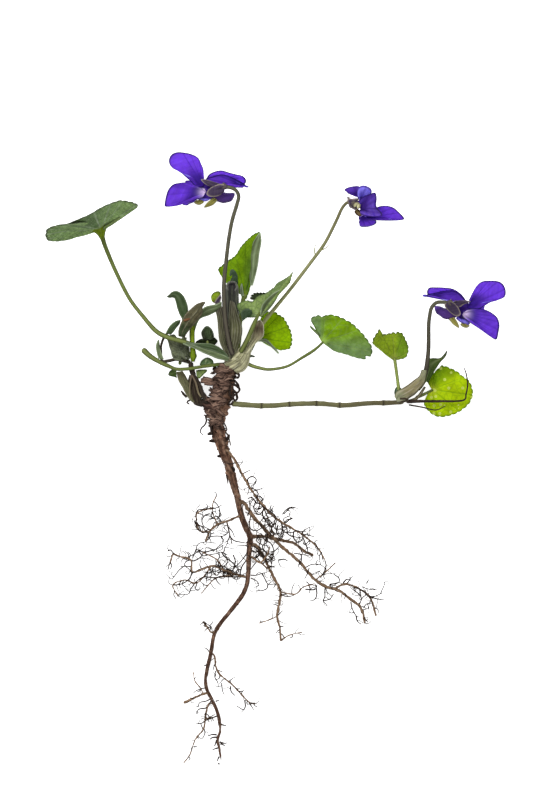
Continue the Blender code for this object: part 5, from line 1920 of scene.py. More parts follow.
UPPER_LEFT_NET = [
    [(-0.8, -27.5), (-0.4, -28.6), (-1.2, -29.7), (-2.3, -29.5), (-2.8, -28.6), (-2.1, -27.8),
     (-1.2, -28.4)],
    [(-2.4, -26.9), (-4.4, -27.3), (-5.9, -27.5), (-6.6, -28.8), (-6.2, -30.0), (-6.9, -30.4),
     (-6.2, -31.7), (-5.9, -32.6), (-4.4, -33.0), (-3.3, -33.3)],
    [(-3.0, -28.4), (-4.2, -28.8), (-5.0, -30.0), (-4.6, -31.5), (-3.3, -32.2)],
    [(-6.2, -30.7), (-6.5, -31.8), (-5.5, -32.6), (-4.8, -33.2), (-3.7, -32.9)],
    [(1.2, -30.7), (1.6, -32.2), (1.9, -33.6), (1.4, -35.5), (0.6, -37.3), (0.3, -38.4)],
    [(1.9, -34.0), (3.0, -35.1), (4.6, -35.5), (6.3, -35.8)],
    [(-3.3, -34.2), (-1.5, -34.0), (0.3, -34.0), (1.4, -33.1), (0.3, -31.8)],
    [(-0.1, -34.0), (0.3, -35.5), (-1.2, -36.9), (-2.3, -38.0)],
    [(-2.3, -25.3), (-1.6, -25.7), (-0.8, -26.8), (-0.4, -28.2)],
    [(-6.4, -30.4), (-5.7, -31.3), (-4.8, -31.7), (-4.1, -32.7), (-3.3, -32.2)],
    [(-4.2, -35.3), (-3.3, -34.7), (-2.8, -33.6), (-3.0, -32.6)],
    [(-1.7, -28.9), (-0.8, -29.5), (-0.1, -30.6), (-0.8, -31.1), (-1.9, -30.6)],
]  # fmt: skip
LOWER_LEFT_NET = [
    [(-12.2, -38.2), (-12.8, -39.8), (-13.2, -41.3), (-13.6, -42.4)],
    [(-13.5, -37.7), (-12.8, -37.5), (-12.2, -38.2), (-10.6, -39.1), (-9.1, -39.9)],
    [(-9.0, -40.0), (-8.3, -38.8), (-9.3, -37.6)],
    [(-8.1, -40.0), (-9.0, -40.4), (-9.3, -41.3), (-8.1, -42.4), (-7.3, -43.1), (-4.8, -42.0),
     (-2.3, -41.3), (-0.4, -41.3), (2.1, -42.4), (3.9, -43.4), (5.7, -43.8)],
    [(-9.1, -41.3), (-10.6, -42.4), (-11.7, -43.8), (-12.5, -44.9)],
    [(-7.3, -43.1), (-8.4, -44.9), (-10.2, -46.0), (-12.3, -46.2)],
    [(5.7, -44.2), (3.5, -44.2), (0.6, -44.2), (-2.3, -44.4), (-4.4, -44.2), (-6.2, -45.2),
     (-7.7, -47.1), (-8.4, -48.5), (-10.2, -48.6), (-11.3, -49.1)],
    [(-6.2, -45.7), (-6.6, -47.1), (-5.9, -47.6), (-5.4, -46.4)],
    [(-5.9, -37.6), (-4.4, -38.0), (-2.6, -37.6), (-0.8, -37.0), (0.3, -36.2)],
    [(-5.9, -37.7), (-4.8, -38.9), (-3.3, -38.7), (-1.5, -38.4), (-0.1, -38.0), (1.4, -38.7)],
    [(-8.1, -40.0), (-7.0, -40.2), (-5.5, -39.4), (-4.8, -38.4), (-4.0, -37.6)],
    [(-7.3, -39.4), (-6.6, -37.6), (-5.9, -36.0), (-4.1, -35.5), (-1.5, -35.8)],
    [(-2.3, -41.6), (-2.2, -43.1), (-1.2, -43.8), (-0.4, -42.4), (-1.2, -41.6), (-2.1, -41.8)],
    [(-0.1, -38.0), (0.6, -39.1), (2.1, -40.2), (3.5, -41.6), (4.3, -43.1)],
    [(2.8, -38.7), (3.3, -40.2), (3.0, -41.6), (2.5, -43.1)],
    [(6.4, -38.0), (5.0, -40.0), (3.5, -41.6), (2.8, -42.4)],
    [(6.3, -39.8), (5.0, -41.6), (4.6, -43.4), (5.0, -44.2)],
    [(0.6, -44.2), (0.3, -43.1), (1.4, -42.4), (2.8, -43.1), (4.0, -44.6)],
    [(-4.1, -41.6), (-3.0, -42.3), (-2.6, -43.8), (-3.7, -44.5)],
    [(-0.8, -38.0), (-0.7, -39.4), (-1.5, -40.9), (-0.4, -41.6), (1.0, -41.6)],
    [(6.4, -36.5), (5.0, -36.4), (3.5, -36.5)],
    [(-1.2, -43.1), (0.6, -42.9), (2.1, -43.6), (3.5, -44.9)],
]  # fmt: skip
UPPER_RIGHT_NET = [
    [(6.8, -21.1), (6.4, -19.9), (7.4, -19.1), (8.5, -19.7), (8.3, -20.9), (7.4, -21.4),
     (7.9, -22.4)],
    [(6.6, -21.7), (8.3, -22.4), (9.1, -23.5), (8.3, -24.6), (7.2, -25.3), (6.4, -24.9)],
    [(8.6, -24.9), (7.9, -26.8), (8.6, -28.2), (10.1, -28.9), (10.8, -30.4), (10.3, -31.8)],
    [(6.4, -24.6), (7.6, -24.4), (8.6, -25.7), (10.1, -25.7), (9.7, -27.1), (8.3, -27.3)],
    [(10.8, -26.8), (10.1, -28.2), (10.8, -30.0), (12.2, -31.8), (13.0, -34.0)],
    [(14.1, -29.7), (15.1, -31.5), (14.8, -33.3), (14.1, -34.4)],
    [(13.3, -30.7), (12.2, -32.6), (13.4, -33.7), (14.4, -33.3)],
    [(9.3, -23.9), (10.1, -24.7), (9.7, -25.7), (10.8, -26.4), (11.5, -28.2), (13.3, -28.9)],
    [(11.9, -27.8), (13.3, -28.9), (13.0, -30.7), (11.9, -31.5), (11.2, -29.7)],
    [(8.3, -25.7), (9.7, -26.0), (10.4, -27.1), (9.3, -28.6), (7.9, -28.2)],
    [(7.2, -28.8), (6.9, -30.7), (7.2, -32.2), (8.6, -32.6), (9.9, -31.8), (9.3, -30.7),
     (8.2, -30.9)], [(6.4, -28.9), (7.0, -27.1), (6.8, -25.3)],
    [(10.1, -29.3), (11.9, -30.0), (13.3, -32.2), (14.1, -32.2)],
    [(15.1, -28.6), (15.9, -27.5), (17.3, -26.7), (19.0, -27.1)],
    [(15.9, -30.7), (17.3, -29.5), (17.6, -29.7)],
    [(14.8, -31.8), (16.1, -31.8), (16.6, -33.6), (19.1, -34.4)],
]  # fmt: skip
RIGHT_NET = [
    [(15.6, -31.0), (16.2, -29.9), (17.7, -29.7)], [(15.5, -28.5), (16.9, -27.1), (18.7, -27.0)],
    [(18.2, -32.5), (20.1, -32.8), (21.4, -32.0), (22.7, -31.5)],
    [(20.1, -33.5), (21.8, -33.8), (23.1, -34.2)], [(14.0, -31.2), (13.6, -32.8), (14.3, -34.1)],
    [(14.9, -31.2), (15.3, -33.1), (14.9, -34.8)],
    [(17.9, -32.8), (17.9, -34.4), (18.8, -35.5), (19.8, -35.1), (20.2, -34.2), (19.2, -34.4)],
    [(20.1, -34.1), (20.8, -35.7), (21.4, -37.4), (21.4, -38.4)],
    [(21.8, -35.1), (20.8, -36.1), (20.1, -35.7)],
    [(25.7, -40.0), (26.0, -41.6), (25.3, -43.2), (24.6, -44.5)],
    [(25.0, -38.0), (24.3, -39.0), (24.5, -40.0)], [(23.7, -36.4), (23.2, -37.0)],
]  # fmt: skip
LONG_RIGHT_NET = [
    [(18.0, -38.3), (19.5, -38.5), (21.8, -39.0)], [(19.8, -38.5), (19.8, -40.3), (19.3, -41.0)],
    [(20.8, -41.9), (22.4, -41.1), (24.4, -41.1), (25.7, -41.9)],
    [(21.8, -41.9), (21.4, -43.2), (20.6, -44.8)], [(23.4, -43.2), (24.7, -42.6)],
    [(27.9, -43.5), (29.2, -44.5), (29.2, -45.5), (27.6, -46.5)],
    [(30.2, -45.8), (31.2, -44.8), (32.2, -45.2)],
    [(32.8, -46.8), (34.8, -47.4), (36.7, -49.1), (38.0, -49.1), (40.3, -48.1)],
    [(35.1, -46.6), (36.1, -47.1), (38.0, -47.4), (39.0, -47.1)], [(36.1, -45.9), (36.7, -44.8)],
    [(36.7, -49.1), (38.7, -49.7), (40.6, -50.0)], [(34.4, -51.0), (35.1, -49.4), (36.1, -48.7)],
    [(35.4, -52.0), (36.1, -51.0), (37.4, -50.8)], [(35.4, -52.4), (36.8, -52.0)],
    [(39.6, -48.4), (40.6, -46.1), (40.8, -45.5)],
    [(32.2, -50.4), (32.5, -52.0), (33.5, -53.9), (34.4, -54.3)],
    [(33.5, -53.9), (33.8, -55.2), (34.8, -56.1)],
    [(25.7, -47.1), (25.7, -49.1), (25.3, -50.2), (26.3, -51.2)],
    [(25.3, -50.2), (27.0, -49.7), (27.9, -48.4)],
    [(23.4, -46.1), (23.7, -48.4), (23.1, -49.9), (21.9, -50.0)],
    [(20.8, -47.3), (23.1, -47.4), (23.8, -46.3)],
    [(32.8, -47.4), (34.4, -48.7), (34.8, -50.0), (34.1, -51.0)],
    [(27.0, -46.1), (28.3, -45.8), (29.4, -45.5)],
]  # fmt: skip
MIDDLE_NET = [
    [(7.2, -43.8), (8.6, -43.8), (10.1, -43.3), (11.2, -43.1)],
    [(10.1, -43.4), (10.8, -44.9), (11.5, -46.0), (13.4, -46.0)],
    [(11.5, -46.0), (11.2, -47.1), (10.1, -47.6), (9.0, -47.4)],
    [(7.2, -44.5), (8.6, -45.2), (9.2, -46.3), (7.9, -46.9)],
    [(14.4, -48.1), (15.9, -49.1), (17.7, -48.9), (19.1, -48.1)], [(13.3, -50.7), (14.7, -50.9)],
    [(14.4, -56.7), (15.5, -56.5)], [(12.2, -38.0), (13.3, -37.6), (14.4, -36.5)],
    [(14.1, -40.0), (15.5, -39.8), (16.4, -40.2)],
]  # fmt: skip
CLUSTER_NET = [
    [(8.6, -33.6), (9.7, -35.1), (9.3, -36.5), (10.8, -38.0), (12.2, -39.8)],
    [(10.8, -33.6), (11.2, -35.5), (10.1, -36.5), (10.8, -38.0), (11.9, -38.4), (13.3, -39.4)],
    [(9.7, -33.3), (10.8, -35.1), (12.2, -35.8), (13.0, -38.0), (12.2, -40.2)],
    [(7.5, -37.6), (8.6, -38.0), (10.1, -37.3), (11.2, -38.4), (10.4, -39.4)],
    [(6.8, -39.4), (8.3, -39.4), (9.3, -38.7), (8.8, -37.6)],
    [(13.0, -38.4), (11.9, -39.1), (13.3, -39.8), (12.2, -40.5)],
    [(7.9, -36.5), (9.7, -38.0), (10.8, -39.8), (11.9, -39.8)],
    [(9.3, -33.6), (8.6, -35.1), (10.1, -36.2), (11.9, -36.5)],
]  # fmt: skip
LOW_TUFT_NET = [
    [(-2.6, -56.7), (-3.4, -56.2), (-4.5, -55.3)], [(-2.6, -56.8), (-3.8, -56.7), (-4.8, -56.2)],
    [(-3.1, -56.4), (-2.4, -55.7), (-2.3, -55.2)], [(-3.7, -56.7), (-4.1, -56.0), (-4.6, -55.2)],
]  # fmt: skip
LOW_LEFT_NET = [
    [(-3.1, -63.1), (-3.8, -62.2), (-4.6, -61.9)], [(-3.7, -66.1), (-4.6, -66.5)],
    [(-5.3, -72.2), (-6.5, -72.7), (-7.3, -73.4)],
    [(-2.6, -74.6), (-4.1, -75.3), (-5.5, -75.6), (-6.1, -76.6)], [(-5.3, -72.1), (-4.1, -72.0)],
]  # fmt: skip
LOW_LONG_NET = [
    [(-2.8, -75.3), (-3.8, -76.9), (-5.8, -77.3), (-6.3, -78.6)],
    [(-1.3, -79.0), (-2.8, -79.6), (-4.1, -80.1), (-5.1, -80.8), (-6.7, -81.0)],
    [(-1.8, -78.6), (-3.4, -79.4)], [(-2.4, -79.5), (-2.1, -80.3)],
    [(-4.5, -82.0), (-4.3, -83.4), (-5.1, -84.7), (-6.1, -83.9)], [(-7.0, -85.0), (-7.8, -85.0)],
    [(-7.0, -86.6), (-6.1, -86.6)],
]  # fmt: skip
LOW_RIGHT_NET = [
    [(-1.6, -67.7), (-1.8, -69.2), (-1.1, -70.5), (-0.9, -71.6)], [(0.4, -69.7), (-0.7, -70.9)],
    [(-0.1, -70.7), (0.1, -72.6), (0.6, -73.8)], [(2.0, -70.9), (2.3, -70.2)],
    [(2.1, -71.5), (2.3, -72.9), (3.3, -73.9)], [(4.1, -72.9), (5.3, -72.7)],
    [(5.7, -75.1), (5.8, -76.6), (5.3, -77.4), (3.6, -76.4)], [(6.7, -75.6), (8.0, -77.5)],
]  # fmt: skip
SPRAYS = [
    RootSpray(
        "root_upper_right",
        [
            [(1.2, -12.6, 3.3), (3.1, -14.8, 4.7), (5.0, -18.5, 5.5), (7.6, -22.8, 5.6),
             (10.2, -26.3, 5.5),
             (13.8, -29.8, 5.4), (17.8, -32.2, 5.3), (20.9, -34.2, 5.2), (24.0, -37.0, 5.0),
             (25.7, -40.0, 4.8)],
            [(10.2, -26.3, 5.5), (12.0, -31.0, 5.8), (13.2, -35.0, 5.6)],
        ],
        [[0.36, 0.3, 0.28, 0.2], [0.2, 0.16]],
        16, 4.0, 3, (4.7, 6.8), UPPER_RIGHT_NET + RIGHT_NET,
    ),
    RootSpray(
        "root_long_right",
        [
            [(5.4, -25.6, 2.7), (7.6, -28.8, 3.0), (10.7, -32.3, 3.2), (14.8, -36.5, 3.2),
             (19.4, -40.5, 3.1), (22.9, -44.6, 2.9), (26.0, -46.7, 2.6), (29.0, -47.5, 2.4),
             (32.1, -49.8, 2.0), (34.2, -51.3, 1.8), (35.2, -53.3, 1.4), (35.7, -55.8, 1.0)],
            [(28.0, -47.2, 2.5), (31.1, -46.0, 2.4), (35.2, -47.7, 2.0), (37.4, -50.2, 1.6),
             (38.5, -54.0, 1.0)],
            [(23.4, -45.0, 2.9), (26.3, -42.6, 3.0), (28.4, -40.6, 2.8)],
        ],
        [[0.46, 0.42, 0.4, 0.3], [0.28, 0.24], [0.2, 0.16]],
        14, 3.4, 5, (1.0, 4.0), LONG_RIGHT_NET,
    ),
    RootSpray(
        "root_stub_right",
        [
            [(8.2, -34.1, 1.2), (11.0, -34.2, 1.0), (13.8, -34.9, 0.9), (17.8, -35.7, 0.9),
             (20.4, -37.7, 0.8), (22.9, -38.9, 0.8)],
        ],
        [[0.44, 0.42, 0.34, 0.36]],
        3, 2.6, 8, (0.4, 1.6), [],
    ),
    RootSpray(
        "root_middle",
        [
            [(8.1, -36.2, 1.3), (9.2, -37.2, 1.1), (11.0, -40.5, 0.9), (12.7, -43.9, 0.8),
             (14.5, -47.7, 0.7), (14.3, -50.7, 0.6), (13.8, -54.0, 0.6), (14.5, -57.3, 0.6),
             (14.6, -60.3, 0.5)],
            [(14.6, -60.2, 0.5), (16.8, -58.8, 0.5), (20.1, -58.0, 0.4)],
            [(13.9, -54.0, 0.6), (11.6, -55.0, 0.5), (9.2, -55.8, 0.4)],
            [(14.4, -47.9, 0.7), (18.3, -48.5, 0.8), (20.3, -46.8, 0.8), (23.2, -45.9, 0.7)],
        ],
        [[0.42, 0.36, 0.3, 0.22], [0.18, 0.14], [0.16, 0.14], [0.18, 0.15]],
        12, 3.2, 13, (0.35, 1.5), MIDDLE_NET,
    ),
    RootSpray(
        "root_cluster",
        [
            [(7.9, -39.5, 2.3), (9.6, -40.6, 2.6), (11.2, -38.8, 2.5), (12.0, -36.6, 2.4)],
            [(9.6, -40.6, 2.6), (11.6, -42.3, 2.4)],
        ],
        [[0.26, 0.2], [0.2, 0.16]],
        9, 3.6, 21, (1.9, 2.5), CLUSTER_NET,
    ),
    RootSpray(
        "root_upper_left",
        [
            [(3.6, -29.3, 2.2), (1.5, -30.2, 2.5), (-1.1, -31.1, 2.6), (-3.1, -32.9, 2.6),
             (-4.1, -35.4, 2.4)],
            [(-1.1, -31.1, 2.6), (-2.2, -28.4, 3.0), (-2.3, -26.0, 3.3), (-1.3, -23.9, 3.4)],
            [(-3.1, -32.9, 2.6), (-5.7, -32.6, 3.0), (-6.4, -28.8, 3.2), (-4.6, -27.5, 3.2),
             (-2.4, -27.2, 3.3)],
            [(1.2, -30.3, 2.5), (1.8, -33.0, 2.8), (2.6, -36.0, 2.9)],
        ],
        [[0.34, 0.24], [0.2, 0.14], [0.22, 0.14], [0.18, 0.14]],
        14, 3.4, 34, (1.4, 4.2), UPPER_LEFT_NET,
    ),
    RootSpray(
        "root_lower_left",
        [
            [(5.7, -44.2, 1.3), (3.5, -43.6, 1.5), (0.5, -42.5, 1.8), (-2.6, -41.5, 1.8),
             (-7.2, -43.0, 1.6), (-7.8, -40.0, 1.5), (-10.2, -39.2, 1.2), (-12.3, -38.5, 1.0)],
            [(-12.3, -38.5, 1.0), (-12.9, -40.5, 0.8), (-13.4, -41.6, 0.5)],
            [(0.5, -42.5, 1.8), (-1.4, -39.8, 2.0), (-5.0, -38.0, 1.8)],
            [(-2.6, -41.5, 1.8), (-6.1, -45.6, 1.2), (-9.4, -45.0, 0.9), (-12.3, -46.3, 0.6),
             (-10.8, -49.2, 0.5)],
            [(3.5, -43.6, 1.5), (-1.6, -44.6, 0.9), (-5.2, -48.4, 0.7)],
        ],
        [[0.3, 0.2], [0.18, 0.14], [0.2, 0.15], [0.2, 0.14], [0.2, 0.14]],
        16, 3.8, 55, (0.35, 2.6), LOWER_LEFT_NET,
    ),
    RootSpray(
        "root_low_left",
        [
            [(-4.4, -73.4, 0.9), (-6.2, -74.1, 0.8), (-9.6, -75.8, 0.6)],
            [(-4.7, -73.5, 0.9), (-5.4, -72.0, 0.9), (-6.8, -70.2, 0.8), (-7.2, -68.0, 0.7)],
        ],
        [[0.34, 0.3, 0.36], [0.17, 0.14]],
        3, 1.6, 5, (0.35, 1.2), LOW_LEFT_NET, extra=2,
    ),
    RootSpray(
        "root_low_left_long",
        [
            [(-3.3, -75.9, 0.7), (-3.8, -77.4, 0.7), (-4.2, -79.8, 0.7), (-4.7, -82.4, 0.6),
             (-6.7, -84.9, 0.5), (-8.0, -88.5, 0.5), (-9.6, -90.8, 0.4)],
            [(-4.6, -79.9, 0.7), (-3.1, -79.4, 0.7), (-1.9, -79.3, 0.7)],
        ],
        [[0.22, 0.16], [0.16, 0.14]],
        7, 2.2, 2, (0.35, 1.2), LOW_LONG_NET, extra=3,
    ),
    RootSpray(
        "root_low_right",
        [
            [(-1.9, -64.0, 0.8), (-1.6, -66.5, 0.9), (-0.5, -68.6, 0.8), (2.5, -71.1, 0.7),
             (5.6, -74.4, 0.6), (7.1, -75.7, 0.5), (8.7, -76.0, 0.4)],
        ],
        [[0.26, 0.24, 0.2, 0.16]],
        9, 2.4, 4, (0.35, 1.4), LOW_RIGHT_NET, extra=3,
    ),
    RootSpray(
        "root_low_tuft",
        [
            [(-2.8, -58.0, 1.0), (-3.8, -56.6, 1.1), (-4.9, -55.3, 1.0)],
        ],
        [[0.24, 0.18]],
        4, 1.8, 9, (0.4, 1.6), LOW_TUFT_NET, extra=3,
    ),
]  # fmt: skip


PETAL_WALL = 0.16
SEPAL_WALL, HIDDEN_SEPAL_WALL = 0.2, 0.22
FIRST_PETAL_VEIN, PETAL_VEIN_STEP = 0.4, 0.3


@dataclass
class Petal:
    """A petal that the others hide in part: its spine as offsets from the throat."""

    spine: list[Point]
    facing: Point
    half_width: float = 3.0

    def model(self, throat: Point) -> bpy.types.Object:
        """Models the petal as a blade that starts in the throat.

        Args:
            throat: The bloom's throat.

        Returns:
            The petal.
        """
        spine = [tuple(Vector(throat) + Vector(offset)) for offset in self.spine]
        blade = Ribbon(
            spine, self.facing, half_width=self.half_width, roll=22, foot=0.26, widest=0.68,
            ruffle=0.25, veins=5, patch_end=0.24, columns=26, rows=34,
        )  # fmt: skip
        return blade.model("petal", [PETAL_DEEP, PETAL_SHADE], PETAL_WALL)


@dataclass
class Bloom:
    """A violet bloom: five petals and a spur, five sepals on the stalk, and the style.

    mouth is the way that the bloom looks. sepals are the hidden ones, each by its heading, the
    side it faces, its length and half its width, and front are those that are seen.
    """

    name: str
    stalk: list[Point]
    throat: Point
    mouth: Point
    petals: Sequence[Fan]
    shades: Sequence[SkinFinish]
    hidden: Sequence[Petal]
    spur: list[Point]
    sepals: list[tuple[Point, Point, float, float]]
    front: Sequence[tuple[Fan, SkinFinish]] = ()
    girth: float = 1.0
    bracts: list[list[Point]] = field(default_factory=list)
    stalk_finish: SkinFinish = STALK_DUSKY
    spur_radii: Sequence[float] = (0.7, 1.1, 1.35, 1.35, 1.1, 0.5)
    cup_radii: Sequence[float] = (0.5, 0.8, 0.6)
    cup_depth: float = 0.8
    cup_reach: float = 1.2
    bract_radii: Sequence[float] = (0.16, 0.14, 0.05)
    style_radii: Sequence[float] = (0.3, 0.26, 0.16)
    sepal_curl: float = 12.0

    def corolla(self) -> bpy.types.Object:
        """Models the petals and the spur.

        Returns:
            The joined piece.
        """
        sac = Stem(self.spur, self.spur_radii, columns=20, rough=0.12, lump=0.7, flute=0.03)
        parts = [sac.model("spur", [SPUR_PLUM])]
        for petal, shade in zip(self.petals, self.shades):
            parts.append(petal.model("petal", [shade, PETAL_LIGHT], PETAL_WALL))
        parts += [petal.model(self.throat) for petal in self.hidden]
        return joined("violet_" + self.name + "_corolla", parts)

    def calyx(self) -> bpy.types.Object:
        """Models the stalk with its hooked end, the cup, the sepals and the bracts.

        Returns:
            The joined piece.
        """
        cup = Vector(self.stalk[-1])
        along = (cup - Vector(self.stalk[-2])).normalized()
        radii = [0.63 * self.girth**0.3, 0.53 * self.girth, 0.5 * self.girth, 0.46 * self.girth]
        # The paler band along the stalk's top is a painted highlight.
        stalk = Stem(self.stalk, radii, columns=14, highlight_stripe=1.0, flute=0.05, rough=0.05)
        foot, mouth = cup - along * self.cup_depth, cup + along * self.cup_reach
        socket = Stem([tuple(foot), tuple(cup), tuple(mouth)], self.cup_radii, columns=14)
        parts = [
            stalk.model("stalk", [self.stalk_finish]),
            socket.model("cup", [SEPAL_PLUM]),
        ]
        for index, (heading, facing, length, half_width) in enumerate(self.sepals):
            spine = curled_spine(tuple(cup), heading, facing, length, self.sepal_curl)
            blade = Ribbon(
                spine, facing, half_width=half_width, roll=24, foot=0.7, widest=0.4,
                tip=Tip.ROUND if index else Tip.POINTED, veins=3, columns=12, rows=20,
                ruffle=0.1, seed=float(index),
            )  # fmt: skip
            parts.append(blade.model("sepal", [SEPAL_PLUM], HIDDEN_SEPAL_WALL))
        parts += [fan.model("sepal", [finish], SEPAL_WALL) for fan, finish in self.front]
        for way in self.bracts:
            bract = Stem(way, self.bract_radii, columns=6, spacing=0.3)
            parts.append(bract.model("bract", [STALK_TAN]))
        return joined("violet_" + self.name + "_stalk", parts)

    def style(self) -> bpy.types.Object:
        """Models the style, fluted by the anthers that ring it.

        Returns:
            The piece.
        """
        ahead = Vector(self.mouth).normalized()
        start = Vector(self.throat) + ahead * 0.7 - Z_AXIS * 0.6
        knob = Stem(
            [tuple(start), tuple(start + ahead * 0.8), tuple(start + ahead * 1.5)],
            self.style_radii, columns=12, spacing=0.15, flute=0.12,
        )  # fmt: skip
        return joined("violet_" + self.name + "_style", [knob.model("style", [STYLE_ORANGE])])

    def build(self) -> None:
        """Models the bloom's three pieces and seats them."""
        seat(self.corolla(), Slot.PETAL, self.name + "_corolla")
        seat(self.calyx(), Slot.STALK, self.name + "_stalk_and_calyx")
        seat(self.style(), Slot.STYLE, self.name + "_style")


def petal_fan(
    apex: Point,
    rim: Sequence[Point],
    patch: float = 0.0,
    tones: Sequence[float] = (0.5, 0.1, 0.0, 0.1, 0.5),
) -> Fan:
    """Makes a petal with veins to every part of its rim.

    Args:
        apex: The petal's foot.
        rim: Its rim, clockwise.
        patch: How far the pale patch reaches from the foot.
        tones: How dark the petal is from one side of its rim to the other.

    Returns:
        The petal, darker at its foot than farther out.
    """
    last = len(rim) - 1
    points = [(*spot, read_along(tones, index / last)) for index, spot in enumerate(rim)]
    count = int((last - FIRST_PETAL_VEIN) / PETAL_VEIN_STEP)
    rays = [FIRST_PETAL_VEIN + PETAL_VEIN_STEP * step for step in range(count)]
    return Fan(
        apex, points, rays, dome=0.35, ruffle=0.7, quilt=0.16, vein_width=0.06, branches=0.0,
        patch=patch, shade=1.0, seed=rim[0][0],
    )  # fmt: skip


def sepal_fan(apex: Point, rim: Sequence[Point]) -> Fan:
    """Makes a small flat sepal with a vein down its middle."""
    points = [(*spot, 0.0) for spot in rim]
    return Fan(apex, points, [(len(rim) - 1) / 2], dome=0.4, branches=0.0, patch=0.0, rows=12)


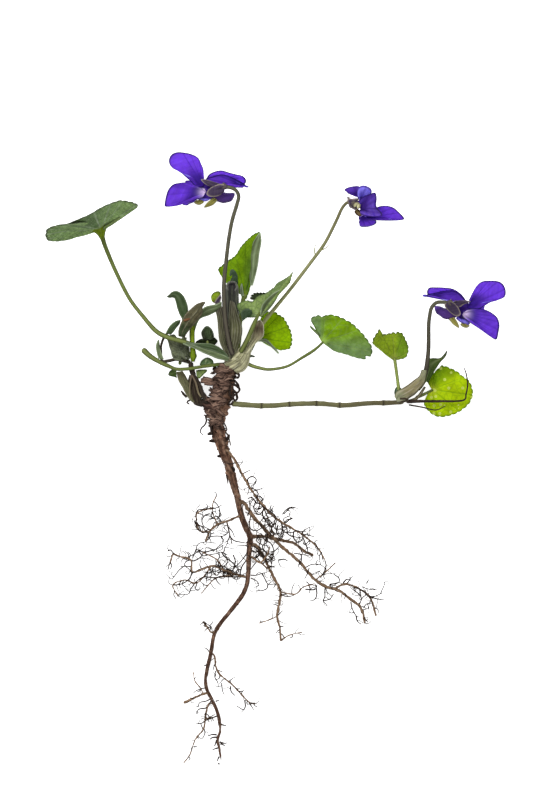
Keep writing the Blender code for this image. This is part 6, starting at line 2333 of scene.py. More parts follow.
LEFT_BLOOM = Bloom(
    "left_flower",
    stalk=[
        (2.8, 11.2, 6.6), (2.1, 13.0, 7.0), (1.0, 18.75, 7.6), (0.55, 24.5, 8.1),
        (0.5, 29.0, 8.6), (1.1, 35.0, 9.3), (1.7, 40.0, 9.9), (2.5, 44.5, 10.5),
        (3.7, 48.6, 11.2), (4.2, 50.7, 11.6), (3.6, 52.2, 11.9), (2.4, 52.9, 12.1),
        (0.8, 53.2, 12.1),
    ],
    throat=(-4.6, 52.6, 9.4),
    mouth=(-0.75, 0.05, -0.65),
    petals=[
        petal_fan((-4.6, 53.4, 9.9),
                  [(-6.2, 52.9, 9.9), (-7.1, 53.7, 9.8), (-7.9, 54.6, 9.6), (-9.3, 55.9, 9.4),
                   (-10.7, 57.1, 9.2), (-12.3, 57.9, 9.0), (-13.1, 58.9, 8.8),
                   (-13.2, 60.1, 8.7), (-12.6, 61.2, 8.5), (-11.4, 61.8, 8.4),
                   (-9.9, 61.8, 8.4), (-7.7, 61.4, 8.6), (-6.0, 60.5, 8.8), (-5.3, 59.1, 9.0),
                   (-4.7, 57.6, 9.3), (-4.5, 55.3, 9.6), (-4.2, 54.0, 9.9)],
                  0.0, (1, 0.5, 0.1, 0, 0, 0, 0.1, 0.4)),
        petal_fan((-4.0, 51.9, 9.9),
                  [(-4.8, 50.4, 10.5), (-6.7, 50.05, 10.7), (-8.65, 49.3, 10.9),
                   (-11.35, 48.4, 11.1), (-14.0, 48.2, 11.2), (-14.3, 48.8, 11.3),
                   (-13.9, 51.0, 11.3), (-13.3, 52.6, 11.3), (-12.3, 53.7, 11.2),
                   (-11.1, 54.1, 11.0), (-9.4, 54.3, 10.8), (-7.7, 54.0, 10.5),
                   (-6.2, 53.3, 10.2), (-4.4, 53.0, 10.0)], 1.6,
                  (0.5, 0.3, 0.15, 0.15, 0.15, 0.2, 0.3, 0.7, 1)),
        petal_fan((-4.0, 54.6, 10.2),
                  [(-4.0, 55.2, 10.6), (-3.3, 56.2, 10.9), (-2.0, 56.8, 11.2),
                   (-0.1, 57.2, 11.4), (1.6, 56.8, 11.5), (3.4, 56.3, 11.5), (5.1, 55.9, 11.4),
                   (5.9, 55.2, 11.3), (6.05, 54.4, 11.2), (5.4, 53.9, 11.1), (1.1, 53.9, 10.7),
                   (-2.5, 53.9, 10.4)], 0.0, (0.5, 0.2, 0, 0, 0, 0, 0.3, 0.8)),
        petal_fan((6.9, 53.1, 11.4),
                  [(5.1, 52.95, 11.6), (3.1, 53.0, 11.6), (1.2, 53.4, 11.4),
                   (-0.8, 53.9, 11.2), (-2.5, 54.3, 10.9), (-3.9, 54.5, 10.8),
                   (-4.0, 55.2, 11.2), (-2.3, 55.7, 11.6), (-0.6, 56.2, 11.9),
                   (1.1, 56.0, 12.1), (2.6, 55.3, 12.2), (4.1, 54.5, 12.1),
                   (5.6, 53.7, 11.8)], 0.0, (0.1, 0, 0, 0, 0, 0.2, 0.8, 1, 1, 1)),
        petal_fan((-2.6, 50.9, 9.0),
                  [(-2.8, 50.4, 9.0), (-3.75, 49.7, 9.1), (-5.0, 49.6, 9.2), (-5.8, 49.9, 9.3),
                   (-5.6, 50.5, 9.3), (-4.0, 51.0, 9.2)]),
        # The dark throat between the petals' feet, in painted shade.
        petal_fan((-2.2, 52.4, 9.3),
                  [(-2.2, 50.4, 9.2), (-3.4, 50.0, 9.3), (-4.8, 50.3, 9.4), (-5.4, 51.6, 9.5),
                   (-5.2, 53.4, 9.6), (-4.6, 54.9, 9.6), (-3.4, 54.9, 9.6),
                   (-2.2, 53.9, 9.4)], 0.0, (1, 1, 0.6, 1, 1)),
    ],
    shades=[PETAL_DEEP, PETAL_DEEP, PETAL_DEEP, PETAL_DEEP, PETAL_LIGHT, PETAL_SHADE],
    hidden=[Petal([(-0.2, -0.2, -0.4), (-1.6, -0.6, -2.6), (-3.6, -0.9, -5.5),
                   (-5.2, -1.2, -8.6)], (-0.85, 0.1, 0.5), 3.2)],
    spur=[(-3.4, 52.3, 9.0), (-1.8, 51.5, 9.0), (-0.3, 50.7, 9.0), (1.2, 50.5, 8.9),
          (2.4, 51.0, 8.8), (3.2, 51.6, 8.8)],
    front=[
        (sepal_fan((0.6, 53.0, 12.4),
                   [(0.4, 52.0, 12.0), (-0.8, 51.0, 11.9), (-2.3, 50.7, 11.6),
                    (-3.3, 50.9, 11.3), (-3.8, 51.5, 11.2), (-3.3, 52.5, 11.5),
                    (-2.3, 53.2, 11.9), (-0.8, 53.8, 12.3), (0.5, 53.8, 12.4)]), SEPAL_PLUM),
        (sepal_fan((-0.3, 53.4, 11.9),
                   [(-1.3, 53.0, 11.4), (-3.3, 53.5, 11.1), (-4.5, 54.2, 10.9),
                    (-5.2, 55.1, 10.8), (-3.75, 54.9, 11.2), (-2.0, 54.3, 11.5),
                    (-0.3, 53.8, 11.8)]), SEPAL_PLUM),
        (sepal_fan((-1.5, 50.2, 9.4),
                   [(-1.2, 49.8, 9.4), (-2.2, 48.7, 9.6), (-3.4, 48.2, 9.7), (-4.5, 48.0, 9.8),
                    (-4.0, 48.9, 9.8), (-3.0, 49.8, 9.6), (-2.0, 50.5, 9.5)]), SEPAL_GREEN),
        (sepal_fan((-4.5, 49.8, 8.8),
                   [(-4.7, 49.2, 8.8), (-5.7, 48.7, 8.9), (-6.7, 49.0, 9.0), (-7.0, 49.4, 9.0),
                    (-6.6, 49.7, 9.0), (-5.2, 50.0, 8.9)]), SEPAL_GREEN),
    ],
    sepals=[((-2.2, 1.6, -3.6), (0.5, 0.5, -0.7), 3.6, 0.8)],
)  # fmt: skip

RUNNER_BLOOM = Bloom(
    "runner_flower",
    stalk=[
        (49.8, 4.8, 2.7), (50.8, 6.8, 3.5), (51.4, 10.4, 5.2), (51.6, 14.0, 6.9),
        (51.6, 18.6, 9.2), (51.9, 21.4, 10.6), (52.3, 23.0, 11.4), (53.4, 24.2, 11.9),
        (54.8, 24.4, 12.1), (56.6, 24.2, 12.1),
    ],
    throat=(60.8, 22.9, 9.4),
    mouth=(0.75, -0.1, -0.65),
    petals=[
        petal_fan((61.2, 23.1, 9.9),
                  [(61.5, 25.0, 9.9), (62.5, 27.0, 9.5), (63.6, 28.6, 9.1), (65.0, 29.6, 8.8),
                   (67.2, 29.8, 8.5), (69.1, 29.6, 8.3), (70.3, 28.8, 8.1), (70.9, 27.3, 8.0),
                   (70.6, 25.8, 8.2), (69.1, 25.1, 8.6), (67.2, 24.5, 9.0), (65.6, 23.5, 9.4),
                   (64.4, 22.8, 9.7), (62.4, 22.6, 9.9)], 0.0, (0.4, 0.1, 0, 0, 0, 0.1, 0.5, 1)),
        petal_fan((60.2, 21.7, 9.9),
                  [(61.8, 22.7, 10.2), (64.4, 22.8, 10.6), (66.1, 22.4, 10.8),
                   (67.5, 21.6, 11.0), (68.7, 20.5, 11.2), (69.2, 18.75, 11.2),
                   (69.0, 17.1, 11.2), (68.5, 15.1, 11.1), (67.2, 15.6, 11.0),
                   (65.0, 17.1, 10.8), (62.8, 18.6, 10.6), (61.2, 19.8, 10.3),
                   (60.0, 20.7, 10.1)], 1.6, (1, 0.6, 0.2, 0.1, 0.1, 0.2, 0.4)),
        petal_fan((60.5, 24.4, 10.2),
                  [(58.1, 25.0, 10.6), (55.4, 25.4, 10.8), (52.9, 25.6, 11.0),
                   (51.2, 26.5, 11.3), (51.6, 28.0, 11.4), (53.5, 28.2, 11.5),
                   (55.4, 28.1, 11.5), (57.6, 27.8, 11.4), (59.2, 26.9, 11.1),
                   (60.3, 25.7, 10.7), (60.8, 24.9, 10.4)], 0.0,
                  (0.8, 0.3, 0, 0, 0, 0, 0.2, 0.5)),
        petal_fan((49.95, 26.0, 11.4),
                  [(51.3, 26.3, 11.8), (53.5, 26.8, 12.1), (55.4, 27.2, 12.2),
                   (57.6, 27.3, 12.0), (59.2, 26.5, 11.6), (60.7, 24.9, 11.0),
                   (60.6, 24.2, 10.8), (59.0, 24.3, 10.9), (56.8, 24.8, 11.3),
                   (54.8, 25.0, 11.5), (52.6, 25.3, 11.6), (51.2, 25.7, 11.6)], 0.0,
                  (1, 1, 1, 0.8, 0.2, 0, 0, 0, 0, 0.1)),
        petal_fan((59.0, 21.1, 9.0),
                  [(60.0, 20.9, 9.0), (61.9, 19.2, 9.2), (61.2, 18.8, 9.3), (59.5, 19.4, 9.3),
                   (58.4, 20.4, 9.2)]),
        # The dark throat between the petals' feet, in painted shade.
        petal_fan((58.6, 22.6, 9.3),
                  [(58.6, 24.2, 9.4), (59.8, 24.9, 9.5), (61.0, 24.9, 9.6), (61.8, 23.6, 9.6),
                   (62.0, 22.2, 9.5), (61.0, 20.6, 9.4), (59.6, 20.3, 9.3),
                   (58.6, 21.2, 9.2)], 0.0, (1, 1, 0.6, 1, 1)),
    ],
    shades=[PETAL_DEEP, PETAL_DEEP, PETAL_DEEP, PETAL_DEEP, PETAL_LIGHT, PETAL_SHADE],
    hidden=[Petal([(0.2, -0.6, -0.4), (1.7, -1.0, -2.6), (3.4, -1.6, -5.5), (4.8, -2.2, -8.6)],
                  (0.85, 0.1, 0.5), 3.2)],
    spur=[(60.0, 22.4, 9.0), (58.4, 21.9, 9.0), (56.8, 21.4, 9.0), (55.2, 21.8, 8.9),
          (53.9, 22.7, 8.8), (53.1, 23.4, 8.8)],
    front=[
        (sepal_fan((56.2, 24.4, 12.4),
                   [(57.6, 24.5, 12.3), (58.7, 23.4, 11.9), (59.3, 22.3, 11.5),
                    (59.5, 21.4, 11.3), (58.7, 20.9, 11.2), (57.6, 21.4, 11.5),
                    (56.3, 22.5, 11.9), (55.6, 23.4, 12.2), (55.6, 24.2, 12.4)]), SEPAL_PLUM),
        (sepal_fan((57.4, 24.2, 12.0),
                   [(58.1, 24.7, 11.8), (60.0, 24.8, 11.4), (62.0, 24.6, 11.0),
                    (60.4, 24.0, 11.2), (59.4, 23.3, 11.3), (58.3, 23.3, 11.5)]), SEPAL_PLUM),
        (sepal_fan((57.4, 20.6, 9.4),
                   [(58.0, 20.5, 9.4), (58.8, 19.3, 9.6), (59.2, 17.9, 9.7), (57.9, 18.7, 9.7),
                    (56.6, 20.1, 9.5)]), SEPAL_GREEN),
        (sepal_fan((60.0, 19.2, 8.8),
                   [(60.6, 19.3, 8.8), (61.8, 18.6, 8.9), (61.2, 18.0, 9.0), (60.0, 18.3, 9.0),
                    (59.5, 18.9, 8.9)]), SEPAL_GREEN),
    ],
    sepals=[((2.2, 1.2, -3.6), (-0.5, 0.5, -0.7), 3.6, 0.8)],
)  # fmt: skip

MIDDLE_BLOOM = Bloom(
    "middle_flower",
    stalk=[
        (5.4, 11.4, 3.7), (7.9, 15.8, 3.9), (10.4, 19.4, 4.2), (13.9, 23.75, 5.0),
        (17.2, 27.8, 6.1), (22.0, 34.1, 7.6), (25.6, 39.0, 8.8), (28.4, 44.4, 10.0),
        (29.9, 47.7, 10.9), (31.2, 49.2, 11.3), (32.3, 49.2, 11.4),
    ],
    throat=(34.7, 47.8, 9.3),
    mouth=(0.75, -0.35, -0.5),
    petals=[
        petal_fan((34.4, 50.6, 9.8),
                  [(33.1, 50.95, 9.6), (31.6, 51.5, 9.4), (31.1, 52.0, 9.3), (30.5, 52.4, 9.2),
                   (31.5, 53.0, 9.1), (33.0, 53.3, 9.1), (34.3, 53.2, 9.2), (34.8, 51.6, 9.6)],
                  0.0, (0, 0.3, 0.5, 0.4, 0.2)),
        petal_fan((34.7, 49.9, 10.2),
                  [(34.0, 50.0, 10.6), (33.7, 51.5, 11.4), (34.0, 52.75, 12.2),
                   (35.0, 53.45, 12.8), (36.0, 53.5, 13.0), (36.9, 53.0, 12.9),
                   (37.3, 52.25, 12.7), (37.1, 51.4, 12.2), (35.8, 50.6, 11.2)], 0.0,
                  (0, 0, 0, 0.1, 0.4, 0.8)),
        petal_fan((34.5, 47.7, 10.6),
                  [(34.0, 49.5, 11.2), (34.8, 50.3, 11.9), (35.8, 51.0, 12.6),
                   (37.0, 51.4, 13.4), (38.0, 51.75, 13.9), (38.4, 51.3, 14.0),
                   (38.55, 50.0, 13.7), (38.6, 48.5, 13.2), (39.5, 47.0, 12.6),
                   (39.9, 46.0, 12.2), (38.2, 45.75, 11.8), (35.8, 45.9, 11.2),
                   (34.7, 46.3, 10.9)], 0.0, (0.3, 0.9, 1, 0.6, 0.3, 0, 0, 0, 0.2)),
        petal_fan((35.8, 45.6, 9.4),
                  [(36.6, 46.6, 9.6), (38.6, 48.0, 9.6), (39.8, 48.4, 9.6),
                   (41.3, 48.4, 9.4), (42.8, 48.0, 9.1), (44.0, 47.0, 8.8),
                   (45.2, 45.8, 8.5), (45.3, 45.0, 8.3), (42.0, 44.8, 8.8),
                   (38.3, 44.9, 9.2), (36.6, 45.1, 9.3)], 0.0,
                  (0.2, 0, 0, 0, 0, 0, 0, 0.6, 1)),
        petal_fan((35.2, 46.0, 8.6),
                  [(36.6, 45.7, 8.4), (38.5, 44.75, 7.6), (38.1, 43.75, 7.0),
                   (36.0, 43.2, 6.4), (34.4, 43.5, 6.4), (34.7, 45.2, 7.6)]),
    ],
    shades=[PETAL_SHADE, PETAL_LIGHT, PETAL_MAUVE, PETAL_DEEP, PETAL_DEEP],
    hidden=[Petal([(0.2, -1.1, -0.5), (0.8, -1.8, -3.2), (1.3, -2.4, -6.0),
                   (1.7, -2.9, -8.8)], (0.5, -0.75, 0.3), 2.2)],
    spur=[(34.6, 48.2, 8.8), (33.6, 48.6, 8.8), (32.6, 49.1, 8.6), (31.8, 49.8, 8.4)],
    front=[
        (sepal_fan((32.8, 49.2, 11.6),
                   [(31.7, 48.6, 11.4), (31.3, 49.6, 11.5), (31.5, 50.2, 11.6),
                    (32.6, 50.2, 11.6), (33.6, 50.3, 11.4), (34.1, 50.1, 11.2),
                    (33.6, 49.4, 11.4)]), SEPAL_PLUM),
        (sepal_fan((32.6, 49.2, 11.2),
                   [(33.6, 48.4, 10.7), (33.3, 47.7, 10.6), (32.4, 47.9, 10.8),
                    (31.7, 48.6, 11.0)]), SEPAL_PLUM),
        (sepal_fan((33.6, 48.5, 11.8),
                   [(33.0, 48.0, 11.6), (32.8, 48.8, 11.7), (33.3, 49.3, 11.7),
                    (34.1, 49.2, 11.7), (34.6, 48.6, 11.6), (34.3, 47.9, 11.5),
                    (33.7, 47.6, 11.5)]), CREAM),
        (sepal_fan((33.4, 47.6, 10.2),
                   [(33.1, 46.9, 10.2), (33.6, 46.2, 10.1), (34.5, 45.8, 10.0),
                    (34.9, 46.2, 10.0), (34.7, 47.0, 10.0), (34.1, 47.5, 10.1)]), OLIVE_SEPAL),
    ],
    sepals=[((-0.8, 1.6, -2.4), (-0.7, 0.4, -0.6), 2.8, 0.8)],
    girth=0.88,
    bracts=[
        [(23.3, 35.9, 8.1), (23.1, 37.6, 8.8), (23.6, 39.2, 9.2)],
        [(24.4, 37.2, 8.4), (26.0, 38.0, 9.4), (27.3, 39.6, 10.0)],
    ],
    stalk_finish=STALK_TAN,
)  # fmt: skip


@dataclass
class Leaf:
    """A leaf or sheath: its blade's surfaces with their finishes, and the stalk that bears it."""

    name: str
    slot: Slot
    blades: Sequence[tuple[Surface, Sequence[SkinFinish]]]
    stalk: Sequence[Point] = ()
    radii: Sequence[float] = (0.42, 0.36)
    stalk_finish: SkinFinish = STALK_GREEN
    wall: float = 0.2
    flute: float = 0.06

    def build(self) -> None:
        """Models the blade and its stalk and seats them."""
        parts = []
        for surface, finishes in self.blades:
            parts.append(surface.model("blade", finishes, self.wall))
        if self.stalk:
            # The paler band along the stalk's top is a painted highlight.
            stem = Stem(self.stalk, self.radii, columns=14, highlight_stripe=1.0, flute=self.flute)
            parts.append(stem.model("stem", [self.stalk_finish]))
        seat(joined("violet_" + self.name, parts), self.slot, self.name)


# The fourth number is the tone, here the painted shade above the lobe.
LEFT_RIM = [
    (-32.8, 42.2, 5.2, 0), (-35.9, 41.0, 5.6, 0), (-40.5, 39.8, 7.4, 0), (-43.3, 39.8, 9.6, 0),
    (-44.1, 41.0, 12.0, 0), (-43.6, 42.8, 14.2, 0), (-41.2, 43.6, 16.6, 0),
    (-38.4, 43.9, 18.6, 1), (-33.5, 46.0, 20.4, 1), (-30.0, 48.0, 20.0, 0.5),
    (-26.5, 49.4, 18.0, 0), (-24.8, 49.8, 16.2, 0), (-22.0, 49.4, 12.8, 0),
    (-20.9, 48.4, 10.6, 0), (-23.0, 47.1, 8.6, 0), (-25.5, 45.3, 7.0, 0), (-29.3, 42.5, 6.0, 0),
]  # fmt: skip
BACK_RIM = [
    (4.2, 26.6, 1.6, 1), (3.6, 29.1, 1.4, 1), (2.1, 29.6, 1.3, 1), (1.0, 29.6, 1.2, 0.4),
    (0.0, 30.8, 1.2, 0), (-1.0, 32.7, 1.5, 0), (-0.3, 33.5, 1.8, 0), (1.5, 34.9, 2.2, 0),
    (3.4, 36.3, 2.6, 0), (4.5, 38.1, 2.9, 0), (5.4, 39.2, 3.1, 0.2), (6.6, 40.4, 3.3, 0.4),
    (8.1, 41.6, 3.5, 0.6), (9.5, 41.9, 3.5, 0.6), (7.8, 39.3, 2.6, 0.8), (7.0, 36.3, 2.0, 1),
    (7.05, 33.0, 1.8, 1), (7.3, 30.3, 1.9, 1), (7.0, 27.8, 2.2, 1), (6.0, 25.1, 2.4, 0),
]  # fmt: skip
FOLDED_RIM = [
    (8.0, 21.7, 8.2, 1), (6.2, 20.8, 7.0, 1), (4.9, 20.9, 6.2, 1), (4.1, 22.6, 6.0, 0.6),
    (3.85, 23.8, 6.2, 0.3), (4.75, 24.5, 6.8, 0), (6.15, 24.9, 7.4, 0), (7.5, 24.7, 8.0, 0),
    (9.0, 26.0, 7.8, 0), (10.75, 26.6, 7.8, 0), (12.35, 27.6, 7.9, 0.3), (13.2, 28.2, 8.0, 0.5),
    (14.0, 29.2, 8.2, 0.6), (15.25, 29.9, 8.8, 0.6), (17.1, 31.1, 9.5, 0.4),
    (17.8, 31.9, 9.8, 0), (17.3, 30.4, 9.7, 0), (16.9, 29.4, 9.4, 0), (16.1, 28.9, 8.8, 0),
    (14.0, 27.1, 8.0, 0), (13.6, 26.5, 7.8, 0), (13.2, 25.0, 7.4, 0), (11.1, 22.1, 7.2, 0),
    (9.8, 20.7, 8.2, 0),
]  # fmt: skip
ROUND_RIM = [
    (8.9, 17.5, 1.6, 0), (9.7, 20.3, 1.9, 0), (11.3, 22.1, 2.0, 0), (13.2, 22.1, 2.1, 0),
    (14.4, 21.3, 2.1, 0), (15.25, 20.9, 2.1, 0), (16.1, 19.7, 2.1, 0), (16.8, 18.4, 2.1, 0),
    (17.3, 17.2, 2.1, 0), (17.6, 15.7, 2.0, 0), (17.6, 14.3, 1.9, 0), (17.1, 12.9, 1.8, 0.2),
    (16.1, 12.6, 1.7, 0.4), (14.85, 12.4, 1.6, 0.8), (13.6, 12.9, 1.5, 1),
    (11.95, 14.3, 1.4, 1), (10.5, 15.7, 1.3, 1),
]  # fmt: skip
LOW_RIM = [
    (24.3, 16.2, 6.2, 1), (22.95, 18.7, 5.0, 1), (22.3, 19.8, 4.2, 1), (22.2, 20.4, 3.8, 1),
    (23.05, 21.0, 3.4, 1), (24.1, 21.2, 3.2, 0.9), (25.05, 20.9, 3.4, 0.5),
    (26.5, 21.3, 3.3, 0.15), (27.9, 21.2, 3.4, 0), (29.7, 20.7, 3.8, 0), (31.0, 20.1, 4.2, 0),
    (32.5, 19.3, 4.8, 0), (33.85, 18.0, 5.4, 0), (35.2, 16.6, 6.0, 0.2), (36.3, 15.2, 6.4, 0.5),
    (37.4, 13.5, 6.8, 0.8), (37.6, 12.2, 7.1, 1), (37.3, 10.9, 7.3, 1), (36.25, 10.95, 7.4, 1),
    (35.9, 10.2, 7.3, 1), (34.8, 10.2, 7.4, 1), (32.9, 10.65, 7.5, 1), (31.0, 11.3, 7.5, 1),
    (29.1, 11.8, 7.5, 1), (28.0, 12.3, 7.4, 1), (27.8, 12.95, 7.3, 1), (28.1, 13.3, 7.2, 1),
    (27.15, 13.9, 7.2, 1), (26.6, 14.1, 7.1, 1),
]  # fmt: skip
UPRIGHT_RIM = [
    (42.75, 10.2, 3.2, 0), (41.1, 11.2, 3.8, 0), (39.4, 12.6, 4.6, 0), (37.8, 13.9, 5.2, 0),
    (37.5, 14.6, 5.4, 0), (37.9, 15.8, 5.4, 0), (38.8, 17.15, 5.2, 0), (39.2, 17.8, 5.0, 0),
    (39.4, 17.35, 4.9, 0), (39.8, 16.6, 4.6, 0), (40.35, 16.5, 4.4, 0), (42.1, 16.8, 4.0, 0),
    (42.8, 17.0, 3.9, 0), (43.5, 16.8, 3.8, 0), (43.7, 17.1, 3.8, 0.3), (44.5, 17.0, 3.7, 0.7),
    (45.2, 16.6, 3.6, 1), (46.1, 14.85, 3.5, 1), (46.6, 13.5, 3.4, 1), (46.6, 12.0, 3.4, 1),
    (46.1, 10.75, 3.3, 0.8), (45.3, 10.4, 3.3, 0.5), (44.75, 10.55, 3.2, 0.3),
    (44.4, 11.0, 3.2, 0), (43.6, 10.8, 3.2, 0),
]  # fmt: skip
GOLDEN_RIM = [
    (51.3, 4.6, 0.7, 0.6), (53.0, 6.9, 0.9, 1), (54.5, 8.3, 1.0, 1), (55.35, 8.7, 1.1, 1),
    (58.5, 7.4, 1.3, 0.6), (60.25, 6.0, 1.3, 0), (62.0, 4.6, 1.3, 0), (62.8, 1.75, 1.2, 0),
    (62.0, -0.7, 1.1, 0), (60.25, -2.4, 1.0, 0), (58.1, -3.6, 0.9, 0), (55.0, -4.3, 0.8, 0),
    (52.5, -3.6, 0.7, 0), (50.5, -1.0, 0.6, 0), (52.2, 2.4, 0.6, 0),
]  # fmt: skip

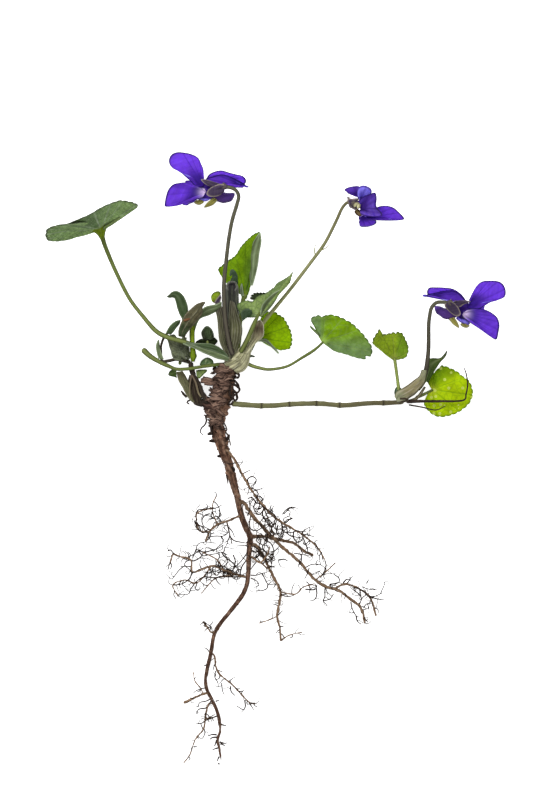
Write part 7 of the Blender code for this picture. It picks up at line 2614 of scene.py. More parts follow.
LEAVES = [
    Leaf(
        "leaf_left", Slot.LEAF,
        [
            (Fan((-30.2, 42.6, 5.8), LEFT_RIM, rays=(1.5, 3, 4.5, 6, 7.2, 8.4, 9.6, 11, 12.5, 14),
                 teeth=26, quilt=0.3, vein_width=0.2, branches=1.1, patch=2.2),
             [LEAF_UNDER_GREEN, LEAF_DEEP]),
            (Strip([(-30.2, 40.0, 6.1), (-31.2, 41.4, 6.2), (-32.6, 42.3, 6.3),
                    (-33.4, 43.2, 6.9)],
                   [(-29.4, 40.0, 6.2), (-29.2, 41.6, 6.4), (-28.6, 43.4, 6.9),
                    (-27.6, 45.0, 7.6)], bow=0.3, veins=3), [LEAF_OLIVE]),
            (Fan((-31.5, 43.3, 7.3), [(-33.0, 42.1, 6.4, 0), (-34.5, 41.6, 6.3, 0),
                 (-36.0, 40.9, 6.4, 0), (-38.0, 40.1, 7.0, 0), (-39.8, 39.8, 7.8, 0),
                 (-41.8, 39.65, 9.0, 0), (-43.4, 40.1, 10.6, 0), (-44.0, 41.2, 12.6, 0.3),
                 (-43.6, 42.4, 14.6, 0.5), (-42.3, 43.1, 16.0, 0.5), (-40.4, 43.6, 17.6, 0.3),
                 (-38.5, 43.8, 19.0, 0), (-36.5, 44.1, 19.4, 0), (-34.0, 44.4, 17.0, 0),
                 (-32.0, 44.2, 11.0, 0)], rays=(2, 4, 5.2, 6.2, 7.2, 8.2, 9.4, 11, 13),
                 teeth=18, quilt=0.3, vein_width=0.2, branches=1.1, patch=0.5),
             [LEAF_UNDER_GREEN, LEAF_DEEP]),
            (Strip([(-29.6, 43.2, 7.6), (-27.4, 44.6, 8.2), (-25.0, 46.2, 8.6),
                    (-22.6, 47.6, 9.6), (-21.2, 48.3, 10.6)],
                   [(-29.6, 42.4, 6.6), (-27.2, 43.9, 7.0), (-25.0, 45.4, 7.4),
                    (-22.8, 46.9, 8.8), (-21.2, 48.0, 10.4)], bow=0.4, veins=2), [LEAF_UNDER]),
            (Strip([(-9.0, 14.5, 8.0), (-7.3, 14.2, 8.1), (-5.0, 14.1, 8.2), (-2.9, 14.0, 8.2),
                    (-1.2, 13.4, 8.0), (0.1, 12.5, 7.7), (1.5, 11.0, 7.0)],
                   [(-8.8, 14.1, 8.0), (-7.3, 13.9, 8.1), (-5.0, 13.1, 8.2), (-2.9, 12.5, 8.2),
                    (-1.2, 12.0, 8.0), (0.1, 11.4, 7.7), (1.5, 10.6, 7.0)]), [YOUNG_GREEN]),
            (Strip([(-9.6, 14.7, 7.7), (-7.3, 13.8, 7.8), (-5.0, 13.0, 7.9), (-2.9, 12.4, 7.9),
                    (-1.2, 11.9, 7.7), (0.3, 11.3, 7.4), (1.8, 10.5, 6.7)],
                   [(-9.7, 14.0, 7.7), (-7.9, 13.3, 7.8), (-6.2, 12.6, 7.8), (-4.6, 11.8, 7.8),
                    (-2.9, 11.1, 7.6), (-1.2, 10.4, 7.3), (1.4, 9.8, 6.6)], bow=0.5, veins=3),
             [LEAF_GREY]),
        ],
        [(0.7, 10.4, 5.8), (-1.5, 11.6, 6.7), (-4.0, 12.6, 7.2), (-6.8, 13.5, 7.4),
         (-9.8, 14.6, 7.5), (-13.8, 15.75, 7.3), (-16.6, 17.35, 7.2), (-19.6, 20.75, 7.0),
         (-23.0, 25.2, 6.8), (-26.1, 31.2, 6.5), (-28.7, 37.2, 6.1), (-29.8, 40.4, 5.9),
         (-30.2, 42.6, 5.8)],
        (0.6, 0.6, 0.62, 0.64, 0.62, 0.55, 0.5, 0.5, 0.5, 0.5, 0.55, 0.7),
    ),
    Leaf(
        "leaf_back", Slot.LEAF,
        [
            (Fan((5.6, 26.2, 2.4), BACK_RIM, rays=(4.2, 8, 10.5, 13, 15.4), teeth=40,
                 tooth=0.2, tone_end=0.9, quilt=0.2), [LEAF_BRIGHT, LEAF_UNDER]),
            (Fan((4.0, 29.0, 2.6), [(2.0, 29.6, 2.0, 0), (1.9, 31.2, 2.1, 0),
                 (2.3, 32.6, 2.3, 0), (3.2, 32.4, 2.5, 0), (3.9, 31.0, 2.7, 0)], patch=0),
             [LEAF_TEAL_SHADE]),
            (Strip([(7.2, 28.6, 2.6), (7.0, 30.5, 2.5), (6.95, 33.0, 2.4), (6.9, 36.3, 2.6),
                    (7.8, 39.3, 3.2), (9.4, 41.8, 3.9)],
                   [(7.6, 28.6, 2.8), (8.4, 31.3, 3.4), (9.0, 34.2, 4.0), (9.35, 37.0, 4.4),
                    (9.8, 39.6, 4.4), (9.6, 41.7, 4.0)], bow=0.5), [LEAF_GREY]),
            (Strip([(4.9, 25.9, 2.9), (4.5, 27.5, 2.9), (4.9, 29.0, 3.0)],
                   [(5.4, 26.0, 2.9), (5.2, 27.6, 2.9), (5.0, 29.1, 3.0)]), [LEAF_GREY]),
        ],
        [(3.6, 11.0, 2.2), (4.3, 15.0, 1.9), (4.6, 20.0, 1.8), (5.2, 24.5, 2.0),
         (5.7, 26.6, 2.5)],
        (0.6, 0.5, 0.55), STALK_LIME,
    ),
    Leaf(
        "leaf_folded", Slot.LEAF,
        [
            (Fan((9.4, 20.9, 9.2), FOLDED_RIM, rays=(3, 6.5, 9, 12, 15, 21), teeth=44,
                 tooth=0.18, quilt=0.2), [LEAF_UNDER, LEAF_DEEP]),
            (Strip([(9.6, 21.4, 9.7), (10.2, 24.0, 10.1), (12.6, 26.4, 10.0), (14.4, 27.4, 9.6)],
                   [(10.1, 21.2, 8.0), (11.9, 22.8, 7.9), (13.6, 25.2, 8.1), (14.4, 27.3, 9.0)],
                   bow=0.3, veins=2), [LEAF_GREY]),
            (Fan((11.0, 25.2, 7.0), [(7.1, 25.0, 6.6, 0), (7.0, 25.8, 6.7, 0),
                 (7.4, 26.3, 6.8, 0), (8.2, 26.8, 7.0, 0), (9.7, 26.9, 7.1, 0),
                 (11.1, 26.9, 7.2, 0), (12.3, 27.7, 7.4, 0), (12.9, 28.2, 7.6, 0)],
                 teeth=9, tooth=0.45, patch=0), [LEAF_NIGHT]),
            (Fan((7.6, 21.6, 8.4), [(5.0, 19.6, 7.2, 0), (4.9, 22.0, 7.6, 0),
                 (6.3, 22.8, 8.2, 0), (7.5, 22.3, 8.6, 0)], patch=0), [LEAF_TEAL_SHADE]),
        ],
        [(4.6, 11.8, 5.9), (6.4, 15.2, 7.4), (8.5, 20.0, 8.8), (9.6, 22.0, 9.2)],
        (0.65, 0.6, 0.6, 0.3),
    ),
    Leaf(
        "leaf_round", Slot.LEAF,
        [
            (Fan((8.6, 15.6, 1.2), ROUND_RIM, rays=(1.5, 4, 7, 10, 13.4), teeth=22, tooth=0.3,
                 quilt=0.2, dome=0.6), [LEAF_SUNNY, LEAF_UNDER]),
            (Strip([(9.05, 15.2, 1.9), (11.1, 15.1, 2.0), (12.7, 13.6, 2.1), (14.2, 11.8, 2.0)],
                   [(9.05, 14.7, 1.9), (10.7, 14.5, 2.0), (12.3, 13.3, 2.1), (14.1, 11.5, 2.0)]),
             [LEAF_GREY]),
        ],
        [(5.4, 9.9, 1.9), (7.2, 12.6, 1.3), (8.6, 15.6, 1.2)],
        (0.55, 0.45, 0.45),
    ),
    Leaf(
        "leaf_low_right", Slot.LEAF,
        [
            (Fan((25.0, 14.5, 7.1), LOW_RIM, rays=(2.5, 6.5, 9.5, 12.4, 16.2, 20.5), teeth=24,
                 tooth=0.3, quilt=0.24, branches=1.5), [LEAF_LIME, LEAF_BRIGHT]),
            (Strip([(22.0, 18.6, 5.4), (22.8, 17.9, 5.8), (23.9, 16.9, 6.4), (24.4, 16.2, 6.8)],
                   [(22.1, 18.1, 5.4), (22.95, 17.2, 5.8), (24.1, 16.1, 6.4),
                    (24.5, 16.0, 6.8)]), [LEAF_UNDER]),
        ],
        [(5.4, 9.6, 3.2), (7.4, 8.6, 3.3), (9.4, 8.0, 3.4), (12.0, 7.65, 3.7),
         (16.2, 8.4, 4.6), (19.9, 10.5, 5.6), (23.2, 12.6, 6.6), (25.4, 14.6, 7.1)],
        (0.5, 0.42, 0.38, 0.35, 0.42, 0.3),
    ),
    Leaf(
        "runner_leaf_upright", Slot.LEAF,
        [
            (Fan((43.2, 10.1, 3.2), UPRIGHT_RIM, rays=(2, 4, 7, 11.5, 16, 19), teeth=22,
                 tooth=0.26, quilt=0.2), [LEAF_OLIVE, LEAF_UNDER]),
        ],
        [(44.2, 2.0, 2.4), (44.0, 4.0, 2.9), (43.6, 7.0, 3.2), (43.1, 10.6, 3.4)],
        (0.5, 0.42, 0.42, 0.4), STALK_LIME,
    ),
    Leaf(
        "runner_leaf_round", Slot.LEAF,
        [
            (Fan((52.5, 2.6, 0.7), GOLDEN_RIM, rays=(1, 3, 5.2, 7.2, 9.4, 11.5, 13), teeth=24,
                 tooth=0.28, quilt=0.16, dome=0.3), [LEAF_GOLDEN, LEAF_UNDER]),
        ],
        [(48.4, 0.6, 1.3), (50.2, 1.3, 1.0), (52.8, 2.6, 0.9)],
        (0.42, 0.38, 0.3),
    ),
    Leaf(
        "runner_leaf_folded", Slot.LEAF,
        [
            (Strip([(50.5, 5.0, 1.9), (50.5, 7.5, 2.2), (51.1, 9.8, 2.6), (52.5, 10.4, 2.8),
                    (54.6, 10.5, 3.0), (56.3, 12.4, 3.2)],
                   [(51.5, 4.3, 1.9), (52.5, 6.3, 2.2), (54.25, 9.1, 2.6), (55.8, 10.9, 3.0),
                    (56.3, 12.3, 3.2)], bow=0.5, tones=(0, 0, 0, 0.2, 1)), [LEAF_DEEP]),
        ],
        [(51.0, 5.2, 1.9), (50.0, 3.6, 1.5), (49.0, 2.4, 1.4)],
        (0.38, 0.34),
    ),
    Leaf(
        "young_leaf_hooked", Slot.YOUNG_LEAF,
        [
            (Strip([(-9.9, 20.2, 3.0), (-10.6, 21.55, 3.0), (-11.1, 22.9, 3.0),
                    (-11.4, 24.2, 3.1), (-11.8, 25.4, 3.2), (-12.5, 25.65, 3.2),
                    (-13.0, 25.55, 3.1), (-13.7, 25.75, 3.0)],
                   [(-8.5, 21.4, 3.0), (-8.6, 23.2, 3.0), (-8.95, 24.55, 3.1),
                    (-9.6, 25.9, 3.2), (-10.6, 26.9, 3.2), (-11.55, 27.2, 3.2),
                    (-12.5, 26.95, 3.2), (-13.15, 26.3, 3.1), (-13.7, 25.9, 3.0)],
                   bow=0.6, tones=(0, 0, 0, 0, 0.2, 1)), [YOUNG_GREEN]),
        ],
        [(-9.6, 21.0, 2.9), (-9.6, 16.0, 2.4), (-10.0, 12.0, 1.6), (-10.6, 8.8, 1.4)],
        (0.45, 0.4),
    ),
    Leaf(
        "young_leaf_rolled", Slot.YOUNG_LEAF,
        [
            (Strip([(-14.0, 16.7, 4.5), (-13.0, 18.45, 4.7), (-11.65, 19.6, 5.0),
                    (-10.45, 19.95, 5.2)],
                   [(-12.9, 16.3, 4.5), (-12.2, 17.0, 4.7), (-11.3, 18.2, 5.0),
                    (-10.6, 19.1, 5.2), (-10.4, 19.9, 5.2)], bow=0.5), [YOUNG_GREEN]),
            (Strip([(-15.8, 10.3, 2.2), (-16.3, 12.0, 2.5), (-16.45, 13.7, 2.7),
                    (-15.9, 15.1, 2.9)],
                   [(-14.6, 10.2, 2.2), (-15.15, 11.65, 2.5), (-15.5, 13.2, 2.7),
                    (-15.8, 15.0, 2.9)]), [LEAF_GREY]),
        ],
        [(-13.6, 16.7, 4.5), (-14.6, 15.4, 3.8), (-15.2, 13.6, 3.0), (-15.2, 12.0, 2.5),
         (-15.0, 9.8, 2.1), (-13.4, 9.8, 2.2), (-11.4, 10.2, 2.6), (-9.6, 9.9, 3.0),
         (-7.8, 9.4, 3.2)],
        (0.36, 0.3, 0.3, 0.4, 0.44, 0.5), SHOOT_DARK,
    ),
    Leaf(
        "old_leaf_tip", Slot.WITHERED,
        [
            (Strip([(-10.8, 15.9, 7.0), (-10.75, 17.6, 7.3), (-9.95, 19.7, 7.5),
                    (-8.9, 21.5, 7.6), (-7.7, 22.7, 7.7), (-6.3, 23.9, 7.7),
                    (-4.5, 24.5, 7.4), (-4.2, 24.3, 7.3)],
                   [(-9.4, 15.6, 7.0), (-8.8, 16.7, 7.3), (-7.6, 18.2, 7.5),
                    (-6.4, 19.7, 7.6), (-5.2, 21.3, 7.7), (-4.9, 22.3, 7.7),
                    (-4.9, 23.2, 7.4), (-4.3, 24.1, 7.3)],
                   bow=0.8, veins=2, columns=24, tones=(1, 1, 0.9, 0.3, 0, 0, 0, 0, 0.5)),
             [DOWNY_BROWN]),
            (Strip([(-9.6, 20.0, 8.4), (-8.8, 20.3, 8.6), (-7.9, 20.4, 8.7)],
                   [(-9.4, 19.6, 8.4), (-8.8, 19.8, 8.6), (-8.0, 20.1, 8.7)],
                   veins=0), [RUST]),
        ],
    ),
    Leaf(
        "old_leaf_arched", Slot.YOUNG_LEAF,
        [
            (Strip([(-0.1, 22.9, 4.6), (-1.6, 22.05, 4.8), (-3.25, 21.2, 4.9),
                    (-4.75, 20.7, 5.0), (-5.6, 20.2, 5.0), (-6.25, 19.05, 5.0),
                    (-6.8, 17.35, 4.9), (-7.1, 16.0, 4.8), (-7.3, 13.7, 4.6)],
                   [(-0.1, 24.5, 4.6), (-1.25, 23.9, 4.8), (-2.4, 23.7, 4.9),
                    (-4.25, 23.2, 5.0), (-5.25, 22.2, 5.0), (-6.3, 21.2, 5.0),
                    (-7.05, 19.85, 5.0), (-7.85, 18.35, 4.9), (-8.05, 16.7, 4.8),
                    (-7.9, 13.85, 4.6)], bow=0.7, columns=20, veins=2), [LEAF_GREY]),
            (Strip([(-6.8, 18.6, 5.4), (-6.9, 16.0, 5.5), (-6.8, 13.2, 5.4), (-6.5, 11.0, 5.0),
                    (-6.9, 9.6, 4.4)],
                   [(-7.8, 18.3, 5.4), (-7.9, 16.0, 5.5), (-7.8, 13.2, 5.4), (-7.9, 11.0, 5.0),
                    (-7.6, 9.6, 4.4)], bow=0.4, veins=2), [LEAF_OLIVE]),
        ],
        [(-7.4, 16.0, 4.6), (-7.6, 13.6, 4.5), (-7.7, 11.2, 4.4)],
        (0.4, 0.3), STALK_LIME,
    ),
    Leaf(
        "young_leaf_bud", Slot.YOUNG_LEAF,
        [
            (Fan((-3.6, 15.2, 2.9), [(-4.75, 15.4, 2.6, 1), (-5.1, 16.7, 2.7, 1),
                 (-4.6, 17.85, 2.8, 0.6), (-3.75, 18.5, 2.8, 0.2), (-2.85, 17.95, 2.8, 0.2),
                 (-2.25, 16.85, 2.7, 0.6), (-2.1, 15.75, 2.6, 1), (-2.6, 15.2, 2.6, 1)],
                 rays=(1, 2, 3, 4, 5, 6), branches=0, dome=1.0, patch=0, vein_width=0.08),
             [YOUNG_GREEN]),
        ],
        [(-3.7, 14.9, 2.9), (-3.0, 12.6, 2.8), (-0.6, 10.8, 2.8)],
    ),
    Leaf(
        "withered_bud_scales", Slot.WITHERED,
        [
            (Strip([(-6.6, 14.45, 1.6), (-5.25, 15.2, 1.8), (-3.6, 15.1, 2.0),
                    (-2.25, 15.7, 2.0), (-1.2, 14.9, 1.8)],
                   [(-6.45, 14.0, 1.6), (-4.95, 13.8, 1.8), (-3.25, 13.8, 2.0),
                    (-1.9, 13.8, 2.0), (-1.15, 14.6, 1.8)], ruffle=0.6), [LEAF_NIGHT]),
        ],
    ),
    Leaf(
        "young_leaf_crumpled", Slot.YOUNG_LEAF,
        [
            (Fan((-10.2, 12.2, 3.6), [(-8.4, 10.0, 3.1, 0), (-9.6, 9.9, 3.1, 0.2),
                 (-11.2, 9.95, 3.1, 0), (-12.3, 10.6, 3.1, 0), (-12.8, 12.5, 3.2, 0),
                 (-13.3, 14.3, 3.2, 0), (-13.7, 15.6, 3.3, 0.1), (-12.0, 16.4, 3.5, 0.6),
                 (-11.0, 15.2, 3.5, 1), (-8.6, 14.0, 3.6, 1), (-8.1, 12.0, 3.5, 0.7),
                 (-8.0, 10.6, 3.2, 0.3), (-8.4, 10.05, 3.1, 0)], rays=(1, 2.6, 4, 5.4, 7, 9, 11),
                 dome=0.8, ruffle=1.1, quilt=0.4, vein_width=0.2, branches=0.7, patch=0,
                 tone_end=9.0), [DOWNY_GREEN]),
            (Strip([(-8.8, 15.6, 3.9), (-9.2, 14.2, 3.9), (-9.3, 12.9, 3.8)],
                   [(-9.9, 15.8, 3.9), (-10.2, 14.4, 3.9), (-10.1, 13.2, 3.8)]), [DOWNY_GREEN]),
            (Strip([(-7.8, 13.25, 4.2), (-6.95, 12.15, 4.2), (-6.35, 11.0, 4.0),
                    (-7.1, 9.65, 3.6)],
                   [(-7.95, 13.0, 4.2), (-7.85, 11.65, 4.2), (-7.7, 10.5, 4.0),
                    (-7.45, 9.65, 3.6)]), [LEAF_GOLDEN]),
        ],
    ),
    Leaf(
        "young_leaf_small", Slot.LEAF,
        [
            (Fan((-1.9, 24.1, 2.9), [(-2.5, 24.75, 2.8, 0), (-2.7, 25.9, 2.8, 0),
                 (-2.1, 26.8, 2.8, 0), (-0.9, 27.2, 2.8, 0), (-0.3, 26.65, 2.8, 0),
                 (-1.1, 25.4, 2.9, 0), (-1.8, 24.4, 2.9, 0)], rays=(3,), dome=0.3), [LEAF_OLIVE]),
            (Strip([(-2.0, 24.2, 3.2), (-1.25, 25.3, 3.4), (-0.35, 26.4, 3.4)],
                   [(-1.5, 24.05, 3.2), (-0.6, 24.4, 3.4), (-0.2, 25.6, 3.4)]), [SEPAL_PLUM]),
        ],
        [(-1.5, 24.1, 2.9), (-0.6, 19.0, 2.9), (0.7, 13.4, 2.9)], (0.4, 0.35),
    ),
    Leaf(
        "sheath_centre_left", Slot.SHEATH,
        [
            (Strip([(1.9, 10.2, 5.0), (0.45, 12.35, 5.5), (-0.5, 14.5, 5.6), (-0.85, 17.0, 5.6),
                    (-1.0, 19.35, 5.6), (-1.25, 21.0, 5.5), (-1.5, 22.0, 5.4)],
                   [(2.2, 10.3, 5.0), (1.4, 12.85, 5.5), (0.95, 15.35, 5.6), (0.65, 17.85, 5.6),
                    (0.45, 20.4, 5.6), (0.2, 22.2, 5.5), (-0.1, 23.4, 5.4)],
                   bow=0.8, columns=24, veins=4, tones=(0.8, 0.4, 0.1, 0.5, 0.2, 0.9)),
             [SHEATH_PAPER]),
        ],
    ),
    Leaf(
        "sheath_centre_right", Slot.SHEATH,
        [
            (Strip([(2.1, 10.15, 5.4), (1.6, 12.85, 5.9), (1.5, 16.2, 6.1), (1.7, 19.55, 6.0),
                    (1.9, 22.9, 5.9), (2.1, 24.8, 5.7)],
                   [(2.6, 10.3, 5.4), (3.9, 13.2, 5.9), (4.8, 15.7, 6.1), (5.0, 17.85, 6.0),
                    (4.4, 20.05, 5.9), (3.7, 22.0, 5.8), (3.0, 24.4, 5.7)],
                   bow=0.9, columns=30, veins=5, tones=(0.6, 0.1, 0.3, 0.0, 0.4, 0.9)),
             [SHEATH_PAPER]),
        ],
    ),
    Leaf(
        "sheath_right", Slot.SHEATH,
        [
            (Strip([(5.4, 11.8, 5.5), (7.0, 14.5, 5.9), (7.6, 16.5, 6.1), (8.0, 18.85, 6.1),
                    (9.3, 19.9, 5.9)],
                   [(6.4, 11.6, 5.5), (8.2, 14.0, 5.9), (9.9, 15.5, 6.1), (10.4, 16.4, 6.1),
                    (10.3, 18.85, 6.0), (9.6, 19.9, 5.9)],
                   bow=0.6, columns=20, veins=2, tones=(0, 0, 0.5, 1, 0.6)), [SHEATH_PALE]),
        ],
    ),
    Leaf(
        "leaf_rolled_centre", Slot.YOUNG_LEAF,
        [
            (Strip([(1.3, 12.6, 3.9), (1.2, 19.4, 4.2), (1.0, 23.7, 4.4), (0.95, 27.0, 4.5),
                    (1.2, 28.6, 4.5)],
                   [(3.4, 12.6, 3.9), (4.0, 19.4, 4.2), (4.1, 23.7, 4.4), (4.0, 27.0, 4.5),
                    (3.9, 28.6, 4.5)], bow=1.0, columns=26, veins=3,
                   tones=(0.3, 0.8, 0.2, 1, 0.4, 0.9)), [YOUNG_DUSK]),
            (Fan((2.5, 28.3, 4.6), [(2.5, 26.9, 5.4, 1), (1.5, 27.3, 5.5, 1),
                 (1.1, 28.3, 5.5, 1), (1.5, 29.3, 5.5, 1), (2.5, 29.7, 5.5, 1),
                 (3.5, 29.3, 5.5, 1), (3.9, 28.3, 5.5, 1), (3.5, 27.3, 5.5, 1),
                 (2.6, 26.9, 5.4, 1)], patch=0, ruffle=0.5), [YOUNG_DUSK]),
        ],
        wall=0.34,
    ),
]  # fmt: skip


LEAF_BASE = [
    (Stem([(2.1, 9.4, 3.0), (3.2, 11.0, 3.6), (4.6, 13.2, 4.0)], [2.0, 1.9, 1.5, 0.8],
          columns=24, spacing=0.2, rough=0.16, flute=0.05, flutes=9), SHEATH_PALE),
    (Strip([(0.6, 9.6, 4.4), (1.6, 10.7, 4.9), (2.8, 11.8, 5.2), (5.3, 13.5, 5.2),
            (8.0, 15.3, 4.9)],
           [(3.8, 6.7, 3.4), (5.5, 7.4, 3.8), (6.6, 9.0, 4.2), (7.1, 11.5, 4.5),
            (8.1, 14.9, 4.8)], bow=1.0, columns=36, veins=5, ruffle=0.5), SHEATH_PALE),
    (Strip([(0.2, 8.8, 4.9), (1.9, 9.9, 5.2), (4.0, 10.4, 5.6)],
           [(1.8, 7.4, 4.6), (3.2, 8.0, 5.0), (4.6, 9.4, 5.5)], bow=0.6, ruffle=0.5,
           veins=3), SHEATH_PALE),
    (Stem([(5.8, 10.7, 4.4), (7.2, 11.0, 4.6), (8.3, 10.8, 4.5)], [0.6, 0.4, 0.2],
          rough=0.3), YOUNG_GREEN),
    (Stem([(4.4, 9.0, 4.2), (5.6, 8.6, 4.2), (6.0, 8.0, 4.1)], [0.6, 0.45, 0.3],
          rough=0.3), YOUNG_GREEN),
]  # fmt: skip
SHOOT = [
    (Stem([(-7.9, 9.6, 4.4), (-7.6, 7.9, 4.4), (-7.1, 6.2, 4.3), (-6.1, 4.5, 4.0),
           (-5.4, 2.9, 3.6), (-4.7, 1.2, 3.2), (-3.6, -0.4, 2.8), (-2.4, -1.4, 2.4)],
          [0.6, 0.66, 0.6, 0.62, 0.7, 0.8], rough=0.35, lump=1.4), SHOOT_DARK),
    (Strip([(-9.95, 7.2, 2.6), (-9.1, 5.9, 3.0), (-8.1, 3.7, 3.4), (-7.8, 1.8, 3.2),
            (-7.1, 0.0, 2.6), (-6.0, -0.8, 2.0)],
           [(-11.3, 7.0, 2.4), (-10.8, 5.0, 2.6), (-9.8, 3.2, 2.6), (-9.1, 1.8, 2.4),
            (-8.1, 0.3, 2.0), (-6.8, -0.9, 1.8)],
           bow=1.0, columns=26, veins=4, ruffle=0.4), SHOOT_BROWN),
    (Strip([(-7.2, 6.2, 3.2), (-6.2, 4.2, 3.2), (-5.8, 2.5, 3.0), (-5.2, 0.6, 2.8),
            (-4.9, -0.8, 2.4)],
           [(-8.1, 6.2, 3.0), (-8.4, 4.6, 3.0), (-8.0, 2.9, 3.0), (-7.8, 1.2, 2.8),
            (-7.2, -0.4, 2.4)], bow=0.9, columns=24, veins=3, ruffle=0.5), SHOOT_DARK),
    (Stem([(-3.4, -0.8, 2.4), (-5.6, -0.6, 2.2), (-7.6, 0.8, 2.0), (-9.0, 3.4, 1.7),
           (-10.2, 6.4, 1.8)], [1.0, 1.0, 0.8, 0.9, 0.4], columns=16, rough=0.3), SHOOT_DARK),
    (Stem([(-7.6, 6.3, 4.8), (-8.05, 3.3, 4.4), (-8.0, 1.2, 3.9), (-7.9, 0.3, 3.4)],
          [0.2, 0.18, 0.14], columns=6), SHOOT_PALE),
    (Stem([(-7.5, 6.3, 4.8), (-6.5, 4.2, 4.9), (-5.9, 1.9, 4.5), (-5.2, 0.7, 4.2)],
          [0.2, 0.26, 0.2], columns=6), SHOOT_PALE),
    (Stem([(-10.3, 2.4, 1.8), (-9.6, 1.5, 1.7), (-8.8, 0.6, 1.7)], [0.12, 0.35, 0.3],
          rough=0.3), SHOOT_DARK),
    (Stem([(-7.9, 0.0, 1.8), (-8.8, -0.5, 1.5), (-8.1, -1.1, 1.3)], [0.25, 0.2, 0.18],
          columns=8), SHOOT_DARK),
    (Fan((-11.4, 7.1, 3.0), [(-11.3, 5.5, 2.6, 0), (-12.1, 5.8, 2.6, 0),
         (-13.4, 6.2, 2.6, 0), (-13.1, 7.1, 2.8, 0), (-12.4, 7.6, 3.0, 0),
         (-11.4, 7.8, 3.0, 0)], rays=(2,), patch=0), LEAF_DEEP),
    (Fan((-6.2, 5.6, 3.8), [(-6.5, 7.4, 4.2, 0), (-5.2, 7.6, 4.4, 0), (-3.6, 7.5, 4.6, 0),
         (-4.7, 6.4, 4.4, 0), (-5.7, 5.4, 4.0, 0)], rays=(1, 2.4), patch=0), LEAF_UNDER),
    (Fan((-4.4, 8.5, 4.6), [(-5.6, 8.8, 4.4, 1), (-5.1, 9.8, 4.6, 1), (-3.75, 10.6, 4.8, 1),
         (-2.4, 10.1, 4.8, 1), (-2.1, 9.1, 4.8, 1), (-3.0, 8.4, 4.6, 1)], rays=(2, 3.4),
         patch=0), LEAF_UNDER),
]  # fmt: skip
CUT_STALK = [
    (Stem([(-19.9, 12.8, 5.4), (-18.0, 11.0, 5.4), (-15.4, 9.4, 5.5), (-13.6, 8.6, 5.5),
           (-11.3, 7.7, 5.6), (-8.25, 7.8, 5.7), (-5.8, 8.2, 5.6), (-1.5, 8.8, 5.0),
           # The paler band along the stalk's top is a painted highlight.
           (1.2, 8.9, 4.2)], [0.8, 0.55, 0.42, 0.42, 0.5], columns=14, highlight_stripe=0.8,
          rough=0.08), STALK_GREEN),
]  # fmt: skip
RUNNER_CROWN = [
    (Stem([(43.6, 0.4, 1.7), (45.4, 1.0, 1.9), (47.6, 2.6, 2.2), (49.6, 4.6, 2.6)],
          [0.9, 1.1, 1.1, 0.8], columns=20, rough=0.2), SHOOT_BROWN),
    (Strip([(43.2, 0.8, 2.2), (43.6, 2.1, 2.6), (45.0, 2.8, 2.9), (46.5, 3.7, 3.1),
            (48.0, 4.9, 3.3), (49.3, 5.9, 3.7), (50.0, 7.6, 4.0)],
           [(43.8, -0.5, 2.0), (45.5, -0.3, 2.2), (47.0, 0.7, 2.4), (48.2, 1.5, 2.6),
            (49.4, 2.8, 2.9), (50.6, 4.4, 3.4), (51.2, 7.4, 4.0)],
           bow=1.0, columns=34, veins=3, ruffle=0.5, tones=(1, 0.8, 0, 0, 0, 0.6, 1)),
     SHEATH_TAN),
    (Strip([(44.4, 0.5, 2.9), (45.6, 0.6, 3.0), (46.6, 0.3, 2.8)],
           [(44.6, -0.5, 2.4), (45.6, -0.5, 2.4), (46.6, -0.1, 2.4)],
           bow=0.4, ruffle=0.5), SHOOT_DARK),
    (Fan((43.8, 1.0, 2.6), [(43.2, 0.9, 2.4, 0), (43.1, 2.2, 2.5, 0), (43.5, 3.2, 2.7, 0),
         (44.4, 3.2, 2.9, 0), (45.0, 2.6, 2.8, 0), (44.8, 1.6, 2.7, 0)], rays=(2,), patch=0),
     LEAF_TEAL_SHADE),
    (Strip([(46.2, -0.2, 1.9), (48.6, 0.8, 2.0), (50.6, 3.4, 2.2)],
           [(46.4, -0.7, 1.8), (48.9, 0.3, 1.9), (50.9, 3.2, 2.1)]), SHEATH_TAN),
]  # fmt: skip


@dataclass
class Crown:
    """A sheathing piece of the crown, made of stems and strips that each have a finish."""

    name: str
    slot: Slot
    shapes: Sequence[tuple[Surface, SkinFinish]]
    wall: float = 0.25

    def build(self) -> None:
        """Models the piece and seats it. Stems close on themselves and take no wall."""
        parts = []
        for surface, finish in self.shapes:
            wall = 0.0 if isinstance(surface, Stem) else self.wall
            parts.append(surface.model("shape", [finish], wall))
        seat(joined("violet_" + self.name, parts), self.slot, self.name)


CROWNS = [
    Crown("leaf_base", Slot.SHEATH, LEAF_BASE),
    Crown("side_shoot", Slot.SHEATH, SHOOT),
    Crown("cut_stalk", Slot.LEAF, CUT_STALK),
    Crown("runner_crown", Slot.SHEATH, RUNNER_CROWN),
]


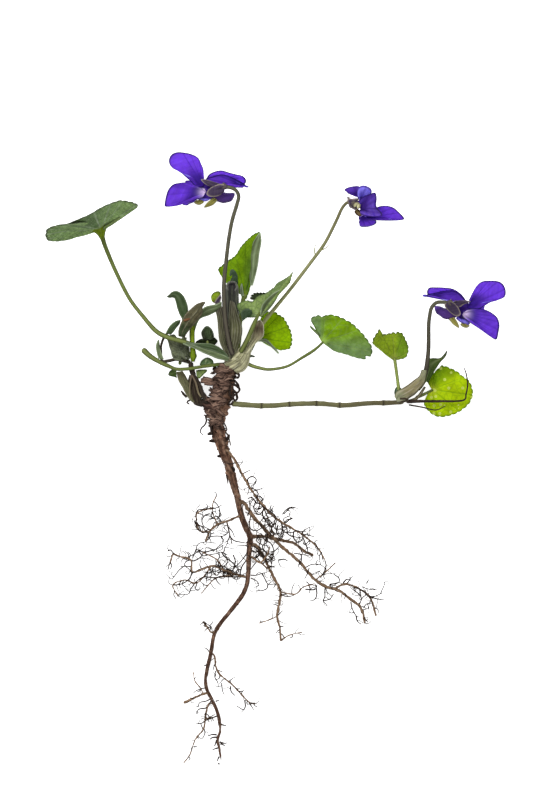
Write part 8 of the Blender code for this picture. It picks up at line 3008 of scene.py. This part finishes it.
@dataclass
class Runner:
    """The runner with its joints, and the roots of the plantlet at its end."""

    way: Sequence[Point] = (
        (2.3, -0.9, 2.7), (10.6, -1.45, 1.9), (17.8, -1.0, 1.5), (24.5, -0.9, 1.3),
        (30.2, -1.3, 1.2), (36.5, -0.8, 1.2), (41.2, -0.7, 1.2), (45.5, -0.5, 1.2),
    )  # fmt: skip
    joints: Sequence[float] = (7.6, 14.6, 21.4, 27.2, 38.2)
    long_root: Sequence[Point] = (
        (46.0, -0.4, 2.0), (50.0, -0.3, 2.7), (54.5, -0.3, 2.9), (60.2, -0.1, 2.8),
        (61.0, 1.6, 2.8), (61.4, 3.9, 2.8), (61.1, 6.2, 2.8), (60.5, 8.1, 2.8),
    )  # fmt: skip
    short_root: Sequence[Point] = (
        (46.6, -1.2, 2.3), (50.0, -1.8, 2.6), (53.4, -2.5, 2.6), (55.8, -1.5, 2.6)
    )
    radii: Sequence[float] = (0.7, 0.64, 0.64, 0.6)
    long_radii: Sequence[float] = (0.5, 0.36, 0.3, 0.22, 0.2, 0.14)
    short_radii: Sequence[float] = (0.22, 0.18, 0.1)

    def build(self) -> None:
        """Models the pieces and seats them."""
        stem = Stem(
            self.way, self.radii, columns=18, spacing=0.2, rough=0.1, lump=0.5,
            joints=self.joints,
        )  # fmt: skip
        runner = joined("violet_runner", [stem.model("runner", [RUNNER_OLIVE])])
        seat(runner, Slot.RUNNER, "runner")
        roots = {
            "runner_root_long": (self.long_root, self.long_radii),
            "runner_root_short": (self.short_root, self.short_radii),
        }
        for name, (way, radii) in roots.items():
            root = Stem(way, radii, columns=10, spacing=0.3, rough=0.15, lump=1.2)
            piece = joined("violet_" + name, [root.model("root", [ROOTLET_DARK])])
            seat(piece, Slot.ROOT, name)


@dataclass(frozen=True)
class Studio:
    """The pale floor, the soft light and the camera that looks straight down."""

    centre: Point = (0.01125, 0.0, 0.0)
    height: float = 5.0
    lens: float = 900.0
    floor_size: float = 6.0
    floor_glow: float = 0.75
    floor_depth: float = 0.0002
    floor_paint: float = 0.9
    floor_roughness: float = 0.9
    floor_specular: float = 0.1
    sky: float = 0.62
    sensor: float = 36.0
    far_clip: float = 20.0
    lights: Sequence[tuple[Point, float, float]] = (
        ((-0.4, 0.45, 0.7), 0.4, 6.4),
        ((0.5, 0.1, 0.6), 0.6, 1.3),
    )

    def floor(self) -> None:
        """Adds the floor, a light table of matt white."""
        deselect_all()
        level = (0, 0, -self.floor_depth)
        bpy.ops.mesh.primitive_plane_add(size=self.floor_size, location=level)
        ground = bpy.context.object
        ground.name = "floor"
        paint = bpy.data.materials.new("floor_white")
        paint.use_nodes = True
        shader = paint.node_tree.nodes["Principled BSDF"]
        shader.inputs["Base Color"].default_value = (*[self.floor_paint] * 3, 1.0)
        shader.inputs["Roughness"].default_value = self.floor_roughness
        shader.inputs["Specular IOR Level"].default_value = self.floor_specular
        shader.inputs["Emission Color"].default_value = (1.0, 1.0, 1.0, 1.0)
        shader.inputs["Emission Strength"].default_value = self.floor_glow
        ground.data.materials.append(paint)

    def light(self) -> None:
        """Adds the pale sky and the two large lamps."""
        world = bpy.data.worlds.new("studio")
        world.use_nodes = True
        sky = world.node_tree.nodes["Background"]
        sky.inputs["Color"].default_value = (1, 1, 1, 1)
        sky.inputs["Strength"].default_value = self.sky
        bpy.context.scene.world = world
        for place, size, power in self.lights:
            bpy.ops.object.light_add(type="AREA", location=place)
            lamp = bpy.context.object
            lamp.data.size = size
            lamp.data.energy = power
            lamp.rotation_euler = (-Vector(place)).to_track_quat("-Z", "Y").to_euler()

    def camera(self) -> None:
        """Adds the camera over the plant, as the photograph was taken."""
        across, up, _ = self.centre
        bpy.ops.object.camera_add(location=(across, up, self.height), rotation=(0, 0, 0))
        camera = bpy.context.object
        camera.data.lens = self.lens
        camera.data.sensor_width = self.sensor
        camera.data.clip_end = self.far_clip
        bpy.context.scene.camera = camera
        bpy.context.scene.view_settings.view_transform = "Standard"

    def build(self) -> None:
        """Sets up the studio."""
        self.floor()
        self.light()
        self.camera()


def main() -> None:
    """Builds the studio and every piece of the plant, in order."""
    logging.basicConfig(level=logging.INFO, format="%(name)s: %(message)s")
    steps: list[Callable[[], None]] = [Studio().build, Rhizome().build]
    steps += [spray.build for spray in SPRAYS]
    steps += [leaf.build for leaf in LEAVES]
    steps += [crown.build for crown in CROWNS]
    steps += [Runner().build]
    steps += [bloom.build for bloom in (LEFT_BLOOM, MIDDLE_BLOOM, RUNNER_BLOOM)]
    for step in steps:
        step()
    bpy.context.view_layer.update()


if __name__ == "__main__":
    main()
